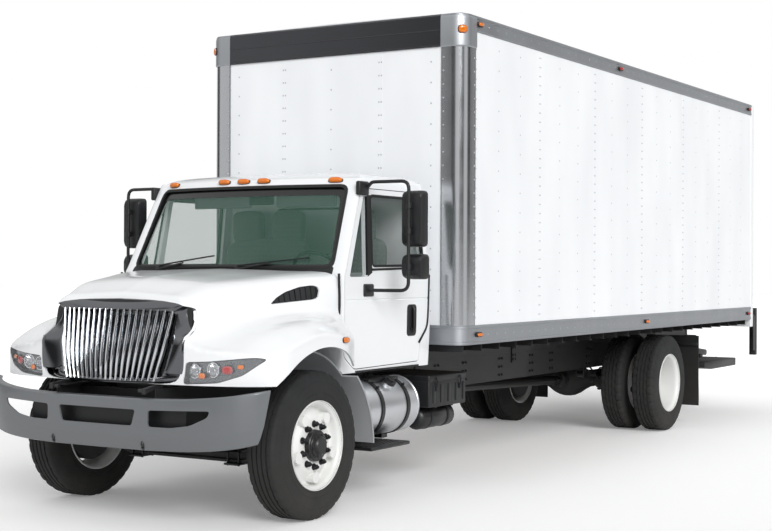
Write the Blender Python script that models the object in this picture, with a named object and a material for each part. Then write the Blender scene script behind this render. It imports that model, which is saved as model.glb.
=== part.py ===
"""Box truck: conventional cab, ladder frame, twin rear wheels and a 24 ft van body with a liftgate.

Metres, +Z up. The front faces -Y and the driver's side is +X. Places along the truck are measured
from the front axle, and the empty named truck puts the middle of the whole truck on the origin.
Heights build up from the tyres to the frame's rails, and from them to the cab and the body.
Each moving group hangs on an empty that stands on its joint's axis.
"""
import math

import bmesh
import bpy
from mathutils import Vector

# Clearances
SEAT = 0.0003
RUNNING = 0.006
OVERRUN = 0.05
SINK = 0.004

# Whole truck, along Y from the front axle
WHEELBASE = 6.452
FRONT_OVERHANG = 0.955
DOCK_DEPTH = 0.356

# Tyres and wheels
TYRE_RADIUS = 0.497
TYRE_WIDTH = 0.250
BEAD_RADIUS = 0.2865
BEAD_SPREAD = 0.1164
FLANGE_RADIUS = 0.300
FLANGE_WIDTH = 0.010
BARREL_RADIUS = 0.264
HUB_RADIUS = 0.104
HUB_CAP_RADIUS = 0.078
HUB_PROUD = 0.030
CAP_PROUD = 0.026
DISC_THICKNESS = 0.014
DISC_FACE_RADIUS = 0.172
DISC_EDGE_RADIUS = 0.250
FRONT_DISC_OFFSET = 0.088
FRONT_DISC_DISH = 0.048
REAR_DISC_DISH = 0.050
REAR_HUB_PROUD = 0.105
HUB_BACK = 0.060
WHEEL_SEGMENTS = 24
SMALL_SEGMENTS = 12
FRONT_TRACK_HALF = 0.970
REAR_OUTER_HALF = 1.031
REAR_INNER_HALF = 0.688
HAND_HOLES = 5
HAND_HOLE_RADIUS = 0.037
HAND_HOLE_CIRCLE = 0.212
HAND_HOLE_SEGMENTS = 8

# Ladder frame
RAIL_HALF = 0.430
RAIL_FLANGE = 0.080
RAIL_WEB = 0.008
RAIL_OVER_AXLE = 0.153
RAIL_DEPTH = 0.250
RAIL_BOTTOM = TYRE_RADIUS + RAIL_OVER_AXLE
RAIL_TOP = RAIL_BOTTOM + RAIL_DEPTH
CROSSMEMBER_DEPTH = 0.090
CROSSMEMBER_WIDTH = 0.060
CROSSMEMBER_DROP = 0.020
CROSSMEMBER_SHARES = (0.023, 0.241, 0.404, 0.567, 0.709, 0.852, 0.989)

# Front bumper
BUMPER_FRONT_Y = -FRONT_OVERHANG
BUMPER_THICKNESS = 0.060
BUMPER_BACK = 0.090
BUMPER_LEAN = 0.018
BUMPER_HALF = 1.205
BUMPER_DROP = 0.137
BUMPER_HEIGHT = 0.330
BUMPER_SWEEP = 0.345
BUMPER_LOW_RISE = 0.100
BUMPER_HIGH_RISE = 0.078
BUMPER_CREASE_SHARE = 0.28

# Cab
CAB_MOUNT_HEIGHT = 0.040
CAB_BOTTOM = RAIL_TOP + CAB_MOUNT_HEIGHT
CAB_HEIGHT = 1.438
CAB_HALF = 1.000
CAB_FRONT_Y = 0.350
CAB_LENGTH = 1.350
CAB_REAR_Y = CAB_FRONT_Y + CAB_LENGTH
CAB_WALL = 0.050
CAB_FLOOR = 0.060
CAB_ROOF = 0.040
CAB_MOUNT_LENGTH = 0.080
CAB_MOUNT_SHARES = (0.148, 0.889)
CORNER_RUN = 0.022
REAR_CORNER = 0.060
DOOR_HINGE_LEAD = 0.010
DOOR_CUT_DEPTH = 0.125
GLASS_DEPTH = 0.020
GLASS_THICKNESS = 0.005
GLASS_RABBET = 0.008

# Hood
HOOD_FRONT_Y = -0.860
HOOD_LENGTH = 1.275
HOOD_HALF = 1.210
HOOD_BOTTOM = CAB_BOTTOM - 0.010
HOOD_HEIGHT = 0.750
HOOD_SKIN = 0.020
HOOD_SKIRT = 0.090
LAMP_DEPTH = 0.060
LAMP_GAP = 0.002
LOUVRE_DEPTH = 0.010

# Hood hinge
HOOD_PIVOT_Y = HOOD_FRONT_Y - 0.070
HOOD_PIVOT_Z = RAIL_TOP - 0.010
HINGE_INSET = 0.045
HINGE_ARM_X = RAIL_HALF - HINGE_INSET
HINGE_ARM_WIDTH = 0.030
HINGE_PIN_RADIUS = 0.012
HINGE_EYE_HALF = 0.018
HINGE_BEAM_X = 0.545
HINGE_BEAM_DEPTH = 0.030
HINGE_BEAM_HEIGHT = 0.045
HINGE_BEAM_LIFT = 0.050
HINGE_BEAM_SETBACK = 0.170
HINGE_POST_WIDTH = 0.030
HINGE_POST_SETBACK = 0.052
HINGE_STRAP_HEIGHT = 0.020
HINGE_STRAP_LIFT = 0.017
HINGE_STRAP_RUN = 0.030

# Front axle
KINGPIN_X = 0.800
BEAM_DROP = 0.112
BEAM_HALF_HEIGHT = 0.045
BEAM_HALF_WIDTH = 0.045
BEAM_BEND = 0.100
KINGPIN_BOSS_RADIUS = 0.047
KINGPIN_RADIUS = 0.018
BOSS_PROUD = 0.002
KNUCKLE_EAR = 0.032
KNUCKLE_CHEEK = 0.035
KNUCKLE_HALF = 0.034
SPINDLE_RADIUS = 0.038
SPINDLE_REACH = 0.095
SPRING_HALF_WIDTH = 0.040
SPRING_THICKNESS = 0.060
SPRING_SEAT = 0.020
SPRING_STEPS = 6
HANGER_INSET = 0.001
FRONT_SPRING_HALF = 0.600
REAR_SPRING_HALF = 0.640
SPRING_SAG = 0.110

# Rear axle
AXLE_TUBE_RADIUS = 0.065
AXLE_FLANGE_REACH = 0.170
DIFFERENTIAL_RADIUS = 0.190
DIFFERENTIAL_HALF = 0.280
DIFFERENTIAL_STEP_SHARE = 0.71
DIFFERENTIAL_DISC_SHARE = 0.25
DIFFERENTIAL_NECK_SHARE = 0.62
PINION_REACH = 0.300
PINION_RADIUS = 0.075
PINION_ROOT_RADIUS = 0.110
PINION_ROOT = 0.120

# Driveline
ENGINE_HALF = 0.300
ENGINE_FRONT_Y = -0.420
ENGINE_LENGTH = 0.780
ENGINE_DROP = 0.150
ENGINE_HEIGHT = 0.740
GEARBOX_LENGTH = 0.940
GEARBOX_HALF = 0.200
GEARBOX_DROP = 0.110
GEARBOX_HEIGHT = 0.320
SHAFT_RADIUS = 0.045
RADIATOR_HALF = 0.380
RADIATOR_GAP = 0.100
RADIATOR_DEPTH = 0.100
RADIATOR_HEIGHT = 0.460

# Van body
BODY_GAP = 0.078
BODY_FRONT_Y = CAB_REAR_Y + BODY_GAP
BODY_LENGTH = 7.308
BODY_REAR_Y = BODY_FRONT_Y + BODY_LENGTH
BODY_HALF = 1.220
BODY_WALL = 0.040
BODY_HEIGHT = 2.556
LONG_SILL_HEIGHT = 0.130
CROSS_SILL_HEIGHT = 0.070
DECK_THICKNESS = 0.040
SILL_TOP = RAIL_TOP + LONG_SILL_HEIGHT
DECK_TOP = SILL_TOP + CROSS_SILL_HEIGHT + DECK_THICKNESS
BOTTOM_RAIL_HEIGHT = 0.151
BOTTOM_RAIL_DROP = 0.053
RAIL_LOW_Z = DECK_TOP - BOTTOM_RAIL_DROP
RAIL_HIGH_Z = RAIL_LOW_Z + BOTTOM_RAIL_HEIGHT
ROOF_RAIL_TOP_Z = RAIL_LOW_Z + BODY_HEIGHT
TOP_RAIL_HEIGHT = 0.124
FRONT_RAIL_HEIGHT = 0.250
ROOF_RAIL_LOW_Z = ROOF_RAIL_TOP_Z - TOP_RAIL_HEIGHT
FRONT_RAIL_LOW_Z = ROOF_RAIL_TOP_Z - FRONT_RAIL_HEIGHT
ROOF_CROWN = 0.017
POST_REACH = 0.200
POST_RADIUS = 0.110
POST_STEPS = 6
PANEL_RECESS = 0.006
CROSS_SILL_WIDTH = 0.050
CROSS_SILL_INSET = 0.100
CROSS_SILLS = 9
REAR_FRAME_DEPTH = 0.100
REAR_POST_WIDTH = 0.100
REAR_HEADER_HEIGHT = 0.243
REAR_SILL_DROP = 0.140
REAR_DOOR_THICKNESS = 0.030
REAR_DOOR_RECESS = 0.045

FRAME_FRONT_Y = BUMPER_FRONT_Y + BUMPER_BACK + SEAT
RAIL_SETBACK = 0.131
RAIL_REAR_Y = BODY_REAR_Y - RAIL_SETBACK
REAR_END_Y = BODY_REAR_Y + DOCK_DEPTH
FRONT_AXLE_Y = (FRONT_OVERHANG - REAR_END_Y) / 2
BODY_SIDE_END_Y = BODY_REAR_Y - REAR_FRAME_DEPTH - SEAT
SIDES = ((1, "left"), (-1, "right"))


def clear_scene():
    for old in list(bpy.data.objects):
        bpy.data.objects.remove(old, do_unlink=True)


def linear(channel):
    return channel / 12.92 if channel <= 0.04045 else ((channel + 0.055) / 1.055) ** 2.4


def paint(name, colour, roughness, metallic):
    material = bpy.data.materials.new(name)
    material.use_nodes = True
    shader = material.node_tree.nodes["Principled BSDF"]
    red, green, blue = (linear(int(colour[i:i + 2], 16) / 255) for i in (1, 3, 5))
    shader.inputs["Base Color"].default_value = (red, green, blue, 1)
    shader.inputs["Roughness"].default_value = roughness
    shader.inputs["Metallic"].default_value = metallic
    return material


def pivot(name, place, parent=None):
    """An empty at a place of the truck; the places of its parent are taken off."""
    empty = bpy.data.objects.new(name, None)
    bpy.context.scene.collection.objects.link(empty)
    empty["place"] = place
    if parent is None:
        empty.location = place
    else:
        empty.parent = parent
        base = parent["place"] if parent.parent else (0, 0, 0)
        empty.location = [own - other for own, other in zip(place, base)]
    return empty


def solid(name, bm, smooth=None):
    bmesh.ops.recalc_face_normals(bm, faces=bm.faces)
    mesh = bpy.data.meshes.new(name)
    bm.to_mesh(mesh)
    bm.free()
    if smooth:
        mesh.shade_smooth()
        mesh.set_sharp_from_angle(angle=math.radians(smooth))
    piece = bpy.data.objects.new(name, mesh)
    bpy.context.scene.collection.objects.link(piece)
    return piece


def axis_order(axis):
    """The two axes across an axis, in order, and the axis itself."""
    along = "xyz".index(axis)
    first, second = [i for i in range(3) if i != along]
    return first, second, along


def prism(name, outline, axis, low, high):
    """Extrude a closed outline, given in the two other axes, from low to high."""
    first, second, along = axis_order(axis)
    bm = bmesh.new()
    ends = []
    for level in (low, high):
        ring = []
        for u, v in outline:
            point = [0, 0, 0]
            point[first], point[second], point[along] = u, v, level
            ring.append(bm.verts.new(point))
        ends.append(ring)
    count = len(outline)
    for i in range(count):
        j = (i + 1) % count
        bm.faces.new((ends[0][i], ends[0][j], ends[1][j], ends[1][i]))
    bm.faces.new(ends[0])
    bm.faces.new(ends[1])
    return solid(name, bm)


def block(name, xs, ys, zs):
    outline = ((xs[0], ys[0]), (xs[1], ys[0]), (xs[1], ys[1]), (xs[0], ys[1]))
    return prism(name, outline, "z", *zs)


def loft(name, rings, closed=False, smooth=None):
    """Skin rings that have as many points each; open lofts are capped."""
    bm = bmesh.new()
    rows = [[bm.verts.new(point) for point in ring] for ring in rings]
    count = len(rows[0])
    pairs = list(zip(rows, rows[1:])) + ([(rows[-1], rows[0])] if closed else [])
    for near, far in pairs:
        for i in range(count):
            j = (i + 1) % count
            bm.faces.new((near[i], near[j], far[j], far[i]))
    if not closed:
        bm.faces.new(rows[0])
        bm.faces.new(rows[-1])
    return solid(name, bm, smooth)


def bore_radius(shaft_radius, segments):
    """The corner radius of a many-sided bore whose flats clear a shaft by the seat gap."""
    return (shaft_radius + SEAT) / math.cos(math.pi / segments)


def turned(name, profile, axis, centre, segments, smooth=40, phase=0):
    """Turn (radius, along) points about an axis; from flat end to flat end on it, or a closed ring."""
    first, second, along = axis_order(axis)
    bm = bmesh.new()
    if profile[0][1] > profile[-1][1]:
        profile = list(reversed(profile))
    capped = profile[0][0] == 0
    rows = []
    for radius, reach in profile[1:-1] if capped else profile:
        row = []
        for k in range(segments):
            angle = 2 * math.pi * (k + phase) / segments
            point = list(centre)
            point[first] += radius * math.cos(angle)
            point[second] += radius * math.sin(angle)
            point[along] += reach
            row.append(bm.verts.new(point))
        rows.append(row)
    for near, far in list(zip(rows, rows[1:])) + ([] if capped else [(rows[-1], rows[0])]):
        for k in range(segments):
            m = (k + 1) % segments
            bm.faces.new((near[k], near[m], far[m], far[k]))
    if capped:
        bm.faces.new(rows[0])
        bm.faces.new(rows[-1])
    return solid(name, bm, smooth)


def drum(name, radius, axis, centre, low, high, segments):
    """A round bar or cutter that runs from low to high along an axis through a place."""
    profile = ((0, low), (radius, low), (radius, high), (0, high))
    return turned(name, profile, axis, centre, segments)


def pin(name, radius, axis, centre, low, high):
    return drum(name, radius, axis, centre, low, high, SMALL_SEGMENTS)


def pin_hole(shaft_radius, axis, centre, low, high):
    """A cutter for a bore round a pin, turned half a side so that its flats face the pin's corners."""
    radius = bore_radius(shaft_radius, SMALL_SEGMENTS)
    profile = ((0, low), (radius, low), (radius, high), (0, high))
    return turned("pin hole", profile, axis, centre, SMALL_SEGMENTS, phase=0.5)


def rod(name, start, end, radius, sides):
    """A round bar between two places."""
    return tube(name, (start, end), radius, sides)


def tube(name, route, radius, sides):
    """A round bar along a route, with a ring on the mitre of each bend."""
    points = [Vector(point) for point in route]
    rings = []
    for i, point in enumerate(points):
        before = (point - points[i - 1]).normalized() if i else None
        after = (points[i + 1] - point).normalized() if i + 1 < len(points) else None
        heading = ((before or after) + (after or before)).normalized()
        if i == 0:
            side = heading.orthogonal().normalized()
        else:
            side = (side - heading * side.dot(heading)).normalized()
        other = heading.cross(side)
        turns = [2 * math.pi * k / sides for k in range(sides)]
        rings.append([point + (side * math.cos(a) + other * math.sin(a)) * radius for a in turns])
    return loft(name, rings, smooth=50)


def combine(base, others, operation):
    for other in others:
        other.parent = base
        other.hide_render = True
        other.display_type = "WIRE"
        step = base.modifiers.new(operation.lower(), "BOOLEAN")
        step.operation = operation
        step.object = other
        step.solver = "EXACT"
    return base


def fuse(base, *others):
    return combine(base, others, "UNION")


def cut(base, *others):
    return combine(base, others, "DIFFERENCE")


def keep(base, *others):
    return combine(base, others, "INTERSECT")


def finish(piece, name, colour, roughness, metallic, group):
    """Name a sub-part, paint it and hang it on the empty of its group."""
    piece.name = name
    piece.data.materials.append(paint(name, colour, roughness, metallic))
    piece.parent = group
    base = group["place"] if group.parent else (0, 0, 0)
    piece.location = [-value for value in base]
    return piece


def mirrored(half):
    """A closed outline from its right half, which starts and ends on the middle plane."""
    left = [(-point[0], *point[1:]) for point in reversed(half[1:-1])]
    return list(half) + left


def mirror_pairs(half):
    """An outline on both sides of the middle plane from its right side."""
    return list(half) + [(-x, z) for x, z in reversed(half)]


def span(side, low, high):
    """A stretch across the truck, set on either side of the middle plane."""
    return tuple(sorted((side * low, side * high)))


def placed(shares, start, size):
    """Places from shares of two sizes, counted from a starting point."""
    return [(start[0] + u * size[0], start[1] + v * size[1]) for u, v in shares]


def arc(centre, radius, start, end, steps):
    angles = [math.radians(start + (end - start) * i / steps) for i in range(steps + 1)]
    return [(centre[0] + radius * math.cos(a), centre[1] + radius * math.sin(a)) for a in angles]


def grown(outline, amount):
    """Move each point of a closed outline out along its corner, for gaps and rabbets."""
    points = [Vector(point) for point in outline]
    area = sum(a.x * b.y - b.x * a.y for a, b in zip(points, points[1:] + points[:1]))
    turn = 1 if area > 0 else -1
    result = []
    for i, point in enumerate(points):
        before = (point - points[i - 1]).normalized()
        after = (points[(i + 1) % len(points)] - point).normalized()
        normals = [Vector((edge.y, -edge.x)) * turn for edge in (before, after)]
        middle = (normals[0] + normals[1]).normalized()
        reach = amount / max(middle.dot(normals[0]), 0.35)
        result.append(tuple(point + middle * reach))
    return result


def smooth_line(points, steps):
    """Points along a curve that passes through each given one."""
    rows = [Vector(point) for point in points]
    result = []
    for i, (b, c) in enumerate(zip(rows, rows[1:])):
        a = rows[i - 1] if i else b * 2 - c
        d = rows[i + 2] if i + 2 < len(rows) else c * 2 - b
        for k in range(steps):
            t = k / steps
            result.append(0.5 * (2 * b + (c - a) * t + (2 * a - 5 * b + 4 * c - d) * t * t
                                 + (3 * b - a - 3 * c + d) * t ** 3))
    return result + [rows[-1]]


# Ladder frame and what hangs on it

def frame_rails(truck):
    inner = RAIL_HALF - RAIL_FLANGE
    web = RAIL_HALF - RAIL_WEB
    pieces = []
    for side, word in SIDES:
        channel = [
            (inner, RAIL_BOTTOM), (RAIL_HALF, RAIL_BOTTOM), (RAIL_HALF, RAIL_TOP), (inner, RAIL_TOP),
            (inner, RAIL_TOP - RAIL_WEB), (web, RAIL_TOP - RAIL_WEB),
            (web, RAIL_BOTTOM + RAIL_WEB), (inner, RAIL_BOTTOM + RAIL_WEB)]
        outline = [(side * x, z) for x, z in channel]
        pieces.append(prism("rail", outline, "y", FRAME_FRONT_Y, RAIL_REAR_Y))
    high = RAIL_TOP - RAIL_WEB - CROSSMEMBER_DROP
    reach = web + SINK
    for share in CROSSMEMBER_SHARES:
        place = FRAME_FRONT_Y + share * (RAIL_REAR_Y - FRAME_FRONT_Y)
        pieces.append(block("crossmember", (-reach, reach), (place, place + CROSSMEMBER_WIDTH),
                            (high - CROSSMEMBER_DEPTH, high)))
    for side, word in SIDES:
        pieces += hinge_arm(side)
    rails = fuse(pieces[0], *pieces[1:])
    finish(rails, "frame_rails", "#26272a", 0.55, 0.3, truck)


def hinge_arm(side):
    """The frame's half of a hood hinge: a gusset on the rail's end that holds the pin."""
    tip = HOOD_PIVOT_Y - HINGE_EYE_HALF
    root = FRAME_FRONT_Y + HINGE_ARM_WIDTH * 3
    outline = ((tip, HOOD_PIVOT_Z - HINGE_EYE_HALF), (tip, HOOD_PIVOT_Z + HINGE_EYE_HALF),
               (root, RAIL_TOP + HINGE_ARM_WIDTH), (root, RAIL_TOP - SINK), (FRAME_FRONT_Y, RAIL_TOP - SINK))
    arm = prism("hinge arm", outline, "x", *span(side, HINGE_ARM_X, HINGE_ARM_X + HINGE_ARM_WIDTH))
    reach = span(side, HINGE_ARM_X - RUNNING - HINGE_ARM_WIDTH - SINK, HINGE_ARM_X + SINK)
    return [arm, pin("hinge pin", HINGE_PIN_RADIUS, "x", (0, HOOD_PIVOT_Y, HOOD_PIVOT_Z), *reach)]


# columns: shares of the half width, of the sweep, of the lower edge's rise, of the upper edge's
BUMPER_SHARES = (
    (0.00, 0.000, 0.00, 0.00), (0.30, 0.017, 0.00, 0.00), (0.42, 0.045, 0.02, 0.04),
    (0.55, 0.090, 0.06, 0.10),
    (0.66, 0.155, 0.13, 0.21), (0.75, 0.232, 0.22, 0.33), (0.82, 0.325, 0.33, 0.46),
    (0.88, 0.435, 0.46, 0.61),
    (0.95, 0.667, 0.70, 0.82), (1.00, 1.000, 1.00, 1.00))
# shares of the half width and of the bumper's height
MIDDLE_OPENING_SHARES = ((-0.274, 0.785), (0.274, 0.785), (0.249, 0.470), (-0.249, 0.470))
OUTER_OPENING_SHARES = ((0.357, 0.470), (0.357, 0.785), (0.730, 0.821), (0.714, 0.694), (0.614, 0.530),
                        (0.498, 0.470))


def bumper_ring(x, face, low, high):
    """One section of the bumper: a face that leans in below its crease, and an upright back."""
    crease = low + (high - low) * BUMPER_CREASE_SHARE
    back = max(BUMPER_FRONT_Y + BUMPER_BACK, face + BUMPER_THICKNESS)
    return [(x, face + BUMPER_LEAN, low), (x, face, crease), (x, face, high), (x, back, high),
            (x, back, low)]


def front_bumper(truck):
    base = RAIL_BOTTOM - BUMPER_DROP
    left = [(-width, *others) for width, *others in reversed(BUMPER_SHARES[1:])]
    rings = []
    for width, sweep, low_rise, high_rise in left + list(BUMPER_SHARES):
        rings.append(bumper_ring(BUMPER_HALF * width, BUMPER_FRONT_Y + BUMPER_SWEEP * sweep,
                                 base + BUMPER_LOW_RISE * low_rise,
                                 base + BUMPER_HEIGHT + BUMPER_HIGH_RISE * high_rise))
    shell = loft("bumper", rings)
    deep = (BUMPER_FRONT_Y - OVERRUN, BUMPER_FRONT_Y + BUMPER_SWEEP - BUMPER_THICKNESS / 2)
    size = (BUMPER_HALF, BUMPER_HEIGHT)
    cuts = [prism("middle opening", placed(MIDDLE_OPENING_SHARES, (0, base), size), "y", *deep)]
    for side, word in SIDES:
        outline = placed(OUTER_OPENING_SHARES, (0, base), (side * BUMPER_HALF, BUMPER_HEIGHT))
        cuts.append(prism("outer opening", outline, "y", *deep))
    cut(shell, *cuts)
    finish(shell, "front_bumper", "#7b8087", 0.45, 0.2, truck)


def leaf_spring(side, centre_y, half, base_z, end_z):
    """A bowed leaf pack under a rail, with a hanger at each end that reaches the rail."""
    shares = [i / SPRING_STEPS * 2 - 1 for i in range(SPRING_STEPS + 1)]
    middle = [(centre_y + half * s, base_z + (end_z - base_z) * s * s) for s in shares]
    upper = [(y, z + SPRING_THICKNESS / 2) for y, z in middle]
    lower = [(y, z - SPRING_THICKNESS / 2) for y, z in reversed(middle)]
    pack = prism("spring", upper + lower, "x", *span(side, RAIL_HALF - SPRING_HALF_WIDTH,
                                                     RAIL_HALF + SPRING_HALF_WIDTH))
    inner = RAIL_HALF - SPRING_HALF_WIDTH + HANGER_INSET
    outer = RAIL_HALF + SPRING_HALF_WIDTH - HANGER_INSET
    hangers = []
    for end in (-1, 1):
        place = centre_y + end * half
        hangers.append(block("hanger", span(side, inner, outer),
                             (place - SPRING_THICKNESS / 2, place + SPRING_THICKNESS / 2),
                             (end_z - SPRING_THICKNESS / 2, RAIL_BOTTOM - SEAT)))
    return [pack] + hangers


def front_axle(truck):
    end = KINGPIN_X - SINK
    bend = KINGPIN_X - BEAM_BEND
    drop = RAIL_HALF + BEAM_BEND
    low = TYRE_RADIUS - BEAM_DROP
    centre = ((-end, TYRE_RADIUS), (-bend, TYRE_RADIUS), (-drop, low), (drop, low), (bend, TYRE_RADIUS),
              (end, TYRE_RADIUS))
    top = [(x, z + BEAM_HALF_HEIGHT) for x, z in centre]
    bottom = [(x, z - BEAM_HALF_HEIGHT) for x, z in reversed(centre)]
    beam = prism("beam", top + bottom, "y", -BEAM_HALF_WIDTH, BEAM_HALF_WIDTH)
    boss_half = BEAM_HALF_HEIGHT + BOSS_PROUD
    reach = boss_half + RUNNING + KNUCKLE_EAR
    half = [(0, reach), (KINGPIN_RADIUS, reach), (KINGPIN_RADIUS, boss_half),
            (KINGPIN_BOSS_RADIUS, boss_half)]
    profile = half + [(radius, -along) for radius, along in reversed(half)]
    top_z = low + BEAM_HALF_HEIGHT
    extra = []
    for side, word in SIDES:
        extra.append(turned("kingpin", profile, "z", (side * KINGPIN_X, 0, TYRE_RADIUS), SMALL_SEGMENTS))
        extra += leaf_spring(side, 0, FRONT_SPRING_HALF, top_z + SPRING_SEAT, top_z + SPRING_SAG)
    fuse(beam, *extra)
    finish(beam, "front_axle", "#232427", 0.6, 0.4, truck)


def rear_axle(truck):
    flange = REAR_INNER_HALF + AXLE_FLANGE_REACH
    step = DIFFERENTIAL_HALF * DIFFERENTIAL_STEP_SHARE
    disc = DIFFERENTIAL_HALF * DIFFERENTIAL_DISC_SHARE
    neck = DIFFERENTIAL_RADIUS * DIFFERENTIAL_NECK_SHARE
    half = [(0, flange), (AXLE_TUBE_RADIUS, flange), (AXLE_TUBE_RADIUS, DIFFERENTIAL_HALF), (neck, step),
            (DIFFERENTIAL_RADIUS, disc)]
    profile = half + [(radius, -along) for radius, along in reversed(half)]
    place = (0, WHEELBASE, TYRE_RADIUS)
    axle = turned("housing", profile, "x", place, SMALL_SEGMENTS)
    nose = ((0, -PINION_REACH), (PINION_RADIUS, -PINION_REACH), (PINION_ROOT_RADIUS, -PINION_ROOT),
            (0, -PINION_ROOT))
    pieces = [turned("pinion", nose, "y", place, SMALL_SEGMENTS)]
    for side, word in SIDES:
        pieces += leaf_spring(side, WHEELBASE, REAR_SPRING_HALF,
                              TYRE_RADIUS + AXLE_TUBE_RADIUS + SPRING_THICKNESS / 2 - SINK,
                              RAIL_BOTTOM - SPRING_THICKNESS)
    fuse(axle, *pieces)
    finish(axle, "rear_axle", "#232427", 0.6, 0.4, truck)


def driveline(truck):
    engine_rear = ENGINE_FRONT_Y + ENGINE_LENGTH
    gearbox_rear = engine_rear + GEARBOX_LENGTH
    engine_low = RAIL_BOTTOM - ENGINE_DROP
    gearbox_low = RAIL_BOTTOM - GEARBOX_DROP
    engine = block("engine", (-ENGINE_HALF, ENGINE_HALF), (ENGINE_FRONT_Y, engine_rear),
                   (engine_low, engine_low + ENGINE_HEIGHT))
    gearbox = block("gearbox", (-GEARBOX_HALF, GEARBOX_HALF), (engine_rear - SINK, gearbox_rear),
                    (gearbox_low, gearbox_low + GEARBOX_HEIGHT))
    fuse(engine, gearbox)
    finish(engine, "engine_block", "#34383c", 0.6, 0.4, truck)

    high_z = gearbox_low + GEARBOX_HEIGHT / 2 - SHAFT_RADIUS
    turns = [2 * math.pi * k / SMALL_SEGMENTS for k in range(SMALL_SEGMENTS)]
    ends = ((gearbox_rear + SEAT, high_z), (WHEELBASE - PINION_REACH - SEAT, TYRE_RADIUS))
    rings = []
    for y, z in ends:
        rings.append([(SHAFT_RADIUS * math.cos(a), y, z + SHAFT_RADIUS * math.sin(a)) for a in turns])
    shaft = loft("shaft", rings, smooth=50)
    finish(shaft, "propeller_shaft", "#2e3033", 0.5, 0.6, truck)

    rear = ENGINE_FRONT_Y - RADIATOR_GAP
    radiator = block("radiator", (-RADIATOR_HALF, RADIATOR_HALF), (rear - RADIATOR_DEPTH, rear),
                     (RAIL_TOP + SEAT, RAIL_TOP + RADIATOR_HEIGHT))
    finish(radiator, "radiator", "#1d1e20", 0.6, 0.3, truck)


TANK_RADIUS = 0.212
TANK_EDGE = 0.020
TANK_SEGMENTS = 24
TANK_X = RAIL_HALF + 0.360
TANK_Z = RAIL_BOTTOM + 0.002
TANK_FRONT_Y = 0.790
TANK_LENGTH = 0.710
TANK_REAR_Y = TANK_FRONT_Y + TANK_LENGTH
STRAP_WIDTH = 0.040
STRAP_THICKNESS = 0.006
STRAP_SHARES = (0.239, 0.746)
BRACKET_RISE = 0.190
BRACKET_DROP = 0.035
STEP_REACH = 0.250
STEP_INSET = 0.170
STEP_LENGTH = 0.540
STEP_LEAD = 0.030
STEP_THICKNESS = 0.030
STEP_DROP = 0.038
STEP_OUTER_X = TANK_X + STEP_REACH
STEP_FRONT_Y = TANK_FRONT_Y - STEP_LEAD
STEP_TOP = TANK_Z - TANK_RADIUS - STEP_DROP


def strap_places():
    return [TANK_FRONT_Y + share * TANK_LENGTH for share in STRAP_SHARES]


def fuel_tank(truck):
    profile = [(0, TANK_FRONT_Y), (TANK_RADIUS - TANK_EDGE, TANK_FRONT_Y),
               (TANK_RADIUS, TANK_FRONT_Y + TANK_EDGE)]
    for place in strap_places():
        profile += [(TANK_RADIUS, place), (TANK_RADIUS + STRAP_THICKNESS, place),
                    (TANK_RADIUS + STRAP_THICKNESS, place + STRAP_WIDTH), (TANK_RADIUS, place + STRAP_WIDTH)]
    profile += [(TANK_RADIUS, TANK_REAR_Y - TANK_EDGE), (TANK_RADIUS - TANK_EDGE, TANK_REAR_Y),
                (0, TANK_REAR_Y)]
    tank = turned("tank", profile, "y", (TANK_X, 0, TANK_Z), TANK_SEGMENTS)
    finish(tank, "fuel_tank", "#b9bdc4", 0.3, 1.0, truck)


def tank_steps(truck):
    """Brackets that cradle the tank, with the entry step hung under them."""
    pieces = []
    foot = TANK_Z - TANK_RADIUS - BRACKET_DROP
    for place in strap_places():
        ys = (place - STRAP_WIDTH / 2, place + STRAP_WIDTH * 1.5)
        pieces.append(block("bracket", (RAIL_HALF + SEAT, TANK_X), ys, (foot, TANK_Z + BRACKET_RISE)))
        pieces.append(block("hanger", (TANK_X - STEP_INSET, TANK_X), ys, (STEP_TOP - SINK, foot + SINK)))
    step = block("step", (TANK_X - STEP_INSET, STEP_OUTER_X), (STEP_FRONT_Y, STEP_FRONT_Y + STEP_LENGTH),
                 (STEP_TOP - STEP_THICKNESS, STEP_TOP))
    room = drum("tank room", TANK_RADIUS + STRAP_THICKNESS + SEAT, "y", (TANK_X, 0, TANK_Z),
                TANK_FRONT_Y - OVERRUN, TANK_REAR_Y + OVERRUN, TANK_SEGMENTS)
    fuse(step, *pieces)
    cut(step, room)
    finish(step, "tank_steps", "#1b1c1e", 0.6, 0.2, truck)


BATTERY_WIDTH = 0.530
BATTERY_FRONT_Y = 1.720
BATTERY_LENGTH = 0.600
BATTERY_DROP = 0.050
BATTERY_EDGE = 0.015
AIR_TANK_RADIUS = 0.110
AIR_TANK_EDGE = 0.030
AIR_TANK_END_SHARE = 0.8
AIR_TANK_INSET = 0.020
AIR_TANK_SINK = 0.015


def battery_box(truck):
    low, high = RAIL_BOTTOM - BATTERY_DROP, RAIL_TOP - BATTERY_DROP
    inner = RAIL_HALF + SEAT
    outer = inner + BATTERY_WIDTH
    outline = ((inner, low), (outer - BATTERY_EDGE, low), (outer, low + BATTERY_EDGE),
               (outer, high - BATTERY_EDGE),
               (outer - BATTERY_EDGE, high), (inner, high))
    box = prism("battery box", outline, "y", BATTERY_FRONT_Y, BATTERY_FRONT_Y + BATTERY_LENGTH)
    front = BATTERY_FRONT_Y + AIR_TANK_INSET
    rear = BATTERY_FRONT_Y + BATTERY_LENGTH - AIR_TANK_INSET
    end = AIR_TANK_RADIUS * AIR_TANK_END_SHARE
    profile = ((0, front), (end, front), (AIR_TANK_RADIUS, front + AIR_TANK_EDGE),
               (AIR_TANK_RADIUS, rear - AIR_TANK_EDGE), (end, rear), (0, rear))
    tank = turned("air tank", profile, "y", ((inner + outer) / 2, 0, low - AIR_TANK_RADIUS + AIR_TANK_SINK),
                  SMALL_SEGMENTS)
    fuse(box, tank)
    finish(box, "battery_box", "#1b1c1e", 0.6, 0.2, truck)


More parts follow.
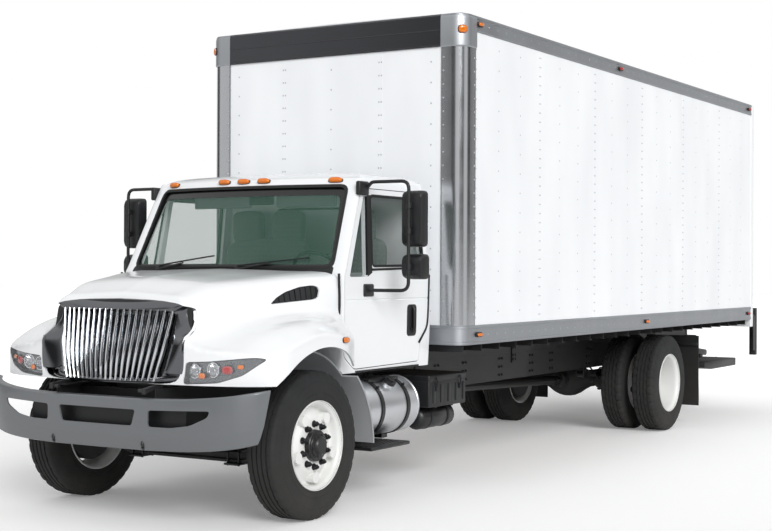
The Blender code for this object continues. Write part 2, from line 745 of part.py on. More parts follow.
MUFFLER_RADIUS = 0.130
MUFFLER_FRONT_Y = 1.650
MUFFLER_LENGTH = 1.000
MUFFLER_X = -0.700
MUFFLER_EDGE = 0.060
MUFFLER_END_SHARE = 0.6
MUFFLER_HANGER_SHARES = (0.20, 0.80)
STEP_BOX_DROP = 0.250
STEP_BOX_HEIGHT = 0.460
STEP_BOX_LENGTH = 0.690
# shares of the box's reach from the rail and of its height
STEP_BOX_SHARES = ((0, 0), (1, 0), (1, 0.065), (0.672, 0.130), (0.672, 0.500), (0.869, 0.500),
                   (0.869, 0.565),
                   (0.607, 0.630), (0.607, 1), (0, 1))


def right_side(truck):
    inner = RAIL_HALF + SEAT
    outline = placed(STEP_BOX_SHARES, (-inner, TANK_Z - STEP_BOX_DROP),
                     (inner - STEP_OUTER_X, STEP_BOX_HEIGHT))
    box = prism("steps", outline, "y", STEP_FRONT_Y, STEP_FRONT_Y + STEP_BOX_LENGTH)
    finish(box, "step_box_right", "#1b1c1e", 0.6, 0.2, truck)

    rear = MUFFLER_FRONT_Y + MUFFLER_LENGTH
    end = MUFFLER_RADIUS * MUFFLER_END_SHARE
    profile = ((0, MUFFLER_FRONT_Y), (end, MUFFLER_FRONT_Y),
               (MUFFLER_RADIUS, MUFFLER_FRONT_Y + MUFFLER_EDGE),
               (MUFFLER_RADIUS, rear - MUFFLER_EDGE), (end, rear), (0, rear))
    muffler = turned("muffler", profile, "y", (MUFFLER_X, 0, TANK_Z), SMALL_SEGMENTS)
    hangers = []
    for share in MUFFLER_HANGER_SHARES:
        place = MUFFLER_FRONT_Y + share * MUFFLER_LENGTH - STRAP_WIDTH / 2
        hangers.append(block("hanger", (MUFFLER_X, -inner), (place, place + STRAP_WIDTH),
                             (TANK_Z - STRAP_WIDTH, TANK_Z + STRAP_WIDTH)))
    fuse(muffler, *hangers)
    finish(muffler, "muffler", "#5c5b57", 0.5, 0.7, truck)


ARCH_Y = -0.035
ARCH_DROP = 0.077
ARCH_Z = TYRE_RADIUS - ARCH_DROP
LINER_RADIUS = 0.700
ARCH_MARGIN = 0.037
ARCH_RADIUS = LINER_RADIUS + ARCH_MARGIN
ARCH_SEGMENTS = 48
LINER_THICKNESS = 0.012
LINER_STEPS = 11
FLAP_STEPS = 5
LINER_X = (0.560, 0.985)
GUARD_OUTER_X = 1.110
GUARD_TOP = 0.025
GUARD_BOTTOM = 0.200
GUARD_BRACKET_DROP = 0.180
GUARD_BRACKET_HALF = 0.020
GUARD_BRACKET_DEPTH = 0.026


def splash_guards(truck):
    """A liner over each front wheel that runs down behind it and widens below the door."""
    start = math.degrees(math.asin((RAIL_TOP + GUARD_TOP - ARCH_Z) / LINER_RADIUS))
    end = math.degrees(math.asin((RAIL_BOTTOM - GUARD_BOTTOM - ARCH_Z) / LINER_RADIUS))
    centre = (ARCH_Y, ARCH_Z)
    outer_radius = LINER_RADIUS + LINER_THICKNESS
    bracket_z = RAIL_TOP - GUARD_BRACKET_DROP
    bracket_y = ARCH_Y + math.sqrt(LINER_RADIUS ** 2 - (bracket_z - ARCH_Z) ** 2) + SINK
    for side, word in SIDES:
        inner = arc(centre, LINER_RADIUS, 180 - start, end, LINER_STEPS)
        outer = arc(centre, outer_radius, end, 180 - start, LINER_STEPS)
        liner = prism("liner", inner + outer, "x", *span(side, *LINER_X))
        low_inner = arc(centre, LINER_RADIUS, start, end, FLAP_STEPS)
        low_outer = arc(centre, outer_radius, end, start, FLAP_STEPS)
        flap = prism("flap", low_inner + low_outer, "x", *span(side, LINER_X[1] - SINK, GUARD_OUTER_X))
        bracket = block("bracket", span(side, RAIL_HALF + SEAT, LINER_X[0] + SINK),
                        (bracket_y, bracket_y + GUARD_BRACKET_DEPTH),
                        (bracket_z - GUARD_BRACKET_HALF, bracket_z + GUARD_BRACKET_HALF))
        fuse(liner, flap, bracket)
        finish(liner, "splash_guard_" + word, "#6e7277", 0.5, 0.0, truck)


FLAP_BEHIND_AXLE = 0.758
FLAP_THICKNESS = 0.012
FLAP_INNER_X = 0.600
FLAP_EDGE = 0.020
FLAP_DROP = 0.450
FLAP_RISE = 0.060
FLAP_BAR_DEPTH = 0.020
FLAP_BAR_Z = (0.050, 0.010)


def mudflaps(truck):
    front = WHEELBASE + FLAP_BEHIND_AXLE
    outer_x = BODY_HALF - FLAP_EDGE
    for side, word in SIDES:
        flap = block("flap", span(side, FLAP_INNER_X, outer_x), (front, front + FLAP_THICKNESS),
                     (RAIL_BOTTOM - FLAP_DROP, RAIL_TOP + FLAP_RISE))
        bar = block("bar", span(side, RAIL_HALF + SEAT, outer_x), (front - FLAP_BAR_DEPTH, front + SINK),
                    [RAIL_TOP - drop for drop in FLAP_BAR_Z])
        fuse(flap, bar)
        finish(flap, "mudflap_" + word, "#161718", 0.8, 0.0, truck)


# Wheels

# shares of the height from bead to tread and of half the width
TYRE_SHARES = ((0, 0.931), (0.07, 0.931), (0.50, 1), (0.80, 0.975), (0.93, 0.88), (1, 0.74))


def tyre(name, centre, group):
    rise = TYRE_RADIUS - BEAD_RADIUS
    side = [(BEAD_RADIUS + rise * up, TYRE_WIDTH / 2 * out) for up, out in TYRE_SHARES]
    profile = side + [(radius, -along) for radius, along in reversed(side)]
    ring = turned(name, profile, "x", centre, WHEEL_SEGMENTS)
    return finish(ring, name, "#18191a", 0.85, 0.0, group)


def rim_edge(centre, sign):
    """Flange and bead seat at one end of a barrel, from the inside out."""
    edge = BEAD_SPREAD + SEAT
    return [(BARREL_RADIUS, centre + sign * (edge + FLANGE_WIDTH)),
            (FLANGE_RADIUS, centre + sign * (edge + FLANGE_WIDTH)),
            (FLANGE_RADIUS, centre + sign * edge), (BEAD_RADIUS - SEAT, centre + sign * edge)]


def front_wheel(side, word, group):
    """A wheel whose disc bulges out round its hub, with hand holes on the slope."""
    centre = FRONT_TRACK_HALF
    face = centre + FRONT_DISC_OFFSET
    edge = face - FRONT_DISC_DISH
    bore = bore_radius(SPINDLE_RADIUS, WHEEL_SEGMENTS)
    blind = centre + SPINDLE_REACH + DISC_THICKNESS
    back = centre - HUB_BACK
    inner = [(0, blind), (bore, blind), (bore, back), (HUB_RADIUS, back),
             (HUB_RADIUS, face - DISC_THICKNESS),
             (DISC_FACE_RADIUS, face - DISC_THICKNESS), (DISC_EDGE_RADIUS, edge - DISC_THICKNESS),
             (BARREL_RADIUS, edge - DISC_THICKNESS)]
    outer = [(BARREL_RADIUS, edge), (DISC_EDGE_RADIUS, edge), (DISC_FACE_RADIUS, face), (HUB_RADIUS, face),
             (HUB_RADIUS, face + HUB_PROUD), (HUB_CAP_RADIUS, face + HUB_PROUD),
             (HUB_CAP_RADIUS, face + HUB_PROUD + CAP_PROUD), (0, face + HUB_PROUD + CAP_PROUD)]
    edges = rim_edge(centre, -1) + list(reversed(rim_edge(centre, 1)))
    profile = [(radius, side * along) for radius, along in inner + edges + outer]
    rim = turned("rim", profile, "x", (0, 0, TYRE_RADIUS), WHEEL_SEGMENTS)
    holes = []
    for k in range(HAND_HOLES):
        angle = math.radians(-90 + 360 * k / HAND_HOLES)
        place = (0, HAND_HOLE_CIRCLE * math.cos(angle), TYRE_RADIUS + HAND_HOLE_CIRCLE * math.sin(angle))
        reach = span(side, edge - DISC_THICKNESS - SINK, face + SINK)
        holes.append(drum("hand hole", HAND_HOLE_RADIUS, "x", place, *reach, HAND_HOLE_SEGMENTS))
    cut(rim, *holes)
    finish(rim, "front_rim_" + word, "#e6e6e3", 0.35, 0.1, group)
    tyre("front_tyre_" + word, (side * centre, 0, TYRE_RADIUS), group)


def rear_wheels(side, word, group):
    """Twin wheels bolted disc to disc, so that the outer one is deep."""
    outer_centre, inner_centre = REAR_OUTER_HALF, REAR_INNER_HALF
    disc = (outer_centre + inner_centre) / 2
    bore = bore_radius(AXLE_TUBE_RADIUS, WHEEL_SEGMENTS)
    start = inner_centre - BEAD_SPREAD - FLANGE_WIDTH
    blind = disc + REAR_DISC_DISH
    profile = [(0, blind), (bore, blind), (bore, start), (HUB_RADIUS, start),
               (HUB_RADIUS, disc - DISC_THICKNESS),
               (DISC_FACE_RADIUS, disc - DISC_THICKNESS),
               (BARREL_RADIUS, disc - DISC_THICKNESS - REAR_DISC_DISH)]
    profile += rim_edge(inner_centre, -1) + list(reversed(rim_edge(inner_centre, 1)))
    profile += rim_edge(outer_centre, -1) + list(reversed(rim_edge(outer_centre, 1)))
    profile += [(BARREL_RADIUS, disc + DISC_THICKNESS + REAR_DISC_DISH),
                (DISC_FACE_RADIUS, disc + DISC_THICKNESS),
                (HUB_RADIUS, disc + DISC_THICKNESS), (HUB_RADIUS, disc + REAR_HUB_PROUD),
                (HUB_CAP_RADIUS, disc + REAR_HUB_PROUD + CAP_PROUD), (0, disc + REAR_HUB_PROUD + CAP_PROUD)]
    centre = (0, WHEELBASE, TYRE_RADIUS)
    rims = turned("rims", [(radius, side * along) for radius, along in profile], "x", centre, WHEEL_SEGMENTS)
    finish(rims, "rear_rims_" + word, "#e6e6e3", 0.35, 0.1, group)
    tyre("rear_tyre_outer_" + word, (side * outer_centre, WHEELBASE, TYRE_RADIUS), group)
    tyre("rear_tyre_inner_" + word, (side * inner_centre, WHEELBASE, TYRE_RADIUS), group)


def knuckle(side, word, group):
    """A yoke round the kingpin's two ends, with the spindle on its cheek."""
    gap = BEAM_HALF_HEIGHT + BOSS_PROUD + RUNNING
    reach = gap + KNUCKLE_EAR
    place = (side * KINGPIN_X, 0, TYRE_RADIUS)
    inner = KINGPIN_X + KINGPIN_BOSS_RADIUS + RUNNING
    cheek = block("cheek", span(side, inner, inner + KNUCKLE_CHEEK), (-KNUCKLE_HALF, KNUCKLE_HALF),
                  (TYRE_RADIUS - reach, TYRE_RADIUS + reach))
    yoke = []
    for low, high in ((gap, reach), (-reach, -gap)):
        yoke.append(pin("ear", KINGPIN_BOSS_RADIUS, "z", place, low, high))
        yoke.append(block("arm", span(side, KINGPIN_X, inner + SINK), (-KNUCKLE_HALF, KNUCKLE_HALF),
                          (TYRE_RADIUS + low + SINK / 2, TYRE_RADIUS + high - SINK / 2)))
    spindle = pin("spindle", SPINDLE_RADIUS, "x", (0, 0, TYRE_RADIUS),
                  *span(side, inner + SINK, FRONT_TRACK_HALF + SPINDLE_REACH))
    fuse(cheek, *yoke, spindle)
    cut(cheek, pin_hole(KINGPIN_RADIUS, "z", place, -reach - OVERRUN, -gap + SINK / 2),
        pin_hole(KINGPIN_RADIUS, "z", place, gap - SINK / 2, reach + OVERRUN))
    finish(cheek, "knuckle_" + word, "#2b2c2f", 0.55, 0.5, group)


# Cab

# columns: shares of the height, of the half width for the side and for the front corner, and of the
# length for the front's middle, the front's corner and the rear
CAB_SHARES = (
    (0.000, 0.985, 0.880, 0.052, 0.052, 1.000),
    (0.216, 1.000, 0.880, 0.052, 0.052, 1.000),
    (0.459, 1.000, 0.885, 0.015, 0.056, 1.000),
    (0.515, 0.995, 0.900, 0.000, 0.078, 1.000),
    (0.925, 0.932, 0.845, 0.204, 0.287, 0.993),
    (0.951, 0.917, 0.832, 0.230, 0.313, 0.987),
    (0.971, 0.893, 0.808, 0.264, 0.345, 0.976),
    (0.989, 0.838, 0.752, 0.322, 0.398, 0.945),
    (1.000, 0.735, 0.655, 0.393, 0.460, 0.896))
FRONT_BOW_SHARES = (0.3, 0.55, 0.75, 0.9)
FRONT_BOW_POWER = 2.3
CORNER_STEPS = 3

# shares of the cab's length and height
DOOR_SHARES = (
    (0.07852, 0.0834), (0.07852, 0.4590), (0.0993, 0.5076), (0.3096, 0.9145), (0.9259, 0.9145),
    (0.9526, 0.8866), (0.9526, 0.2114), (0.8607, 0.1252), (0.8607, 0.0243), (0.1852, 0.0153))
VENT_SHARES = ((0.1333, 0.5007), (0.3111, 0.5007), (0.3630, 0.8797), (0.3296, 0.8797))
PANE_SHARES = ((0.3556, 0.5216), (0.8963, 0.5285), (0.9037, 0.5494), (0.8963, 0.8693), (0.8852, 0.8797),
               (0.3926, 0.8797))
GLASS_SHARES = ((0.1333, 0.5007), (0.3333, 0.5007), (0.9037, 0.5216), (0.9037, 0.8797), (0.3296, 0.8797))
# shares of the cab's half width and height
WINDSHIELD_SHARES = ((0.855, 0.532), (0.800, 0.904))
REAR_WINDOW_SHARES = ((0.450, 0.584), (0.450, 0.848))
WINDSHIELD_REACH = 0.700
REAR_WINDOW_REACH = 0.150
ROOM_STEPS = 1
SHELL_STEPS = 3


def cab_side(shares):
    return placed(shares, (CAB_FRONT_Y, CAB_BOTTOM), (CAB_LENGTH, CAB_HEIGHT))


def cab_face(shares):
    return mirror_pairs(placed(shares, (0, CAB_BOTTOM), (CAB_HALF, CAB_HEIGHT)))


def cab_ring(shares, inset, steps):
    """The cab's plan at one height: a bowed front, round pillars, straight sides and a round rear."""
    height_share, side, corner_side, front, corner, rear = shares
    low = CAB_BOTTOM + CAB_FLOOR * inset / CAB_WALL
    high = CAB_BOTTOM + CAB_HEIGHT - CAB_ROOF * inset / CAB_WALL
    half, corner_half = CAB_HALF * side - inset, CAB_HALF * corner_side - inset
    front = CAB_FRONT_Y + CAB_LENGTH * front + inset
    corner = CAB_FRONT_Y + CAB_LENGTH * corner + inset
    rear = CAB_FRONT_Y + CAB_LENGTH * rear - inset
    right = [(0, front)]
    for share in FRONT_BOW_SHARES:
        right.append((corner_half * share, front + (corner - front) * share ** FRONT_BOW_POWER))
    for k in range(steps + 1):
        turn = math.radians(90 * k / steps)
        right.append((corner_half + (half - corner_half) * math.sin(turn),
                      corner + CORNER_RUN * (1 - math.cos(turn))))
    for x, y in arc((half - REAR_CORNER, rear - REAR_CORNER), REAR_CORNER, 0, 90, steps):
        right.append((x, y))
    right.append((0, rear))
    z = low + (high - low) * height_share
    return [(x, y, z) for x, y in mirrored(right)]


def cab_solid(name, inset, steps=CORNER_STEPS):
    """The cab's outer form drawn in by an inset; floor and roof keep their own thickness."""
    return loft(name, [cab_ring(shares, inset, steps) for shares in CAB_SHARES], smooth=30)


def door_reach(side):
    return span(side, CAB_HALF - DOOR_CUT_DEPTH, CAB_HALF + OVERRUN)


def cab_shell(truck):
    shell = cab_solid("cab", 0, SHELL_STEPS)
    room = cab_solid("cab room", CAB_WALL, ROOM_STEPS)
    windshield = prism("windshield opening", cab_face(WINDSHIELD_SHARES), "y", *windshield_reach())
    rear_window = prism("rear window opening", cab_face(REAR_WINDOW_SHARES), "y", *rear_window_reach())
    doors = [prism("door opening", cab_side(DOOR_SHARES), "x", *door_reach(side)) for side, word in SIDES]
    wheel_room = drum("wheel room", LINER_RADIUS + LINER_THICKNESS + RUNNING, "x", (0, ARCH_Y, ARCH_Z),
                      -BODY_HALF, BODY_HALF, ARCH_SEGMENTS)
    cut(shell, room, windshield, rear_window, wheel_room, *doors)
    mounts = []
    for side, word in SIDES:
        for share in CAB_MOUNT_SHARES:
            place = CAB_FRONT_Y + share * CAB_LENGTH
            mounts.append(block("cab mount", span(side, RAIL_HALF - RAIL_FLANGE, RAIL_HALF),
                                (place, place + CAB_MOUNT_LENGTH), (RAIL_TOP + SEAT, CAB_BOTTOM + SINK)))
    fuse(shell, *mounts)
    finish(shell, "cab_shell", "#f2f3f3", 0.3, 0.0, truck)


def windshield_reach():
    return CAB_FRONT_Y - OVERRUN, CAB_FRONT_Y + WINDSHIELD_REACH


def rear_window_reach():
    return CAB_REAR_Y - REAR_WINDOW_REACH, CAB_REAR_Y + OVERRUN


def glass_sheet(name, outline, axis, reach):
    """A curved pane that follows the cab's form at the depth of the glass."""
    pane = cab_solid(name, GLASS_DEPTH)
    hollow = cab_solid("glass hollow", GLASS_DEPTH + GLASS_THICKNESS)
    cut(pane, hollow)
    return keep(pane, prism("glass edge", outline, axis, *reach))


def windshield(truck):
    pane = glass_sheet("windshield", grown(cab_face(WINDSHIELD_SHARES), -SEAT), "y", windshield_reach())
    finish(pane, "windshield", "#9fb7ad", 0.05, 0.0, truck)


def rear_window(truck):
    pane = glass_sheet("rear window", grown(cab_face(REAR_WINDOW_SHARES), -SEAT), "y", rear_window_reach())
    finish(pane, "rear_window", "#9fb7ad", 0.05, 0.0, truck)


def door(side, word, group):
    reach = door_reach(side)
    panel = cab_solid("door", 0)
    room = cab_solid("door room", CAB_WALL, ROOM_STEPS)
    edge = prism("door edge", grown(cab_side(DOOR_SHARES), -RUNNING), "x", *reach)
    rabbet = keep(cab_solid("rabbet", GLASS_DEPTH - SEAT),
                  prism("rabbet edge", grown(cab_side(GLASS_SHARES), GLASS_RABBET), "x", *reach))
    vent = prism("vent opening", cab_side(VENT_SHARES), "x", *reach)
    pane = prism("window opening", cab_side(PANE_SHARES), "x", *reach)
    cut(panel, room)
    keep(panel, edge)
    cut(panel, rabbet, vent, pane)
    finish(panel, "door_" + word, "#f2f3f3", 0.3, 0.0, group)

    glass = glass_sheet("door glass", grown(cab_side(GLASS_SHARES), GLASS_RABBET - SEAT), "x", reach)
    finish(glass, "door_glass_" + word, "#9fb7ad", 0.05, 0.0, group)


MIRROR_ARM_RADIUS = 0.013
MIRROR_ARM_SIDES = 6
MIRROR_BEND = 0.040
MIRROR_X = CAB_HALF + 0.301
MIRROR_Y = CAB_FRONT_Y + 0.470
MIRROR_TOP_Z = CAB_BOTTOM + 1.355
MIRROR_FOOT_Z = CAB_BOTTOM + 0.580
MIRROR_ROOT = 0.085
MIRROR_ROOT_DROP = 0.095
MIRROR_ROOT_RUN = 0.020
MIRROR_FOOT_RUN = 0.070
HEAD_WIDTH = 0.170
HEAD_DEPTH = 0.100
HEAD_LEAD = 0.040
CLAMP_HALF = 0.020
CLAMP_RISE = 0.030
# shares of the arm's height for the foot and the top of each head
HEAD_SHARES = ((0.400, 0.916), (0.103, 0.335))
# shares of a head's width and depth
HEAD_OUTLINE_SHARES = ((0, 0.4), (0.12, 0), (0.88, 0), (1, 0.4), (1, 1), (0, 1))


def mirror(side, word, group):
    """A bent tube from the door's top to its foot, with two heads on its outer run."""
    root_y = MIRROR_Y - MIRROR_ROOT_RUN
    route = ((CAB_HALF - MIRROR_ROOT, root_y, MIRROR_TOP_Z - MIRROR_ROOT_DROP),
             (CAB_HALF, root_y, MIRROR_TOP_Z),
             (MIRROR_X - MIRROR_BEND, MIRROR_Y, MIRROR_TOP_Z),
             (MIRROR_X, MIRROR_Y, MIRROR_TOP_Z - MIRROR_BEND),
             (MIRROR_X, MIRROR_Y, MIRROR_FOOT_Z + MIRROR_BEND),
             (MIRROR_X - MIRROR_BEND, MIRROR_Y, MIRROR_FOOT_Z),
             (CAB_HALF - CAB_WALL / 2, MIRROR_Y - MIRROR_FOOT_RUN, MIRROR_FOOT_Z))
    arm = tube("arm", [(side * x, y, z) for x, y, z in route], MIRROR_ARM_RADIUS, MIRROR_ARM_SIDES)
    height = MIRROR_TOP_Z - MIRROR_FOOT_Z
    start = (MIRROR_X - HEAD_WIDTH / 2 - SINK, MIRROR_Y + HEAD_LEAD)
    heads = []
    for low_share, high_share in HEAD_SHARES:
        low, high = MIRROR_FOOT_Z + height * low_share, MIRROR_FOOT_Z + height * high_share
        outline = [(side * x, y) for x, y in placed(HEAD_OUTLINE_SHARES, start, (HEAD_WIDTH, HEAD_DEPTH))]
        heads.append(prism("head", outline, "z", low, high))
        middle = (low + high) / 2
        heads.append(block("clamp", span(side, MIRROR_X - CLAMP_HALF, MIRROR_X + CLAMP_HALF),
                           (MIRROR_Y, start[1] + SINK), (middle - CLAMP_RISE, middle + CLAMP_RISE)))
    fuse(arm, *heads)
    cut(arm, cab_solid("door face", -SEAT))
    finish(arm, "mirror_" + word, "#191a1b", 0.45, 0.0, group)


CAB_FLOOR_TOP = CAB_BOTTOM + CAB_FLOOR + SEAT
DASH_FRONT_Y = CAB_FRONT_Y + 0.165
DASH_DEPTH = 0.345
DASH_HEIGHT = 0.650
DASH_HALF = CAB_HALF - 0.115
# shares of the dashboard's depth and height
DASH_SHARES = ((0, 0), (0, 0.861), (0.029, 0.984), (0.536, 1), (0.942, 0.923), (1, 0.738), (0.826, 0.507),
               (0.362, 0.384), (0.130, 0))
STEERING_X = 0.450
STEERING_GAP = 0.125
STEERING_RISE = 0.620
STEERING_RADIUS = 0.225
STEERING_LEAN_DEG = 40
STEERING_SEGMENTS = 16
STEERING_SPOKES_DEG = (-90, 15, 165)
GRIP_RADIUS = 0.014
GRIP_SIDES = 5
SPOKE_RADIUS = 0.016
SPOKE_SIDES = 8
STEERING_HUB_RADIUS = 0.060
STEERING_HUB_DEPTH = 0.030
STEERING_HUB_PROUD = 0.015
COLUMN_RADIUS = 0.028
COLUMN_LENGTH = 0.240
CHAIR_FRONT_Y = 1.030
CHAIR_DEPTH = 0.570
CHAIR_HEIGHT = 1.130
DRIVER_X = (0.180, 0.700)
BENCH_X = (-0.820, -0.020)
# shares of a seat's depth and height
CHAIR_SHARES = ((0.088, 0), (0.088, 0.195), (0, 0.221), (0, 0.345), (0.649, 0.328), (0.737, 0.902),
                (0.789, 1),
                (0.930, 1), (1, 0.885), (0.930, 0.195), (0.860, 0))


def cab_inside(truck):
    lean = math.radians(STEERING_LEAN_DEG)
    centre = Vector((STEERING_X, DASH_FRONT_Y + DASH_DEPTH + STEERING_GAP, CAB_FLOOR_TOP + STEERING_RISE))
    normal = Vector((0, math.cos(lean), math.sin(lean)))
    rise = Vector((0, -math.sin(lean), math.cos(lean)))
    across = Vector((1, 0, 0))
    foot = centre - normal * COLUMN_LENGTH

    dash = placed(DASH_SHARES, (DASH_FRONT_Y, CAB_FLOOR_TOP), (DASH_DEPTH, DASH_HEIGHT))
    board = prism("dashboard", dash, "x", -DASH_HALF, DASH_HALF)
    cut(board, rod("column hole", foot - normal * SEAT, centre, COLUMN_RADIUS + SEAT, SMALL_SEGMENTS))
    finish(board, "dashboard", "#75797a", 0.7, 0.0, truck)

    rings = []
    for k in range(STEERING_SEGMENTS):
        angle = 2 * math.pi * k / STEERING_SEGMENTS
        out = across * math.cos(angle) + rise * math.sin(angle)
        turns = [2 * math.pi * m / GRIP_SIDES for m in range(GRIP_SIDES)]
        middle = centre + out * STEERING_RADIUS
        rings.append([middle + (out * math.cos(a) + normal * math.sin(a)) * GRIP_RADIUS for a in turns])
    rim = loft("steering rim", rings, closed=True, smooth=60)
    spokes = []
    for angle in STEERING_SPOKES_DEG:
        a = math.radians(angle)
        tip = centre + (across * math.cos(a) + rise * math.sin(a)) * (STEERING_RADIUS - SINK)
        spokes.append(rod("spoke", centre, tip, SPOKE_RADIUS, SPOKE_SIDES))
    hub = rod("hub", centre - normal * STEERING_HUB_DEPTH, centre + normal * STEERING_HUB_PROUD,
              STEERING_HUB_RADIUS, SMALL_SEGMENTS)
    column = rod("column", foot, centre, COLUMN_RADIUS, SMALL_SEGMENTS)
    fuse(rim, *spokes, hub, column)
    finish(rim, "steering_wheel", "#202224", 0.6, 0.0, truck)

    profile = placed(CHAIR_SHARES, (CHAIR_FRONT_Y, CAB_FLOOR_TOP), (CHAIR_DEPTH, CHAIR_HEIGHT))
    for name, xs in (("driver_seat", DRIVER_X), ("passenger_bench", BENCH_X)):
        finish(prism(name, profile, "x", *xs), name, "#6d7673", 0.9, 0.0, truck)


# Hood

# columns: share of the length, then the crown's height and, as half width and height, the shoulder,
# the crease over the fender and the fender's bulge, and the half width of the side
HOOD_SHARES = (
    (-0.149, 0.740, 0.430, 0.680, 0.512, 0.347, 0.785, 0.253, 0.967),
    (0.110, 0.773, 0.446, 0.707, 0.529, 0.373, 0.793, 0.280, 0.975),
    (0.322, 0.900, 0.529, 0.807, 0.620, 0.507, 0.851, 0.440, 0.992),
    (0.596, 0.947, 0.628, 0.867, 0.719, 0.587, 0.893, 0.533, 0.992),
    (0.831, 0.976, 0.727, 0.907, 0.793, 0.600, 0.893, 0.507, 0.975),
    (1.067, 1.000, 0.806, 0.933, 0.826, 0.600, 0.860, 0.440, 0.893))
# shares of the half width and length
HOOD_PLAN_SHARES = (
    (0, 0), (0.200, 0.006), (0.372, 0.021), (0.500, 0.035), (0.620, 0.054), (0.710, 0.076), (0.785, 0.102),
    (0.843, 0.130), (0.893, 0.161), (0.930, 0.192), (0.959, 0.226), (0.980, 0.265), (1, 0.330), (1, 1),
    (0.769, 1), (0.653, 0.976), (0.380, 0.945), (0, 0.935))
# shares of the length and height
HOOD_SIDE_SHARES = ((0, -0.040), (0.008, 0.227), (0.045, 0.450), (0.090, 0.667), (0.126, 0.787),
                    (0.184, 0.883),
                    (0.361, 1.107), (1.067, 1.293), (1.067, -0.040))
LOUVRE_SHARES = ((0.550, 0.671), (0.596, 0.731), (0.655, 0.781), (0.743, 0.825), (0.824, 0.840),
                 (0.856, 0.824),
                 (0.861, 0.787), (0.843, 0.723), (0.814, 0.709))
# shares of the half width and height
LAMP_SHARES = ((0.463, 0.007), (0.463, 0.187), (0.661, 0.207), (0.876, 0.243), (0.934, 0.233),
               (0.826, 0.093),
               (0.702, 0.027))
CROWN_EASE_SHARES = (0.6, 0.3)
HOOD_STEPS = 2
NOSE_DEPTH = 0.360
PLAN_LOW = 0.430


def hood_side(shares):
    return placed(shares, (HOOD_FRONT_Y, HOOD_BOTTOM), (HOOD_LENGTH, HOOD_HEIGHT))


def hood_ring(shares, inset, bottom, steps):
    """One section across the hood, from the crown over the shoulder and the fender to the skirt."""
    place, crown, shoulder_x, shoulder_z, crease_x, crease_z, bulge_x, bulge_z, side_x = shares
    ease_x, ease_z = CROWN_EASE_SHARES
    outline = ((0, crown), (shoulder_x * ease_x, crown - (crown - shoulder_z) * ease_z),
               (shoulder_x, shoulder_z),
               (crease_x, crease_z), (bulge_x, bulge_z), (side_x, bulge_z - HOOD_SKIRT / HOOD_HEIGHT))
    points = placed(outline, (0, HOOD_BOTTOM), (HOOD_HALF, HOOD_HEIGHT))
    curve = [tuple(point) for point in smooth_line(points, steps)]
    right = [(0, curve[0][1] - inset)]
    for before, point, after in zip(curve, curve[1:], curve[2:]):
        run = (Vector(after) - Vector(before)).normalized()
        right.append((point[0] + run.y * inset, point[1] - run.x * inset))
    right.append((curve[-1][0] - inset, curve[-1][1] - inset * ease_z))
    right += [(curve[-1][0] - inset, bottom), (0, bottom)]
    y = HOOD_FRONT_Y + HOOD_LENGTH * place
    return [(x, y, z) for x, z in mirrored(right)]


def hood_solid(name, inset, bottom, steps=HOOD_STEPS):
    """The hood's form: sections along it, trimmed by its plan and by its side view."""
    sections = [Vector(shares) for shares in HOOD_SHARES]
    rows = []
    for i, (b, c) in enumerate(zip(sections, sections[1:])):
        a = sections[i - 1] if i else b * 2 - c
        d = sections[i + 2] if i + 2 < len(sections) else c * 2 - b
        for k in range(steps):
            t = k / steps
            rows.append(0.5 * (2 * b + (c - a) * t + (2 * a - 5 * b + 4 * c - d) * t * t
                               + (3 * b - a - 3 * c + d) * t ** 3))
    rings = [hood_ring(row, inset, bottom, steps) for row in rows + [sections[-1]]]
    form = loft(name, rings, smooth=35)
    plan = grown(mirrored(placed(HOOD_PLAN_SHARES, (0, HOOD_FRONT_Y), (HOOD_HALF, HOOD_LENGTH))), -inset)
    profile = grown(hood_side(HOOD_SIDE_SHARES), -inset)
    if inset:
        plan = [(x, y + (OVERRUN * 3 if y > 0 else 0)) for x, y in plan]
        profile = [(y, z if share > 0 else z - OVERRUN * 3)
                   for (y, z), (place, share) in zip(profile, HOOD_SIDE_SHARES)]
    low, high = HOOD_BOTTOM - PLAN_LOW, HOOD_BOTTOM + HOOD_HEIGHT * 2
    wide = HOOD_HALF + OVERRUN
    return keep(form, prism(name + " plan", plan, "z", low, high),
                prism(name + " side", profile, "x", -wide, wide))


def nose_reach():
    return HOOD_FRONT_Y - OVERRUN * 3, HOOD_FRONT_Y + NOSE_DEPTH


def hood(group):
    """A thin shell, open below, with wheel arches, holes for grille and lamps, and louvre pockets."""
    form = hood_solid("hood", 0, HOOD_BOTTOM)
    room = hood_solid("hood room", HOOD_SKIN, HOOD_BOTTOM - OVERRUN, 1)
    arch = drum("arch", ARCH_RADIUS, "x", (0, ARCH_Y, ARCH_Z), -HOOD_HALF - OVERRUN, HOOD_HALF + OVERRUN,
                ARCH_SEGMENTS)
    grille_room = prism("grille room", grown(grille_outline(), SEAT), "y", HOOD_FRONT_Y - OVERRUN * 3,
                        HOOD_FRONT_Y + GRILLE_ROOM)
    lamps = [prism("lamp room", grown(lamp_outline(side), SEAT), "y", *nose_reach()) for side, word in SIDES]
    louvres = prism("louvre pocket", hood_side(LOUVRE_SHARES), "x", -HOOD_HALF, HOOD_HALF)
    cut(louvres, hood_solid("louvre floor", LOUVRE_DEPTH, HOOD_BOTTOM))
    cut(form, room, arch, grille_room, *lamps, louvres)
    fuse(form, *hood_hinge())
    finish(form, "hood", "#f2f3f3", 0.3, 0.0, group)


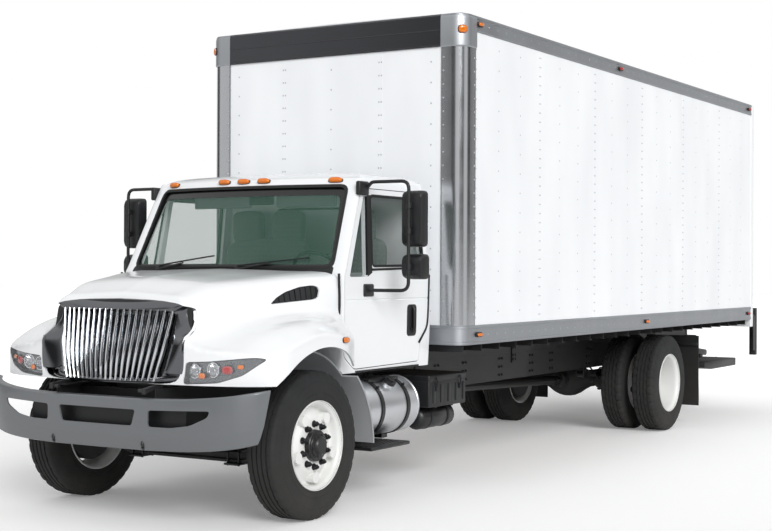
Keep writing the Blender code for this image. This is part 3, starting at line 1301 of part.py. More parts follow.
def hood_hinge():
    """A beam behind the grille, joined to the nose at both ends, with two ears that reach the pivot."""
    beam_z = (HOOD_PIVOT_Z + HINGE_BEAM_LIFT, HOOD_PIVOT_Z + HINGE_BEAM_LIFT + HINGE_BEAM_HEIGHT)
    beam_y = (HOOD_FRONT_Y + HINGE_BEAM_SETBACK, HOOD_FRONT_Y + HINGE_BEAM_SETBACK + HINGE_BEAM_DEPTH)
    strap_z = (HOOD_PIVOT_Z + HINGE_STRAP_LIFT, HOOD_PIVOT_Z + HINGE_STRAP_LIFT + HINGE_STRAP_HEIGHT)
    strap_y = HOOD_PIVOT_Y + HINGE_STRAP_RUN
    pieces = [block("hinge beam", (-HINGE_BEAM_X, HINGE_BEAM_X), beam_y, beam_z)]
    place = (0, HOOD_PIVOT_Y, HOOD_PIVOT_Z)
    tip = HOOD_PIVOT_Y - HINGE_EYE_HALF
    for side, word in SIDES:
        pieces.append(block("hinge post", span(side, HINGE_BEAM_X - HINGE_POST_WIDTH, HINGE_BEAM_X),
                            (HOOD_FRONT_Y + HINGE_POST_SETBACK, beam_y[1] - SINK), beam_z))
        xs = span(side, HINGE_ARM_X - RUNNING - HINGE_ARM_WIDTH, HINGE_ARM_X - RUNNING)
        outline = ((tip, HOOD_PIVOT_Z - HINGE_EYE_HALF), (tip, HOOD_PIVOT_Z + HINGE_EYE_HALF),
                   (strap_y, strap_z[1]), (beam_y[0] + SINK, strap_z[1]),
                   (beam_y[0] + SINK, beam_z[0] + SINK),
                   (beam_y[1] - SINK, beam_z[0] + SINK), (beam_y[1] - SINK, strap_z[0]),
                   (strap_y + HINGE_STRAP_HEIGHT, strap_z[0]),
                   (HOOD_PIVOT_Y + HINGE_EYE_HALF, HOOD_PIVOT_Z - HINGE_EYE_HALF))
        ear = prism("hinge ear", outline, "x", *xs)
        pieces.append(cut(ear, pin_hole(HINGE_PIN_RADIUS, "x", place, xs[0] - OVERRUN, xs[1] + OVERRUN)))
    return pieces


def lamp_outline(side):
    return placed(LAMP_SHARES, (0, HOOD_BOTTOM), (side * HOOD_HALF, HOOD_HEIGHT))


def headlamp(side, word, group):
    """A clear wedge that fills its pocket and follows the nose."""
    lamp = hood_solid("lamp", LAMP_GAP, HOOD_BOTTOM)
    back = hood_solid("lamp back", LAMP_DEPTH, HOOD_BOTTOM - OVERRUN, 1)
    cut(lamp, back)
    keep(lamp, prism("lamp edge", lamp_outline(side), "y", *nose_reach()))
    finish(lamp, "headlamp_" + word, "#c9ced2", 0.15, 0.2, group)


GRILLE_HALF = 0.596
GRILLE_LOW_Z = CAB_BOTTOM - 0.012
GRILLE_HEIGHT = 0.542
GRILLE_SETBACK = 0.056
GRILLE_LEAN = 0.069
GRILLE_BOW = 0.096
GRILLE_DEPTH = 0.075
GRILLE_ROOM = 0.260
OUTER_SETBACK = 0.030
INNER_SETBACK = 0.010
GRILLE_BARS = 19
BAR_WIDTH = 0.016
BAR_DEPTH = 0.045
# columns: height share, half width share and a bar's bulge as a share of its width
BAR_SHARES = ((0.031, 0.629, 0), (0.200, 0.673, 0.55), (0.373, 0.713, 0.75), (0.620, 0.749, 0.45),
              (0.880, 0.780, 0))
# columns: shares of the half width and height for the outer edge, then for the inner edge
GRILLE_SHARES = (
    (0, 1, 0, 0.871), (0.503, 0.985, 0.453, 0.864), (0.760, 0.960, 0.660, 0.857),
    (0.872, 0.937, 0.738, 0.849),
    (0.955, 0.908, 0.790, 0.832), (1, 0.862, 0.819, 0.797), (0.990, 0.686, 0.809, 0.668),
    (0.914, 0.410, 0.763, 0.391), (0.839, 0.133, 0.713, 0.133), (0.738, 0.022, 0.671, 0.081),
    (0.419, 0.004, 0.403, 0.059), (0, 0, 0, 0.055))


def grille_place(x_share, z_share):
    return x_share * GRILLE_HALF, GRILLE_LOW_Z + z_share * GRILLE_HEIGHT


def grille_outline():
    return mirrored([grille_place(x, z) for x, z, inner_x, inner_z in GRILLE_SHARES])


def grille_face(x_share, z_share):
    """The grille's face leans back towards its top and bows forward at the middle."""
    return HOOD_FRONT_Y + GRILLE_SETBACK - GRILLE_LEAN * (1 - z_share) + GRILLE_BOW * x_share ** 2


def grille_ring(outer_x, outer_z, inner_x, inner_z):
    """The surround's section at one place: it slopes in from its outer to its inner edge."""
    outer_face = grille_face(outer_x, outer_z) + OUTER_SETBACK
    inner_face = grille_face(inner_x, inner_z) + INNER_SETBACK
    (x, z), (near_x, near_z) = grille_place(outer_x, outer_z), grille_place(inner_x, inner_z)
    return [(x, outer_face + GRILLE_DEPTH, z), (x, outer_face, z), (near_x, inner_face, near_z),
            (near_x, inner_face + GRILLE_DEPTH, near_z)]


def grille(group):
    """The surround, and its upright bars fanned out towards the top and bulging at mid height."""
    left = [(-a, b, -c, d) for a, b, c, d in reversed(GRILLE_SHARES[1:-1])]
    surround = loft("surround", [grille_ring(*row) for row in list(GRILLE_SHARES) + left], closed=True)
    bars = []
    for k in range(GRILLE_BARS):
        share = k / (GRILLE_BARS - 1) * 2 - 1
        sections = []
        for z_share, half_share, bulge in BAR_SHARES:
            x, z = grille_place(share * half_share, z_share)
            face = grille_face(share * half_share, z_share) - BAR_WIDTH * bulge
            back = face + BAR_DEPTH
            sections.append([(x - BAR_WIDTH / 2, back, z), (x, face, z), (x + BAR_WIDTH / 2, back, z)])
        bars.append(loft("bar", sections))
    fuse(surround, *bars)
    finish(surround, "grille", "#a7abae", 0.15, 1.0, group)


# Van body

def box_floor(truck):
    """The deck with its cross sills and the two long sills that lie on the rails."""
    front = BODY_FRONT_Y + BODY_WALL + SEAT
    rear = BODY_SIDE_END_Y
    half = BODY_HALF - BODY_WALL - SEAT
    deck = block("deck", (-half, half), (front, rear), (DECK_TOP - DECK_THICKNESS, DECK_TOP))
    first, last = front + CROSS_SILL_INSET, rear - CROSS_SILL_INSET - CROSS_SILL_WIDTH
    pieces = []
    for k in range(CROSS_SILLS):
        place = first + (last - first) * k / (CROSS_SILLS - 1)
        pieces.append(block("cross sill", (-half, half), (place, place + CROSS_SILL_WIDTH),
                            (SILL_TOP - SINK, DECK_TOP - DECK_THICKNESS + SINK)))
    for side, word in SIDES:
        pieces.append(block("long sill", span(side, RAIL_HALF - RAIL_FLANGE, RAIL_HALF),
                            (front + CROSS_SILL_INSET / 2, rear - CROSS_SILL_INSET / 2),
                            (RAIL_TOP + SEAT, SILL_TOP)))
    fuse(deck, *pieces)
    finish(deck, "box_floor", "#6b5a48", 0.7, 0.0, truck)


def u_frame(name, low, high):
    """A rail along the front and both sides, open at the rear."""
    inner = BODY_HALF - BODY_WALL
    front, rear = BODY_FRONT_Y, BODY_SIDE_END_Y
    outline = ((BODY_HALF, front), (BODY_HALF, rear), (inner, rear), (inner, front + BODY_WALL),
               (-inner, front + BODY_WALL), (-inner, rear), (-BODY_HALF, rear), (-BODY_HALF, front))
    return prism(name, outline, "z", low, high)


def bottom_rail(truck):
    rail = u_frame("bottom rail", RAIL_LOW_Z, RAIL_HIGH_Z)
    finish(rail, "bottom_rail", "#8b9096", 0.4, 0.8, truck)


def side_walls(truck):
    for side, word in SIDES:
        wall = block("wall", span(side, BODY_HALF - BODY_WALL, BODY_HALF - PANEL_RECESS),
                     (BODY_FRONT_Y + POST_REACH + SEAT, BODY_SIDE_END_Y),
                     (RAIL_HIGH_Z + SEAT, ROOF_RAIL_LOW_Z - SEAT))
        finish(wall, "side_wall_" + word, "#f4f5f6", 0.35, 0.0, truck)


def front_wall(truck):
    half = BODY_HALF - POST_REACH - SEAT
    wall = block("wall", (-half, half), (BODY_FRONT_Y + PANEL_RECESS, BODY_FRONT_Y + BODY_WALL),
                 (RAIL_HIGH_Z + SEAT, FRONT_RAIL_LOW_Z - SEAT))
    finish(wall, "front_wall", "#f4f5f6", 0.35, 0.0, truck)


def corner_centre():
    return BODY_HALF - POST_RADIUS, BODY_FRONT_Y + POST_RADIUS


def corner_wrap():
    """Outer and inner edge of the body's rounded front corner, from the front round to the side."""
    outer = arc(corner_centre(), POST_RADIUS, -90, 0, POST_STEPS) + [(BODY_HALF, BODY_FRONT_Y + POST_REACH)]
    inner = [(BODY_HALF - BODY_WALL, BODY_FRONT_Y + POST_REACH)]
    return outer, inner + arc(corner_centre(), POST_RADIUS - BODY_WALL, 0, -90, POST_STEPS)


def corner_posts(truck):
    outer, inner = corner_wrap()
    right = [(BODY_HALF - POST_REACH, BODY_FRONT_Y)] + outer + inner
    right.append((BODY_HALF - POST_REACH, BODY_FRONT_Y + BODY_WALL))
    for side, word in SIDES:
        post = prism("post", [(side * x, y) for x, y in right], "z", RAIL_HIGH_Z + SEAT,
                     FRONT_RAIL_LOW_Z - SEAT)
        finish(post, "corner_post_" + word, "#b4b8bc", 0.2, 1.0, truck)


def top_rail(truck):
    """Rails round the roof's edge, deeper at the front, where each corner has its cap."""
    rail = u_frame("top rail", ROOF_RAIL_LOW_Z, ROOF_RAIL_TOP_Z)
    outer, inner = corner_wrap()
    right = [(0, BODY_FRONT_Y)] + outer + inner + [(0, BODY_FRONT_Y + BODY_WALL)]
    front = prism("front rail", mirrored(right), "z", FRONT_RAIL_LOW_Z, ROOF_RAIL_TOP_Z - SINK)
    corners = []
    for side, word in SIDES:
        x, y = corner_centre()
        corner = [(BODY_HALF + OVERRUN, BODY_FRONT_Y - OVERRUN), (BODY_HALF + OVERRUN, y)]
        corner += arc((x, y), POST_RADIUS, 0, -90, POST_STEPS) + [(x, BODY_FRONT_Y - OVERRUN)]
        corners.append(prism("corner", [(side * a, b) for a, b in corner], "z", ROOF_RAIL_LOW_Z - OVERRUN,
                             ROOF_RAIL_TOP_Z + OVERRUN))
    cut(rail, *corners)
    fuse(rail, front)
    finish(rail, "top_rail", "#8b9096", 0.35, 0.9, truck)


def roof_panel(truck):
    """The crowned roof, rounded in plan where it meets the corner caps."""
    half = BODY_HALF - BODY_WALL - SEAT
    front = BODY_FRONT_Y + BODY_WALL + SEAT
    shares = (1.0, 0.6, 0.0, -0.6, -1.0)
    top = [(half * s, ROOF_RAIL_TOP_Z + ROOF_CROWN * (1 - s * s)) for s in shares]
    bottom = [(x, z - BODY_WALL) for x, z in reversed(top)]
    panel = prism("roof", top + bottom, "y", front - OVERRUN, BODY_SIDE_END_Y)
    rounding = arc(corner_centre(), POST_RADIUS - BODY_WALL - SEAT, -90, 0, POST_STEPS)
    plan = [(0, front)] + rounding + [(half, BODY_REAR_Y), (0, BODY_REAR_Y)]
    keep(panel, prism("roof plan", mirrored(plan), "z", ROOF_RAIL_LOW_Z, ROOF_RAIL_TOP_Z + OVERRUN))
    finish(panel, "roof_panel", "#eceeef", 0.4, 0.0, truck)


def rear_frame(truck):
    front = BODY_REAR_Y - REAR_FRAME_DEPTH
    header = ROOF_RAIL_TOP_Z - REAR_HEADER_HEIGHT
    frame = block("rear frame", (-BODY_HALF, BODY_HALF), (front, BODY_REAR_Y),
                  (DECK_TOP - REAR_SILL_DROP, ROOF_RAIL_TOP_Z))
    doorway = block("doorway", (REAR_POST_WIDTH - BODY_HALF, BODY_HALF - REAR_POST_WIDTH),
                    (front - OVERRUN, BODY_REAR_Y + OVERRUN), (DECK_TOP, header))
    cut(frame, doorway)
    finish(frame, "rear_frame", "#eceeef", 0.35, 0.1, truck)

    half = BODY_HALF - REAR_POST_WIDTH - SEAT
    door_y = BODY_REAR_Y - REAR_DOOR_RECESS
    panel = block("rear door", (-half, half), (door_y - REAR_DOOR_THICKNESS, door_y),
                  (DECK_TOP + SEAT, header - SEAT))
    finish(panel, "rear_door", "#f0f1f2", 0.4, 0.0, truck)


# Liftgate

LIFT_PIVOT_Y = BODY_REAR_Y - 0.536
LIFT_PIVOT_Z = RAIL_BOTTOM + 0.090
LIFT_TIP_Y = BODY_REAR_Y + 0.234
LIFT_TIP_Z = RAIL_BOTTOM + 0.010
LIFT_ARM_X = (RAIL_HALF + 0.090, RAIL_HALF + 0.130)
LIFT_ARM_HALF = 0.035
LIFT_PIN_RADIUS = 0.020
LIFT_PIN_PROUD = 0.020
LIFT_PLATE_THICKNESS = 0.025
LIFT_PLATE_LEAD = 0.080
LIFT_BEAM_HALF = RAIL_HALF + 0.070
LIFT_BEAM_DEPTH = 0.195
LIFT_BEAM_Z = (RAIL_BOTTOM + 0.010, RAIL_TOP - 0.020)
LIFT_BEAM_EDGE = 0.010
UPRIGHT_X = (RAIL_HALF - 0.130, RAIL_HALF - 0.050)
DOCK_THICKNESS = 0.080
DOCK_EDGE = 0.010
COLUMN_X = (BODY_HALF - 0.140, BODY_HALF - 0.060)
COLUMN_DEPTH = 0.060
COLUMN_DROP = 0.007
COLUMN_RISE = 0.077
PLATFORM_HALF = BODY_HALF - 0.270
PLATFORM_Y = (LIFT_TIP_Y - 1.190, LIFT_TIP_Y - 0.050)
PLATFORM_Z = (LIFT_TIP_Z - 0.140, LIFT_TIP_Z - 0.045)
PLATFORM_TAPER = 0.030
PLATFORM_TAPER_RUN = 0.240
EAR_X = (LIFT_ARM_X[0] - 0.050, LIFT_ARM_X[0] - 0.008)
EAR_HALF = 0.035
EAR_ROOT = 0.040
EAR_RISE = 0.010


def liftgate_frame(truck):
    """The cross beam behind the rails, with the arms' pins, the dock plate and its two columns."""
    front = RAIL_REAR_Y + SEAT
    rear = front + LIFT_BEAM_DEPTH
    dock = (BODY_REAR_Y + SEAT, REAR_END_Y - DOCK_EDGE)
    beam = block("beam", (-LIFT_BEAM_HALF, LIFT_BEAM_HALF), (front, rear), LIFT_BEAM_Z)
    pieces = []
    for side, word in SIDES:
        pieces.append(block("plate", span(side, RAIL_HALF + SEAT, RAIL_HALF + LIFT_PLATE_THICKNESS),
                            (LIFT_PIVOT_Y - LIFT_PLATE_LEAD, front + SINK),
                            (LIFT_BEAM_Z[0] + LIFT_BEAM_EDGE, LIFT_BEAM_Z[1] - LIFT_BEAM_EDGE)))
        pieces.append(pin("pin", LIFT_PIN_RADIUS, "x", (0, LIFT_PIVOT_Y, LIFT_PIVOT_Z),
                          *span(side, RAIL_HALF + LIFT_PLATE_THICKNESS - SINK,
                                LIFT_ARM_X[1] + LIFT_PIN_PROUD)))
        pieces.append(block("upright", span(side, *UPRIGHT_X), (dock[0], rear - SINK),
                            (LIFT_BEAM_Z[1] - SINK, DECK_TOP - DOCK_THICKNESS + SINK)))
        pieces.append(block("column", span(side, *COLUMN_X), (REAR_END_Y - COLUMN_DEPTH, REAR_END_Y),
                            (RAIL_BOTTOM - COLUMN_DROP, DECK_TOP + COLUMN_RISE)))
    reach = COLUMN_X[1] - DOCK_EDGE
    pieces.append(block("dock", (-reach, reach), dock, (DECK_TOP - DOCK_THICKNESS, DECK_TOP)))
    fuse(beam, *pieces)
    finish(beam, "liftgate_frame", "#1e1f21", 0.55, 0.4, truck)


def liftgate_arms(group):
    pieces = []
    for side, word in SIDES:
        xs = span(side, *LIFT_ARM_X)
        outline = ((LIFT_PIVOT_Y - LIFT_ARM_HALF, LIFT_PIVOT_Z - LIFT_ARM_HALF),
                   (LIFT_PIVOT_Y - LIFT_ARM_HALF, LIFT_PIVOT_Z + LIFT_ARM_HALF),
                   (LIFT_TIP_Y + LIFT_ARM_HALF, LIFT_TIP_Z + LIFT_ARM_HALF),
                   (LIFT_TIP_Y + LIFT_ARM_HALF, LIFT_TIP_Z - LIFT_ARM_HALF))
        arm = prism("arm", outline, "x", *xs)
        hole = pin_hole(LIFT_PIN_RADIUS, "x", (0, LIFT_PIVOT_Y, LIFT_PIVOT_Z), xs[0] - OVERRUN,
                        xs[1] + OVERRUN)
        pieces.append(cut(arm, hole))
    reach = LIFT_ARM_X[0] + SINK
    bar = pin("tip bar", LIFT_PIN_RADIUS, "x", (0, LIFT_TIP_Y, LIFT_TIP_Z), -reach, reach)
    fuse(bar, *pieces)
    finish(bar, "liftgate_arms", "#1e1f21", 0.55, 0.4, group)


def liftgate_platform(group):
    """The leaf, folded under the body and thinner at its free end, with two ears on the arms' bar."""
    front, rear = PLATFORM_Y
    low, high = PLATFORM_Z
    profile = ((front, low + PLATFORM_TAPER), (front, high), (rear, high), (rear, low),
               (front + PLATFORM_TAPER_RUN, low))
    leaf = prism("leaf", profile, "x", -PLATFORM_HALF, PLATFORM_HALF)
    ears = []
    for side, word in SIDES:
        xs = span(side, *EAR_X)
        outline = ((rear - EAR_ROOT, low + EAR_RISE), (rear - EAR_ROOT, high + EAR_RISE),
                   (LIFT_TIP_Y - EAR_HALF, LIFT_TIP_Z + EAR_HALF),
                   (LIFT_TIP_Y + EAR_HALF, LIFT_TIP_Z + EAR_HALF),
                   (LIFT_TIP_Y + EAR_HALF, LIFT_TIP_Z - EAR_HALF), (rear + EAR_ROOT / 2, low + EAR_RISE))
        ear = prism("ear", outline, "x", *xs)
        hole = pin_hole(LIFT_PIN_RADIUS, "x", (0, LIFT_TIP_Y, LIFT_TIP_Z), xs[0] - OVERRUN, xs[1] + OVERRUN)
        ears.append(cut(ear, hole))
    fuse(leaf, *ears)
    finish(leaf, "liftgate_platform", "#232427", 0.5, 0.5, group)


def build():
    clear_scene()
    truck = pivot("truck", (0, FRONT_AXLE_Y, 0))
    for make in (frame_rails, front_bumper, front_axle, rear_axle, driveline, fuel_tank, tank_steps,
                 battery_box,
                 right_side, splash_guards, mudflaps, cab_shell, windshield, rear_window, cab_inside):
        make(truck)
    for side, word in SIDES:
        steer = pivot("steer_" + word, (side * KINGPIN_X, 0, TYRE_RADIUS), truck)
        knuckle(side, word, steer)
        roll = pivot("front_roll_" + word, (side * FRONT_TRACK_HALF, 0, TYRE_RADIUS), steer)
        front_wheel(side, word, roll)
        rear_roll = pivot("rear_roll_" + word, (side * REAR_OUTER_HALF, WHEELBASE, TYRE_RADIUS), truck)
        rear_wheels(side, word, rear_roll)
        hinge_y = CAB_FRONT_Y + DOOR_SHARES[0][0] * CAB_LENGTH - DOOR_HINGE_LEAD
        hinge = pivot("door_hinge_" + word, (side * CAB_HALF, hinge_y, CAB_BOTTOM), truck)
        door(side, word, hinge)
        mirror(side, word, hinge)
    tilt = pivot("hood_hinge", (0, HOOD_PIVOT_Y, HOOD_PIVOT_Z), truck)
    hood(tilt)
    grille(tilt)
    for side, word in SIDES:
        headlamp(side, word, tilt)
    for make in (box_floor, bottom_rail, side_walls, front_wall, corner_posts, top_rail, roof_panel,
                 rear_frame,
                 liftgate_frame):
        make(truck)
    lift = pivot("lift_pivot", (0, LIFT_PIVOT_Y, LIFT_PIVOT_Z), truck)
    liftgate_arms(lift)
    level = pivot("platform_pivot", (0, LIFT_TIP_Y, LIFT_TIP_Z), lift)
    liftgate_platform(level)


build()
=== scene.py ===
"""Looks of the box truck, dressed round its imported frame.

Metres, +Z up, the front towards -Y and the driver's side at +X. Meshes are written with y
counted from the front axle, and piece() moves them into the frame.
"""
import math

import bmesh
import bpy
from mathutils import Matrix, Vector
from mathutils.bvhtree import BVHTree


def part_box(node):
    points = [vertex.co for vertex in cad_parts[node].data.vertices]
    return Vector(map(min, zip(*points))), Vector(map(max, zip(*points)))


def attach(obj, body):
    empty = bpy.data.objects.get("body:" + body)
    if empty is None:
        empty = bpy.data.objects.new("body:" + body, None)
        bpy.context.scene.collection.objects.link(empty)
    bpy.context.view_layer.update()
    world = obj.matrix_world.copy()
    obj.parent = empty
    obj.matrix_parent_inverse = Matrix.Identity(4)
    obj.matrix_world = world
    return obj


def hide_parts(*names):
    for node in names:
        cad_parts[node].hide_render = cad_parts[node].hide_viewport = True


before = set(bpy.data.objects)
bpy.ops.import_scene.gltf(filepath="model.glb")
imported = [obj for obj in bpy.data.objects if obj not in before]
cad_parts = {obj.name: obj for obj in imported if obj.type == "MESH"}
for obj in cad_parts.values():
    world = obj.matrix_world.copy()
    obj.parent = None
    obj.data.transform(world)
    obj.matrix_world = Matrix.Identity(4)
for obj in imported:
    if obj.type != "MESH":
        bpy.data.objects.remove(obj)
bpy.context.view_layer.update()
tyre_low, tyre_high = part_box("front_tyre_left")
AXLE_Y = (tyre_low.y + tyre_high.y) / 2
rear_low, rear_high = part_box("rear_tyre_outer_left")
WHEELBASE = (rear_low.y + rear_high.y) / 2 - AXLE_Y
TYRE_RADIUS = tyre_high.z / 2
AXIS_POINTS = {"x": (1, 2, 0), "y": (0, 2, 1), "z": (0, 1, 2)}
SIDES = ((1, "left"), (-1, "right"))
MATERIALS = {}


# Materials

def colour(code):
    """A sRGB hex value as a linear colour."""
    levels = [int(code[i:i + 2], 16) / 255 for i in (1, 3, 5)]
    return [v / 12.92 if v <= 0.04045 else ((v + 0.055) / 1.055) ** 2.4 for v in levels] + [1.0]


def add(tree, kind, sockets=None, **settings):
    """Add a node; a socket takes a value, or a (node, output) pair to link."""
    node = tree.nodes.new(kind)
    for key, value in settings.items():
        setattr(node, key, value)
    for socket, value in (sockets or {}).items():
        if isinstance(value, tuple) and isinstance(value[0], bpy.types.Node):
            tree.links.new(value[0].outputs[value[1]], node.inputs[socket])
        else:
            node.inputs[socket].default_value = value
    return node


def start(name, code, roughness, metallic=0.0, **sockets):
    """A new material with its shader's own values; returns its tree and shader."""
    material = bpy.data.materials.new(name)
    material.use_nodes = True
    MATERIALS[name] = material
    shader = material.node_tree.nodes["Principled BSDF"]
    shader.inputs["Base Color"].default_value = colour(code)
    shader.inputs["Roughness"].default_value = roughness
    shader.inputs["Metallic"].default_value = metallic
    for key, value in sockets.items():
        shader.inputs[key.replace("_", " ")].default_value = value
    return material.node_tree, shader


def grain(tree, size_mm, stretch=(1, 1, 1), detail=2.0):
    """A noise whose grains are size_mm across, drawn out along an axis where stretch is small."""
    place = add(tree, "ShaderNodeTexCoord")
    scaled = add(tree, "ShaderNodeMapping", {"Vector": (place, "Object"), "Scale": stretch})
    return add(tree, "ShaderNodeTexNoise",
               {"Vector": (scaled, "Vector"), "Scale": 1000 / size_mm, "Detail": detail, "Roughness": 0.55})


def tint(tree, shader, low, high, pattern, start_at=0.3, end_at=0.7):
    """Colour from low to high by a pattern between two of its levels."""
    ramp = add(tree, "ShaderNodeMapRange",
               {"Value": pattern, "From Min": start_at, "From Max": end_at}, clamp=True)
    mix = add(tree, "ShaderNodeMix", {"Factor": (ramp, "Result"), 6: colour(low), 7: colour(high)},
              data_type="RGBA")
    tree.links.new(mix.outputs[2], shader.inputs["Base Color"])
    return mix


def film(tree, shader, dust, top_z, share=0.5, size_mm=180):
    """Road dust that fades in from top_z down to the ground, in patches."""
    place = add(tree, "ShaderNodeTexCoord")
    height = add(tree, "ShaderNodeSeparateXYZ", {"Vector": (place, "Object")})
    fade = add(tree, "ShaderNodeMapRange", {"Value": (height, "Z"), "From Min": top_z, "From Max": 0.0,
                                            "To Max": share}, clamp=True)
    patches = grain(tree, size_mm, detail=5.0)
    amount = add(tree, "ShaderNodeMath", {0: (fade, "Result"), 1: (patches, "Fac")}, operation="MULTIPLY")
    socket = shader.inputs["Base Color"]
    mix = add(tree, "ShaderNodeMix",
              {"Factor": (amount, "Value"), 6: socket.default_value[:], 7: colour(dust)},
              data_type="RGBA")
    if socket.links:
        tree.links.new(socket.links[0].from_socket, mix.inputs[6])
    tree.links.new(mix.outputs[2], socket)


def wear(tree, shader, pattern, low, high):
    """Roughness that wanders from low to high with a pattern."""
    spread = add(tree, "ShaderNodeMapRange", {"Value": pattern, "To Min": low, "To Max": high}, clamp=True)
    tree.links.new(spread.outputs["Result"], shader.inputs["Roughness"])


def relief(tree, shader, pattern, depth_mm, strength=1.0):
    """Bump that is depth_mm high."""
    bump = add(tree, "ShaderNodeBump",
               {"Height": pattern, "Distance": depth_mm / 1000, "Strength": strength})
    tree.links.new(bump.outputs["Normal"], shader.inputs["Normal"])


def paint(name, code, roughness, peel_mm=3.0, coat=0.5, dust=None, dust_top=1.2, share=0.5):
    """Sprayed enamel: even colour, a clear gloss over it and a faint orange peel."""
    tree, shader = start(name, code, roughness, Coat_Weight=coat, Coat_Roughness=0.06)
    peel = grain(tree, peel_mm, detail=1.0)
    relief(tree, shader, (peel, "Fac"), 0.05, 0.25)
    broad = grain(tree, 700, detail=3.0)
    wear(tree, shader, (broad, "Fac"), roughness * 0.8, roughness * 1.25)
    if dust:
        film(tree, shader, dust, dust_top, share)


def bare_metal(name, code, roughness, stretch, lines_mm=1.6, depth_mm=0.04, spots=None):
    """Drawn or brushed metal: fine lines along one way, and a slow change of gloss."""
    tree, shader = start(name, code, roughness, 1.0)
    lines = grain(tree, lines_mm, stretch, 1.0)
    relief(tree, shader, (lines, "Fac"), depth_mm, 0.35)
    broad = grain(tree, 260, detail=4.0)
    wear(tree, shader, (broad, "Fac"), roughness * 0.7, roughness * 1.5)
    if spots:
        tint(tree, shader, code, spots, (broad, "Fac"), 0.45, 0.75)


def moulded(name, code, roughness, pebble_mm=2.0, depth_mm=0.12, dust=None, dust_top=1.1, share=0.5,
            coat=0.0):
    """Moulded plastic or rubber: a pebbled skin without gloss."""
    tree, shader = start(name, code, roughness, Coat_Weight=coat)
    pebbles = grain(tree, pebble_mm, detail=1.5)
    relief(tree, shader, (pebbles, "Fac"), depth_mm, 0.4)
    broad = grain(tree, 150, detail=3.0)
    wear(tree, shader, (broad, "Fac"), roughness * 0.85, min(roughness * 1.15, 1.0))
    if dust:
        film(tree, shader, dust, dust_top, share)


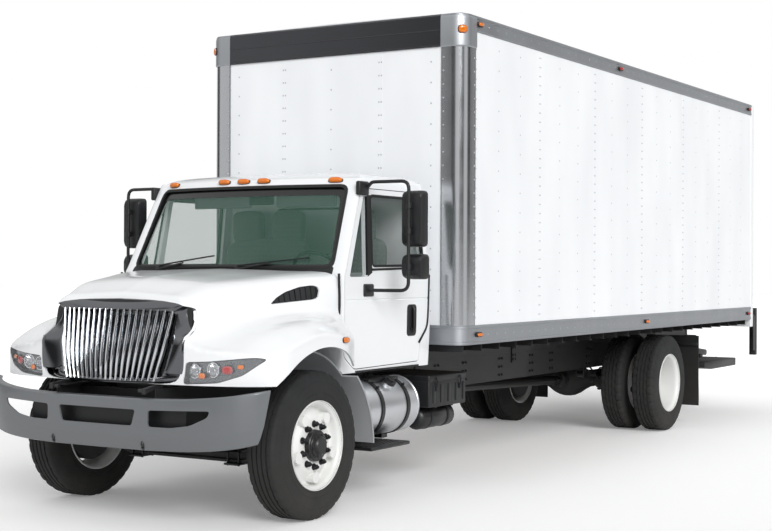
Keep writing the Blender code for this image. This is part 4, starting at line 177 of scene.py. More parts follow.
def make_materials():
    # white two-pack enamel on the cab: clean and glossy, a little dusty towards the sills
    paint("white_cab_enamel", "#eceef0", 0.22, dust="#b9b6ad", dust_top=1.5, share=0.22)
    # coil-coated white aluminium sheet of the body: satin, with a slow ripple between its rivet rows
    tree, shader = start("white_body_sheet", "#eff1f3", 0.34, Coat_Weight=0.25, Coat_Roughness=0.2)
    ripple = grain(tree, 620, (1, 1, 0.35), 2.0)
    relief(tree, shader, (ripple, "Fac"), 5.0, 0.22)
    # painted shade: the sheet's colour goes darker and lighter along the ripple, as the waves' shading
    tint(tree, shader, "#e8eaed", "#f3f5f7", (ripple, "Fac"))
    # powder-coated steel discs: satin white with brake dust in patches
    paint("wheel_powder_coat", "#e7e8e6", 0.38, 2.0, 0.2, "#a29c92", 0.95, 0.30)
    # satin chassis black on rolled steel, greyed by road dust
    paint("chassis_black", "#1b1c1e", 0.5, 4.0, 0.1, "#57534c", 1.1, 0.34)
    # grey gel-coated bumper skin, satin
    paint("bumper_grey_enamel", "#66696c", 0.36, 3.0, 0.3, "#5c5953", 0.95, 0.30)
    # polyethylene liner behind the wheels, grey and scuffed
    moulded("guard_polyethylene", "#9fa2a5", 0.5, 3.0, 0.15, "#6a665f", 1.2, 0.40)
    # electroplated chrome: mirror bright
    bare_metal("chrome_plate", "#d3d5d8", 0.06, (1, 1, 1), 6.0, 0.01)
    # chrome with its colour darkened as a painted dark reflection, on the grille's surround and the lamps'
    # inner plates
    bare_metal("chrome_painted_dark_reflection", "#6f7073", 0.09, (1, 1, 1), 6.0, 0.01)
    # spun aluminium tank: fine rings round its axis, dulled in patches
    bare_metal("tank_aluminium", "#d9dbde", 0.32, (0.02, 1, 0.02), 3.0, 0.06)
    # mill-finish aluminium extrusion: die lines along the rail
    bare_metal("rail_aluminium", "#b0b3b7", 0.40, (1, 0.01, 1), 3.0, 0.05)
    # bright stainless sheet wrapped round the posts, with upright polishing lines
    bare_metal("post_stainless", "#bcbec1", 0.18, (1, 1, 0.01), 3.0, 0.05)
    # polished sheet on the front rail, its colour darkened as a painted dark reflection
    bare_metal("front_rail_dark_reflection", "#515255", 0.18, (0.02, 1, 1), 3.0, 0.05)
    # domed aluminium rivet heads, a shade greyer than the sheet
    start("rivet_aluminium", "#b9bcc0", 0.45, 0.3)
    # aluminised steel of the exhaust, stained brown by heat
    bare_metal("exhaust_steel", "#7c766d", 0.5, (1, 1, 1), 5.0, 0.1, "#4f463c")
    # sand-cast iron: rough skin, oily dust
    moulded("cast_iron", "#2b2c2e", 0.68, 4.0, 0.5, "#544f47", 0.9, 0.5)
    # carbon-black tyre rubber, greyed where it wears and by dust
    moulded("tyre_rubber", "#1c1d1e", 0.82, 2.5, 0.2, "#5b564e", 0.9, 0.30)
    # sheet rubber of the mudflaps
    moulded("flap_rubber", "#141516", 0.7, 3.0, 0.2, "#5b564e", 1.0, 0.4)
    # EPDM seals: black, nearly matt
    moulded("seal_rubber", "#0f1011", 0.6, 1.5, 0.05)
    # glass-filled nylon of mirrors, handles and wipers: black, fine grain
    moulded("black_nylon", "#17181a", 0.45, 1.5, 0.1)
    # screen-printed ceramic border of the windscreen
    moulded("ceramic_border", "#08090a", 0.25, 3.0, 0.01, coat=0.4)
    # soft-touch vinyl dash, grey, with a hide-like grain 3 mm across so that it shows
    moulded("dash_vinyl", "#84898a", 0.62, 3.0, 0.4)
    # plain black painted steel of small brackets and louvres
    paint("black_steel", "#121315", 0.42, 3.0, 0.15)
    # bright zinc on bolts and rivets
    bare_metal("bright_zinc", "#bfc2c4", 0.35, (1, 1, 1), 2.0, 0.02)
    # blackened steel wheel nuts
    bare_metal("dark_steel", "#3a3b3d", 0.42, (1, 1, 1), 2.0, 0.03)
    # vacuum-plated lamp reflector
    bare_metal("lamp_reflector", "#d9dadc", 0.12, (1, 1, 1), 20.0, 0.2)
    # polycarbonate lenses: clear, amber and red, with fine prisms
    for name, code, alpha in (("clear_lens", "#eef3f6", 0.07), ("amber_lens", "#e8790c", 0.9),
                              ("red_lens", "#b3130f", 0.92), ("pale_lens", "#f3efe4", 0.8)):
        tree, shader = start(name, code, 0.06, Alpha=alpha, Coat_Weight=0.6, Coat_Roughness=0.03)
        prisms = add(tree, "ShaderNodeTexVoronoi", {"Vector": (add(tree, "ShaderNodeTexCoord"), "Object"),
                                                    "Scale": 1000 / 7.0}, feature="F1")
        relief(tree, shader, (prisms, "Distance"), 0.4, 0.25 if name != "clear_lens" else 0.05)
    # green solar glass, darker at a slant
    start("solar_glass", "#3f7460", 0.03, Alpha=0.20, Coat_Weight=1.0, Coat_Roughness=0.02)
    start("clear_glass", "#4b6b60", 0.03, Alpha=0.14, Coat_Weight=1.0, Coat_Roughness=0.02)
    # mirror glass
    bare_metal("mirror_glass", "#cfd4d8", 0.03, (1, 1, 1), 30.0, 0.001)
    # woven polyester seat cover: ribs 6 mm apart, so that they show
    tree, shader = start("seat_weave", "#68706d", 0.9, Sheen_Weight=0.35, Sheen_Roughness=0.5)
    place = add(tree, "ShaderNodeTexCoord")
    across = add(tree, "ShaderNodeTexWave",
                 {"Vector": (place, "Object"), "Scale": 1000 / 6.0 / 20, "Distortion": 1.5,
                                             "Detail": 2.0}, bands_direction="X")
    up = add(tree, "ShaderNodeTexWave",
             {"Vector": (place, "Object"), "Scale": 1000 / 6.0 / 20, "Distortion": 1.5,
                                         "Detail": 2.0}, bands_direction="Z")
    weave = add(tree, "ShaderNodeMath", {0: (across, "Fac"), 1: (up, "Fac")}, operation="MULTIPLY")
    tint(tree, shader, "#7c8582", "#868f8b", (weave, "Value"), 0.0, 0.7)
    relief(tree, shader, (weave, "Value"), 0.3, 0.15)
    # oiled oak deck boards: long grain, joints every 150 mm
    tree, shader = start("oak_deck", "#8b6b47", 0.6)
    fibre = grain(tree, 14, (1, 0.06, 1), 6.0)
    tint(tree, shader, "#5f452b", "#a9855a", (fibre, "Fac"))
    relief(tree, shader, (fibre, "Fac"), 0.6, 0.5)


NODE_MATERIALS = {
    "frame_rails": "chassis_black", "front_bumper": "bumper_grey_enamel", "front_axle": "cast_iron",
    "rear_axle": "cast_iron", "engine_block": "cast_iron", "propeller_shaft": "chassis_black",
    "radiator": "black_steel", "fuel_tank": "tank_aluminium", "tank_steps": "chassis_black",
    "battery_box": "chassis_black", "step_box_right": "chassis_black", "muffler": "exhaust_steel",
    "splash_guard": "guard_polyethylene", "mudflap": "flap_rubber", "cab_shell": "white_cab_enamel",
    "windshield": "solar_glass", "rear_window": "clear_glass", "dashboard": "dash_vinyl",
    "steering_wheel": "black_nylon", "driver_seat": "seat_weave", "passenger_bench": "seat_weave",
    "box_floor": "chassis_black", "bottom_rail": "rail_aluminium", "side_wall": "white_body_sheet",
    "front_wall": "white_body_sheet", "corner_post": "post_stainless", "top_rail": "rail_aluminium",
    "roof_panel": "white_body_sheet", "rear_frame": "white_cab_enamel", "rear_door": "white_body_sheet",
    "liftgate": "chassis_black", "hood": "white_cab_enamel", "grille": "chrome_plate",
    "headlamp": "clear_lens", "knuckle": "cast_iron", "front_rim": "wheel_powder_coat",
    "rear_rims": "wheel_powder_coat", "front_tyre": "tyre_rubber", "rear_tyre": "tyre_rubber",
    "door_glass": "clear_glass", "door": "white_cab_enamel", "mirror": "black_nylon"}


def paint_nodes():
    for name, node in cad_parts.items():
        key = max((k for k in NODE_MATERIALS if name.startswith(k)), key=len)
        node.data.materials.clear()
        node.data.materials.append(MATERIALS[NODE_MATERIALS[key]])


# Mesh tools

def body_of(bm, name):
    mesh = bpy.data.meshes.new(name)
    bmesh.ops.recalc_face_normals(bm, faces=bm.faces)
    bm.to_mesh(mesh)
    bm.free()
    part = bpy.data.objects.new(name, mesh)
    bpy.context.scene.collection.objects.link(part)
    return part


def skin(name, rings, closed=False, open_ends=False):
    """Skin rings that have as many points each."""
    bm = bmesh.new()
    rows = [[bm.verts.new(point) for point in ring] for ring in rings]
    count = len(rows[0])
    for near, far in list(zip(rows, rows[1:])) + ([(rows[-1], rows[0])] if closed else []):
        for i in range(count):
            j = (i + 1) % count
            bm.faces.new((near[i], near[j], far[j], far[i]))
    if not closed and not open_ends:
        bm.faces.new(rows[0])
        bm.faces.new(rows[-1])
    return body_of(bm, name)


def prism(outline, axis, low, high, name="prism"):
    first, second, along = AXIS_POINTS[axis]
    rings = []
    for level in (low, high):
        ring = []
        for u, v in outline:
            point = [0.0, 0.0, 0.0]
            point[first], point[second], point[along] = u, v, level
            ring.append(point)
        rings.append(ring)
    return skin(name, rings)


def block(xs, ys, zs, name="block"):
    return prism(((xs[0], ys[0]), (xs[1], ys[0]), (xs[1], ys[1]), (xs[0], ys[1])), "z", *zs, name)


def turned(profile, axis, centre, segments=48, name="turned"):
    """Turn (radius, along) points about an axis; ends at radius 0 close it, else it is a ring."""
    first, second, along = AXIS_POINTS[axis]
    bm = bmesh.new()
    rows = []
    for radius, reach in profile:
        row = []
        for k in range(segments if radius else 1):
            angle = 2 * math.pi * k / segments
            point = list(centre)
            point[first] += radius * math.cos(angle)
            point[second] += radius * math.sin(angle)
            point[along] += reach
            row.append(bm.verts.new(point))
        rows.append(row)
    pairs = list(zip(rows, rows[1:])) + ([] if profile[0][0] == 0 else [(rows[-1], rows[0])])
    for near, far in pairs:
        for k in range(segments):
            m = (k + 1) % segments
            corners = [near[k % len(near)], near[m % len(near)], far[m % len(far)], far[k % len(far)]]
            bm.faces.new(list(dict.fromkeys(corners)))
    return body_of(bm, name)


def rounded(route, radius, steps=5):
    """A route whose inner corners are drawn as arcs."""
    points = [Vector(p) for p in route]
    result = [points[0]]
    for before, corner, after in zip(points, points[1:], points[2:]):
        reach = min(radius, (corner - before).length / 2, (after - corner).length / 2)
        start_point = corner + (before - corner).normalized() * reach
        end_point = corner + (after - corner).normalized() * reach
        for k in range(steps + 1):
            t = k / steps
            result.append(start_point * (1 - t) ** 2 + corner * 2 * t * (1 - t) + end_point * t * t)
    return result + [points[-1]]


def tube(route, radius, sides=12, bend=0.0, name="tube"):
    """A round bar along a route, with its bends rounded."""
    points = rounded(route, bend) if bend else [Vector(p) for p in route]
    rings = []
    side = None
    for i, point in enumerate(points):
        before = (point - points[i - 1]).normalized() if i else None
        after = (points[i + 1] - point).normalized() if i + 1 < len(points) else None
        heading = ((before or after) + (after or before)).normalized()
        side = heading.orthogonal() if side is None else side - heading * side.dot(heading)
        side = side.normalized()
        other = heading.cross(side)
        turns = [2 * math.pi * k / sides for k in range(sides)]
        rings.append([point + (side * math.cos(a) + other * math.sin(a)) * radius for a in turns])
    return skin(name, rings)


def soften(part, width, segments=2, angle=35):
    """Round the edges that are sharper than an angle."""
    step = part.modifiers.new("soften", "BEVEL")
    step.width = width
    step.segments = segments
    step.limit_method = "ANGLE"
    step.angle_limit = math.radians(angle)
    step.use_clamp_overlap = True
    step.miter_outer = "MITER_ARC"
    return part


def boolean(base, others, operation):
    for other in others:
        other.hide_render = True
        step = base.modifiers.new(operation.lower(), "BOOLEAN")
        step.operation = operation
        step.object = other
        step.solver = "EXACT"
    return fixed(base, others)


def fixed(part, used=()):
    """Apply a part's modifiers to its mesh and drop the objects that they used."""
    mesh = bpy.data.meshes.new_from_object(part.evaluated_get(bpy.context.evaluated_depsgraph_get()))
    part.modifiers.clear()
    part.data = mesh
    for other in used:
        bpy.data.objects.remove(other, do_unlink=True)
    return part


def cut(base, *others):
    return boolean(base, others, "DIFFERENCE")


def keep(base, *others):
    return boolean(base, others, "INTERSECT")


def piece(name, parts, material, body, replaces=(), smooth=35):
    """Join parts into one piece of one finish that rides on a body."""
    graph = bpy.context.evaluated_depsgraph_get()
    bm = bmesh.new()
    for part in parts:
        mesh = part.evaluated_get(graph).to_mesh()
        bm.from_mesh(mesh)
        part.evaluated_get(graph).to_mesh_clear()
    for part in parts:
        bpy.data.objects.remove(part, do_unlink=True)
    bmesh.ops.translate(bm, vec=(0, AXLE_Y, 0), verts=bm.verts)
    mesh = bpy.data.meshes.new(name)
    bm.to_mesh(mesh)
    bm.free()
    mesh.shade_smooth()
    mesh.set_sharp_from_angle(angle=math.radians(smooth))
    result = bpy.data.objects.new(name, mesh)
    bpy.context.scene.collection.objects.link(result)
    mesh.materials.append(MATERIALS[material])
    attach(result, body)
    if replaces:
        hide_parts(*replaces)
    return result


def mirrored(half):
    """A closed outline from its right half, which starts and ends on the middle plane."""
    return list(half) + [(-point[0], *point[1:]) for point in reversed(half[1:-1])]


def flipped(points, side):
    """Points written for the left side, set on either side."""
    return [(side * point[0], *point[1:]) for point in points]


def span(side, low, high):
    return tuple(sorted((side * low, side * high)))


def arc(centre, radius, start_deg, end_deg, steps):
    angles = [math.radians(start_deg + (end_deg - start_deg) * i / steps) for i in range(steps + 1)]
    return [(centre[0] + radius * math.cos(a), centre[1] + radius * math.sin(a)) for a in angles]


def grown(outline, amount):
    """Move each point of a closed outline out along its corner."""
    points = [Vector(point) for point in outline]
    area = sum(a.x * b.y - b.x * a.y for a, b in zip(points, points[1:] + points[:1]))
    turn = 1 if area > 0 else -1
    result = []
    for i, point in enumerate(points):
        before = (point - points[i - 1]).normalized()
        after = (points[(i + 1) % len(points)] - point).normalized()
        normals = [Vector((edge.y, -edge.x)) * turn for edge in (before, after)]
        middle = (normals[0] + normals[1]).normalized()
        result.append(tuple(point + middle * amount / max(middle.dot(normals[0]), 0.35)))
    return result


def smooth_line(points, steps, loop=False):
    """Points along a curve that passes through each given one."""
    count = len(points)
    rows = [Vector(p) for p in points]
    result = []
    for i in range(count if loop else count - 1):
        if loop:
            a, b, c, d = (rows[(i + k) % count] for k in (-1, 0, 1, 2))
        else:
            b, c = rows[i], rows[i + 1]
            a = rows[i - 1] if i else b * 2 - c
            d = rows[i + 2] if i + 2 < count else c * 2 - b
        for k in range(steps):
            t = k / steps
            result.append(0.5 * (2 * b + (c - a) * t + (2 * a - 5 * b + 4 * c - d) * t * t
                                 + (3 * b - a - 3 * c + d) * t ** 3))
    return result if loop else result + [rows[-1]]


# Wheels

FRONT_TRACK_HALF = 0.970
REAR_OUTER_HALF = 1.031
REAR_INNER_HALF = 0.688
TREAD_SEGMENTS = 144
NOTCH_EVERY = 4
STEER_NOTCH = 0.006
DRIVE_NOTCH = 0.011
RIB_NOTCH = 0.009
# columns: radius, distance from the tyre's middle plane, kind of point
TYRE_SIDE = (
    (0.2868, 0.1120, ""), (0.2890, 0.1165, ""), (0.3010, 0.1180, ""), (0.3120, 0.1172, ""),
    (0.3200, 0.1200, ""),
    (0.3420, 0.1228, ""), (0.3450, 0.1212, ""), (0.3500, 0.1212, ""), (0.3530, 0.1238, ""),
    (0.3850, 0.1250, ""),
    (0.4180, 0.1240, ""), (0.4210, 0.1222, ""), (0.4260, 0.1220, ""), (0.4290, 0.1232, ""),
    (0.4520, 0.1190, ""),
    (0.4600, 0.1165, "lug"), (0.4760, 0.1095, "lug"), (0.4880, 0.1010, "lug"), (0.4945, 0.0930, "lug"),
    (0.4970, 0.0800, "lug"), (0.4970, 0.0610, "lug"), (0.4850, 0.0590, ""), (0.4850, 0.0510, ""),
    (0.4970, 0.0490, "rib"), (0.4970, 0.0240, "rib"), (0.4850, 0.0220, ""), (0.4850, 0.0140, ""),
    (0.4970, 0.0120, "rib"))


def tyre(name, centre, body, drive):
    """Steer tyres have ribs with notched shoulders, drive tyres have blocks all over."""
    profile = list(TYRE_SIDE) + [(radius, -along, kind) for radius, along, kind in reversed(TYRE_SIDE)]
    scale = TYRE_RADIUS / max(radius for radius, along, kind in TYRE_SIDE)
    rings = []
    for k in range(TREAD_SEGMENTS):
        angle = 2 * math.pi * (k + 0.5) / TREAD_SEGMENTS
        ring = []
        for radius, along, kind in profile:
            phase = k + (1 if along < 0 else 0)
            depth = 0.0
            if kind == "lug" and phase % NOTCH_EVERY == 0:
                depth = DRIVE_NOTCH if drive else STEER_NOTCH
            if kind == "rib" and drive and phase % NOTCH_EVERY == 2:
                depth = RIB_NOTCH
            out = radius * scale - depth
            ring.append((centre[0] + along, centre[1] + out * math.cos(angle),
                         centre[2] + out * math.sin(angle)))
        rings.append(ring)
    part = skin(name, rings, closed=True)
    piece(name, [part], "tyre_rubber", body, [name.replace("_looks", "")], 28)


NUTS = 10
NUT_CIRCLE = 0.143
HAND_HOLES = 5
HAND_HOLE_CIRCLE = 0.212
HAND_HOLE_RADIUS = 0.0375


def around(count, radius, centre, turn_deg=0.0):
    """Places round a wheel's axis, as (y, z)."""
    for k in range(count):
        angle = math.radians(turn_deg + 360 * k / count)
        yield centre[0] + radius * math.cos(angle), centre[1] + radius * math.sin(angle)


def wheel_nuts(side, place_x, wheel_y, word, end, body):
    """Hexagon nuts on round flanges, with the stud's end standing out."""
    parts = []
    for y, z in around(NUTS, NUT_CIRCLE, (wheel_y, TYRE_RADIUS), 18):
        flange = ((0, 0), (0.0235, 0), (0.0235, 0.004), (0.018, 0.007), (0, 0.007))
        hexagon = ((0, 0.006), (0.0185, 0.006), (0.0185, 0.026), (0.0150, 0.030), (0, 0.030))
        stud = ((0, 0.029), (0.0105, 0.029), (0.0105, 0.038), (0.0085, 0.041), (0, 0.041))
        for profile, count in ((flange, 20), (hexagon, 6), (stud, 12)):
            parts.append(turned([(r, side * a) for r, a in profile], "x", (side * place_x, y, z), count))
    piece("%s_nuts_%s" % (end, word), parts, "dark_steel", body, smooth=40)


def hand_holes(side, low, high, wheel_y):
    cutters = []
    for y, z in around(HAND_HOLES, HAND_HOLE_CIRCLE, (wheel_y, TYRE_RADIUS), -90):
        profile = [(0, side * low), (HAND_HOLE_RADIUS, side * low), (HAND_HOLE_RADIUS, side * high),
                   (0, side * high)]
        cutters.append(turned(profile, "x", (0, y, z), 28))
    return cutters


def hub_bolts(side, place, count, circle, radius, low, high):
    """Hexagon heads round a hub's cap."""
    return [turned([(0, side * low), (radius, side * low), (radius, side * high), (0, side * high)], "x",
                   (place[0], y, z), 6) for y, z in around(count, circle, (place[1], TYRE_RADIUS), 12)]


def front_wheel(side, word):
    body = "wheel_front_" + word
    c = FRONT_TRACK_HALF
    profile = [
        (0.1055, c + 0.074), (0.1055, c + 0.086), (0.108, c + 0.088), (0.172, c + 0.088), (0.180, c + 0.086),
        (0.190, c + 0.079), (0.235, c + 0.047), (0.250, c + 0.040), (0.2595, c + 0.040), (0.2650, c + 0.048),
        (0.2670, c + 0.075), (0.2700, c + 0.092), (0.2780, c + 0.104), (0.2850, c + 0.110),
        (0.2930, c + 0.1155),
        (0.2975, c + 0.1200), (0.2990, c + 0.1240), (0.2975, c + 0.1262), (0.2940, c + 0.1255),
        (0.2990, c + 0.1180), (0.2995, c + 0.1172), (0.2862, c + 0.1168), (0.2800, c + 0.100),
        (0.2755, c + 0.080),
        (0.2740, c - 0.080), (0.2862, c - 0.1168), (0.2995, c - 0.1172), (0.2995, c - 0.1262),
        (0.2940, c - 0.1262),
        (0.2690, c - 0.085), (0.2650, c - 0.060), (0.2650, c + 0.020), (0.2560, c + 0.029),
        (0.2330, c + 0.034),
        (0.188, c + 0.066), (0.178, c + 0.074)]
    rim = turned([(r, side * x) for r, x in profile], "x", (0, 0, TYRE_RADIUS), 96, "rim")
    cut(rim, *hand_holes(side, c + 0.02, c + 0.11, 0))
    piece("front_rim_looks_" + word, [rim], "wheel_powder_coat", body, ["front_rim_" + word],
          32)
    wheel_nuts(side, c + 0.0885, 0, word, "front", body)
    hub = [(0, c - 0.058), (0.098, c - 0.058), (0.1045, c - 0.050), (0.1045, c + 0.118), (0.100, c + 0.124),
           (0.086, c + 0.126), (0.083, c + 0.130), (0.083, c + 0.136), (0.078, c + 0.139),
           (0.064, c + 0.140),
           (0.060, c + 0.150), (0.052, c + 0.158), (0, c + 0.160)]
    shell = turned([(r, side * x) for r, x in hub], "x", (0, 0, TYRE_RADIUS), 64, "hub")
    bore = turned([(0, side * (c - 0.09)), (0.0388, side * (c - 0.09)), (0.0388, side * (c + 0.10)),
                   (0, side * (c + 0.10))], "x", (0, 0, TYRE_RADIUS), 32)
    cut(shell, bore)
    bolts = hub_bolts(side, (side * c, 0), 6, 0.0735, 0.0070, 0.138, 0.1445)
    piece("front_hub_" + word, [shell] + bolts, "black_steel", body)
    drum = turned([(r, side * x) for r, x in ((0.118, c - 0.062), (0.225, c - 0.062), (0.232, c - 0.055),
                                              (0.232, c + 0.012), (0.205, c + 0.018), (0.125, c + 0.032),
                                              (0.118, c + 0.032))], "x", (0, 0, TYRE_RADIUS), 64, "drum")
    piece("front_drum_" + word, [drum], "cast_iron", body)
    tyre("front_tyre_looks_" + word, (side * c, 0, TYRE_RADIUS), body, False)


def rear_wheels(side, word):
    body = "wheel_rear_" + word
    c, inner, y = REAR_OUTER_HALF, REAR_INNER_HALF, WHEELBASE
    disc = (c + inner) / 2
    profile = [
        (0.1055, disc - 0.004), (0.1055, disc + 0.010), (0.108, disc + 0.012), (0.170, disc + 0.012),
        (0.182, disc + 0.016), (0.200, disc + 0.030), (0.240, disc + 0.056), (0.2540, disc + 0.062),
        (0.2610, disc + 0.068), (0.2640, disc + 0.080), (0.2650, c + 0.060), (0.2680, c + 0.086),
        (0.2760, c + 0.103), (0.2850, c + 0.1100), (0.2930, c + 0.1155), (0.2975, c + 0.1200),
        (0.2990, c + 0.1240),
        (0.2975, c + 0.1262), (0.2940, c + 0.1262), (0.2995, c + 0.1172), (0.2862, c + 0.1168),
        (0.2755, c + 0.080), (0.2740, c - 0.080), (0.2862, c - 0.1168), (0.2995, c - 0.1172),
        (0.2995, c - 0.1240),
        (0.2900, c - 0.1240), (0.2740, c - 0.092), (0.2560, disc + 0.052), (0.238, disc + 0.045),
        (0.198, disc + 0.018), (0.180, disc + 0.002), (0.168, disc - 0.004)]
    rim = turned([(r, side * x) for r, x in profile], "x", (0, y, TYRE_RADIUS), 96, "rim")
    cut(rim, *hand_holes(side, disc - 0.01, disc + 0.10, y))
    inner_rim = turned([(r, side * (2 * disc - x)) for r, x in profile], "x", (0, y, TYRE_RADIUS), 72)
    cut(inner_rim, *hand_holes(side, disc - 0.10, disc + 0.01, y))
    piece("rear_rims_looks_" + word, [rim, inner_rim], "wheel_powder_coat", body,
          ["rear_rims_" + word], 32)
    wheel_nuts(side, disc + 0.0125, y, word, "rear", body)
    hub = [(0, disc - 0.02), (0.1045, disc - 0.02), (0.1045, disc + 0.060), (0.100, disc + 0.068),
           (0.092, disc + 0.070), (0.090, disc + 0.100), (0.086, disc + 0.106), (0.072, disc + 0.108),
           (0.068, disc + 0.128), (0.056, disc + 0.138), (0, disc + 0.140)]
    shell = turned([(r, side * x) for r, x in hub], "x", (0, y, TYRE_RADIUS), 64, "hub")
    bolts = hub_bolts(side, (side * disc, y), 8, 0.0790, 0.0072, 0.105, 0.113)
    piece("rear_hub_" + word, [shell] + bolts, "black_steel", body)
    drum = turned([(r, side * x) for r,
                   x in ((0.085, inner - 0.118), (0.232, inner - 0.118), (0.236, inner - 0.110),
                                              (0.236, disc - 0.060), (0.205, disc - 0.022),
                                              (0.085, disc - 0.022))],
                  "x", (0, y, TYRE_RADIUS), 64, "drum")
    piece("rear_drum_" + word, [drum], "cast_iron", body)
    for row, x in (("outer", c), ("inner", inner)):
        tyre("rear_tyre_looks_%s_%s" % (row, word), (side * x, y, TYRE_RADIUS), body, True)


def wheels():
    for side, word in SIDES:
        front_wheel(side, word)
        rear_wheels(side, word)


# Hood

HOOD_FRONT_Y = -0.860
HOOD_LENGTH = 1.275
HOOD_HALF = 1.210
HOOD_BOTTOM = 0.930
HOOD_HEIGHT = 0.750
HOOD_SKIRT = 0.090
HOOD_SKIN = 0.016
NOSE_Y = (-1.02, -0.50)
ARCH_Y = -0.035
ARCH_Z = 0.420
ARCH_RADIUS = 0.737
# columns: share of the length, then the crown's height and, as half width and height, the shoulder,
# the crease over the fender and the fender's bulge, and the half width of the side
HOOD_SHARES = (
    (-0.149, 0.740, 0.430, 0.680, 0.512, 0.347, 0.785, 0.253, 0.967),
    (0.110, 0.773, 0.446, 0.707, 0.529, 0.373, 0.793, 0.280, 0.975),
    (0.322, 0.900, 0.529, 0.807, 0.620, 0.507, 0.851, 0.440, 0.992),
    (0.596, 0.947, 0.628, 0.867, 0.719, 0.587, 0.893, 0.533, 0.992),
    (0.831, 0.976, 0.727, 0.907, 0.793, 0.600, 0.893, 0.507, 0.975),
    (1.067, 1.000, 0.806, 0.933, 0.826, 0.600, 0.860, 0.440, 0.893))
HOOD_NOSE_SHARES = (
    (0, 0), (0.200, 0.006), (0.372, 0.021), (0.500, 0.035), (0.620, 0.054), (0.710, 0.076), (0.785, 0.102),
    (0.843, 0.130), (0.893, 0.161), (0.930, 0.192), (0.959, 0.226), (0.980, 0.265), (1, 0.330), (1, 1.3),
    (0, 1.3))
HOOD_REAR_SHARES = ((0, -0.3), (1.1, -0.3), (1.1, 1), (0.769, 1), (0.653, 0.976), (0.380, 0.945), (0, 0.935))
HOOD_SIDE_SHARES = ((0, -0.200), (0.008, 0.227), (0.045, 0.450), (0.090, 0.667), (0.126, 0.787),
                    (0.184, 0.883),
                    (0.361, 1.107), (1.3, 1.293), (1.3, -0.200))
LOUVRE_SHARES = ((0.550, 0.671), (0.596, 0.731), (0.655, 0.781), (0.743, 0.825), (0.824, 0.840),
                 (0.856, 0.824),
                 (0.861, 0.787), (0.843, 0.723), (0.814, 0.709))
LAMP_SHARES = ((0.500, 0.007), (0.513, 0.093), (0.518, 0.195), (0.661, 0.207), (0.876, 0.243),
               (0.934, 0.233),
               (0.826, 0.093), (0.702, 0.027))
HOOD_MARK = (0.199, 1.193)
LOUVRE_BLADES = 9
LOUVRE_FRONT_Y = -0.128
LOUVRE_PITCH = 0.041


def placed(shares, start, size):
    return [(start[0] + u * size[0], start[1] + v * size[1]) for u, v in shares]


def hood_side(shares):
    return placed(shares, (HOOD_FRONT_Y, HOOD_BOTTOM), (HOOD_LENGTH, HOOD_HEIGHT))


def lamp_outline(side, margin=0.0):
    outline = placed(LAMP_SHARES, (0, HOOD_BOTTOM), (side * HOOD_HALF, HOOD_HEIGHT))
    return grown(round_off(outline, 0.03), margin)


def round_off(outline, radius, steps=4):
    """A closed outline with its corners drawn as arcs."""
    points = [Vector(p) for p in outline]
    result = []
    for i, corner in enumerate(points):
        before, after = points[i - 1], points[(i + 1) % len(points)]
        reach = min(radius, (corner - before).length * 0.45, (after - corner).length * 0.45)
        start_point = corner + (before - corner).normalized() * reach
        end_point = corner + (after - corner).normalized() * reach
        for k in range(steps + 1):
            t = k / steps
            result.append(tuple(start_point * (1 - t) ** 2 + corner * 2 * t * (1 - t) + end_point * t * t))
    return result


def hood_ring(row):
    """One section across the hood, from the crown over the shoulder and the fender to below the skirt."""
    place, crown, shoulder_x, shoulder_z, crease_x, crease_z, bulge_x, bulge_z, side_x = row
    outline = ((0, crown), (shoulder_x * 0.6, crown - (crown - shoulder_z) * 0.3), (shoulder_x, shoulder_z),
               (crease_x, crease_z), (bulge_x, bulge_z), (side_x, bulge_z - HOOD_SKIRT / HOOD_HEIGHT))
    points = placed(outline, (0, HOOD_BOTTOM), (HOOD_HALF, HOOD_HEIGHT))
    curve = [tuple(point) for point in smooth_line(points, 4)]
    low = HOOD_BOTTOM - 0.14
    right = curve + [(curve[-1][0], low), (0, low)]
    y = HOOD_FRONT_Y + HOOD_LENGTH * place
    return [(x, y, z) for x, z in mirrored(right)]


def hood_form():
    """The hood as one solid with its edges eased, drawn on past its bottom and rear."""
    form = skin("hood form", [hood_ring(row) for row in smooth_line(HOOD_SHARES, 5)])
    plan = mirrored(placed(HOOD_NOSE_SHARES, (0, HOOD_FRONT_Y), (HOOD_HALF, HOOD_LENGTH)))
    keep(form, prism(plan, "z", 0.5, 2.2), prism(hood_side(HOOD_SIDE_SHARES), "x", -1.4, 1.4))
    even = form.modifiers.new("even", "REMESH")
    even.mode = "VOXEL"
    even.voxel_size = 0.016
    ease = form.modifiers.new("ease", "SMOOTH")
    ease.factor = 0.5
    ease.iterations = 9
    return fixed(form)


def shrunk(form, inset, name):
    """A copy of a form drawn in along its own normals."""
    mesh = form.data.copy()
    steps = [vertex.normal.copy() * inset for vertex in form.data.vertices]
    for vertex, step in zip(mesh.vertices, steps):
        vertex.co -= step
    part = bpy.data.objects.new(name, mesh)
    bpy.context.scene.collection.objects.link(part)
    return part


def shell_between(form, outer, inner, edge):
    """The layer of a form between two depths, within a prism."""
    return cut(keep(shrunk(form, outer, "layer"), edge), shrunk(form, inner, "layer floor"))


def pushed(form, depth):
    """A copy of a form, set back along y."""
    part = shrunk(form, 0, "pushed")
    part.data.transform(Matrix.Translation((0, depth, 0)))
    return part


def lamp_layer(form, near, far, outline):
    """A layer of the nose between two distances behind its face, within an outline."""
    return cut(keep(pushed(form, near), prism(outline, "y", *NOSE_Y)), pushed(form, far))


def surface_frame(form, start_point, heading):
    """Where a ray from a point first meets a form, and the surface's normal there."""
    tree = BVHTree.FromObject(form, bpy.context.evaluated_depsgraph_get())
    return tree.ray_cast(Vector(start_point), Vector(heading))[:2]


def joined(parts, name="joined"):
    bm = bmesh.new()
    for part in parts:
        bm.from_mesh(part.data)
        bpy.data.objects.remove(part, do_unlink=True)
    return body_of(bm, name)


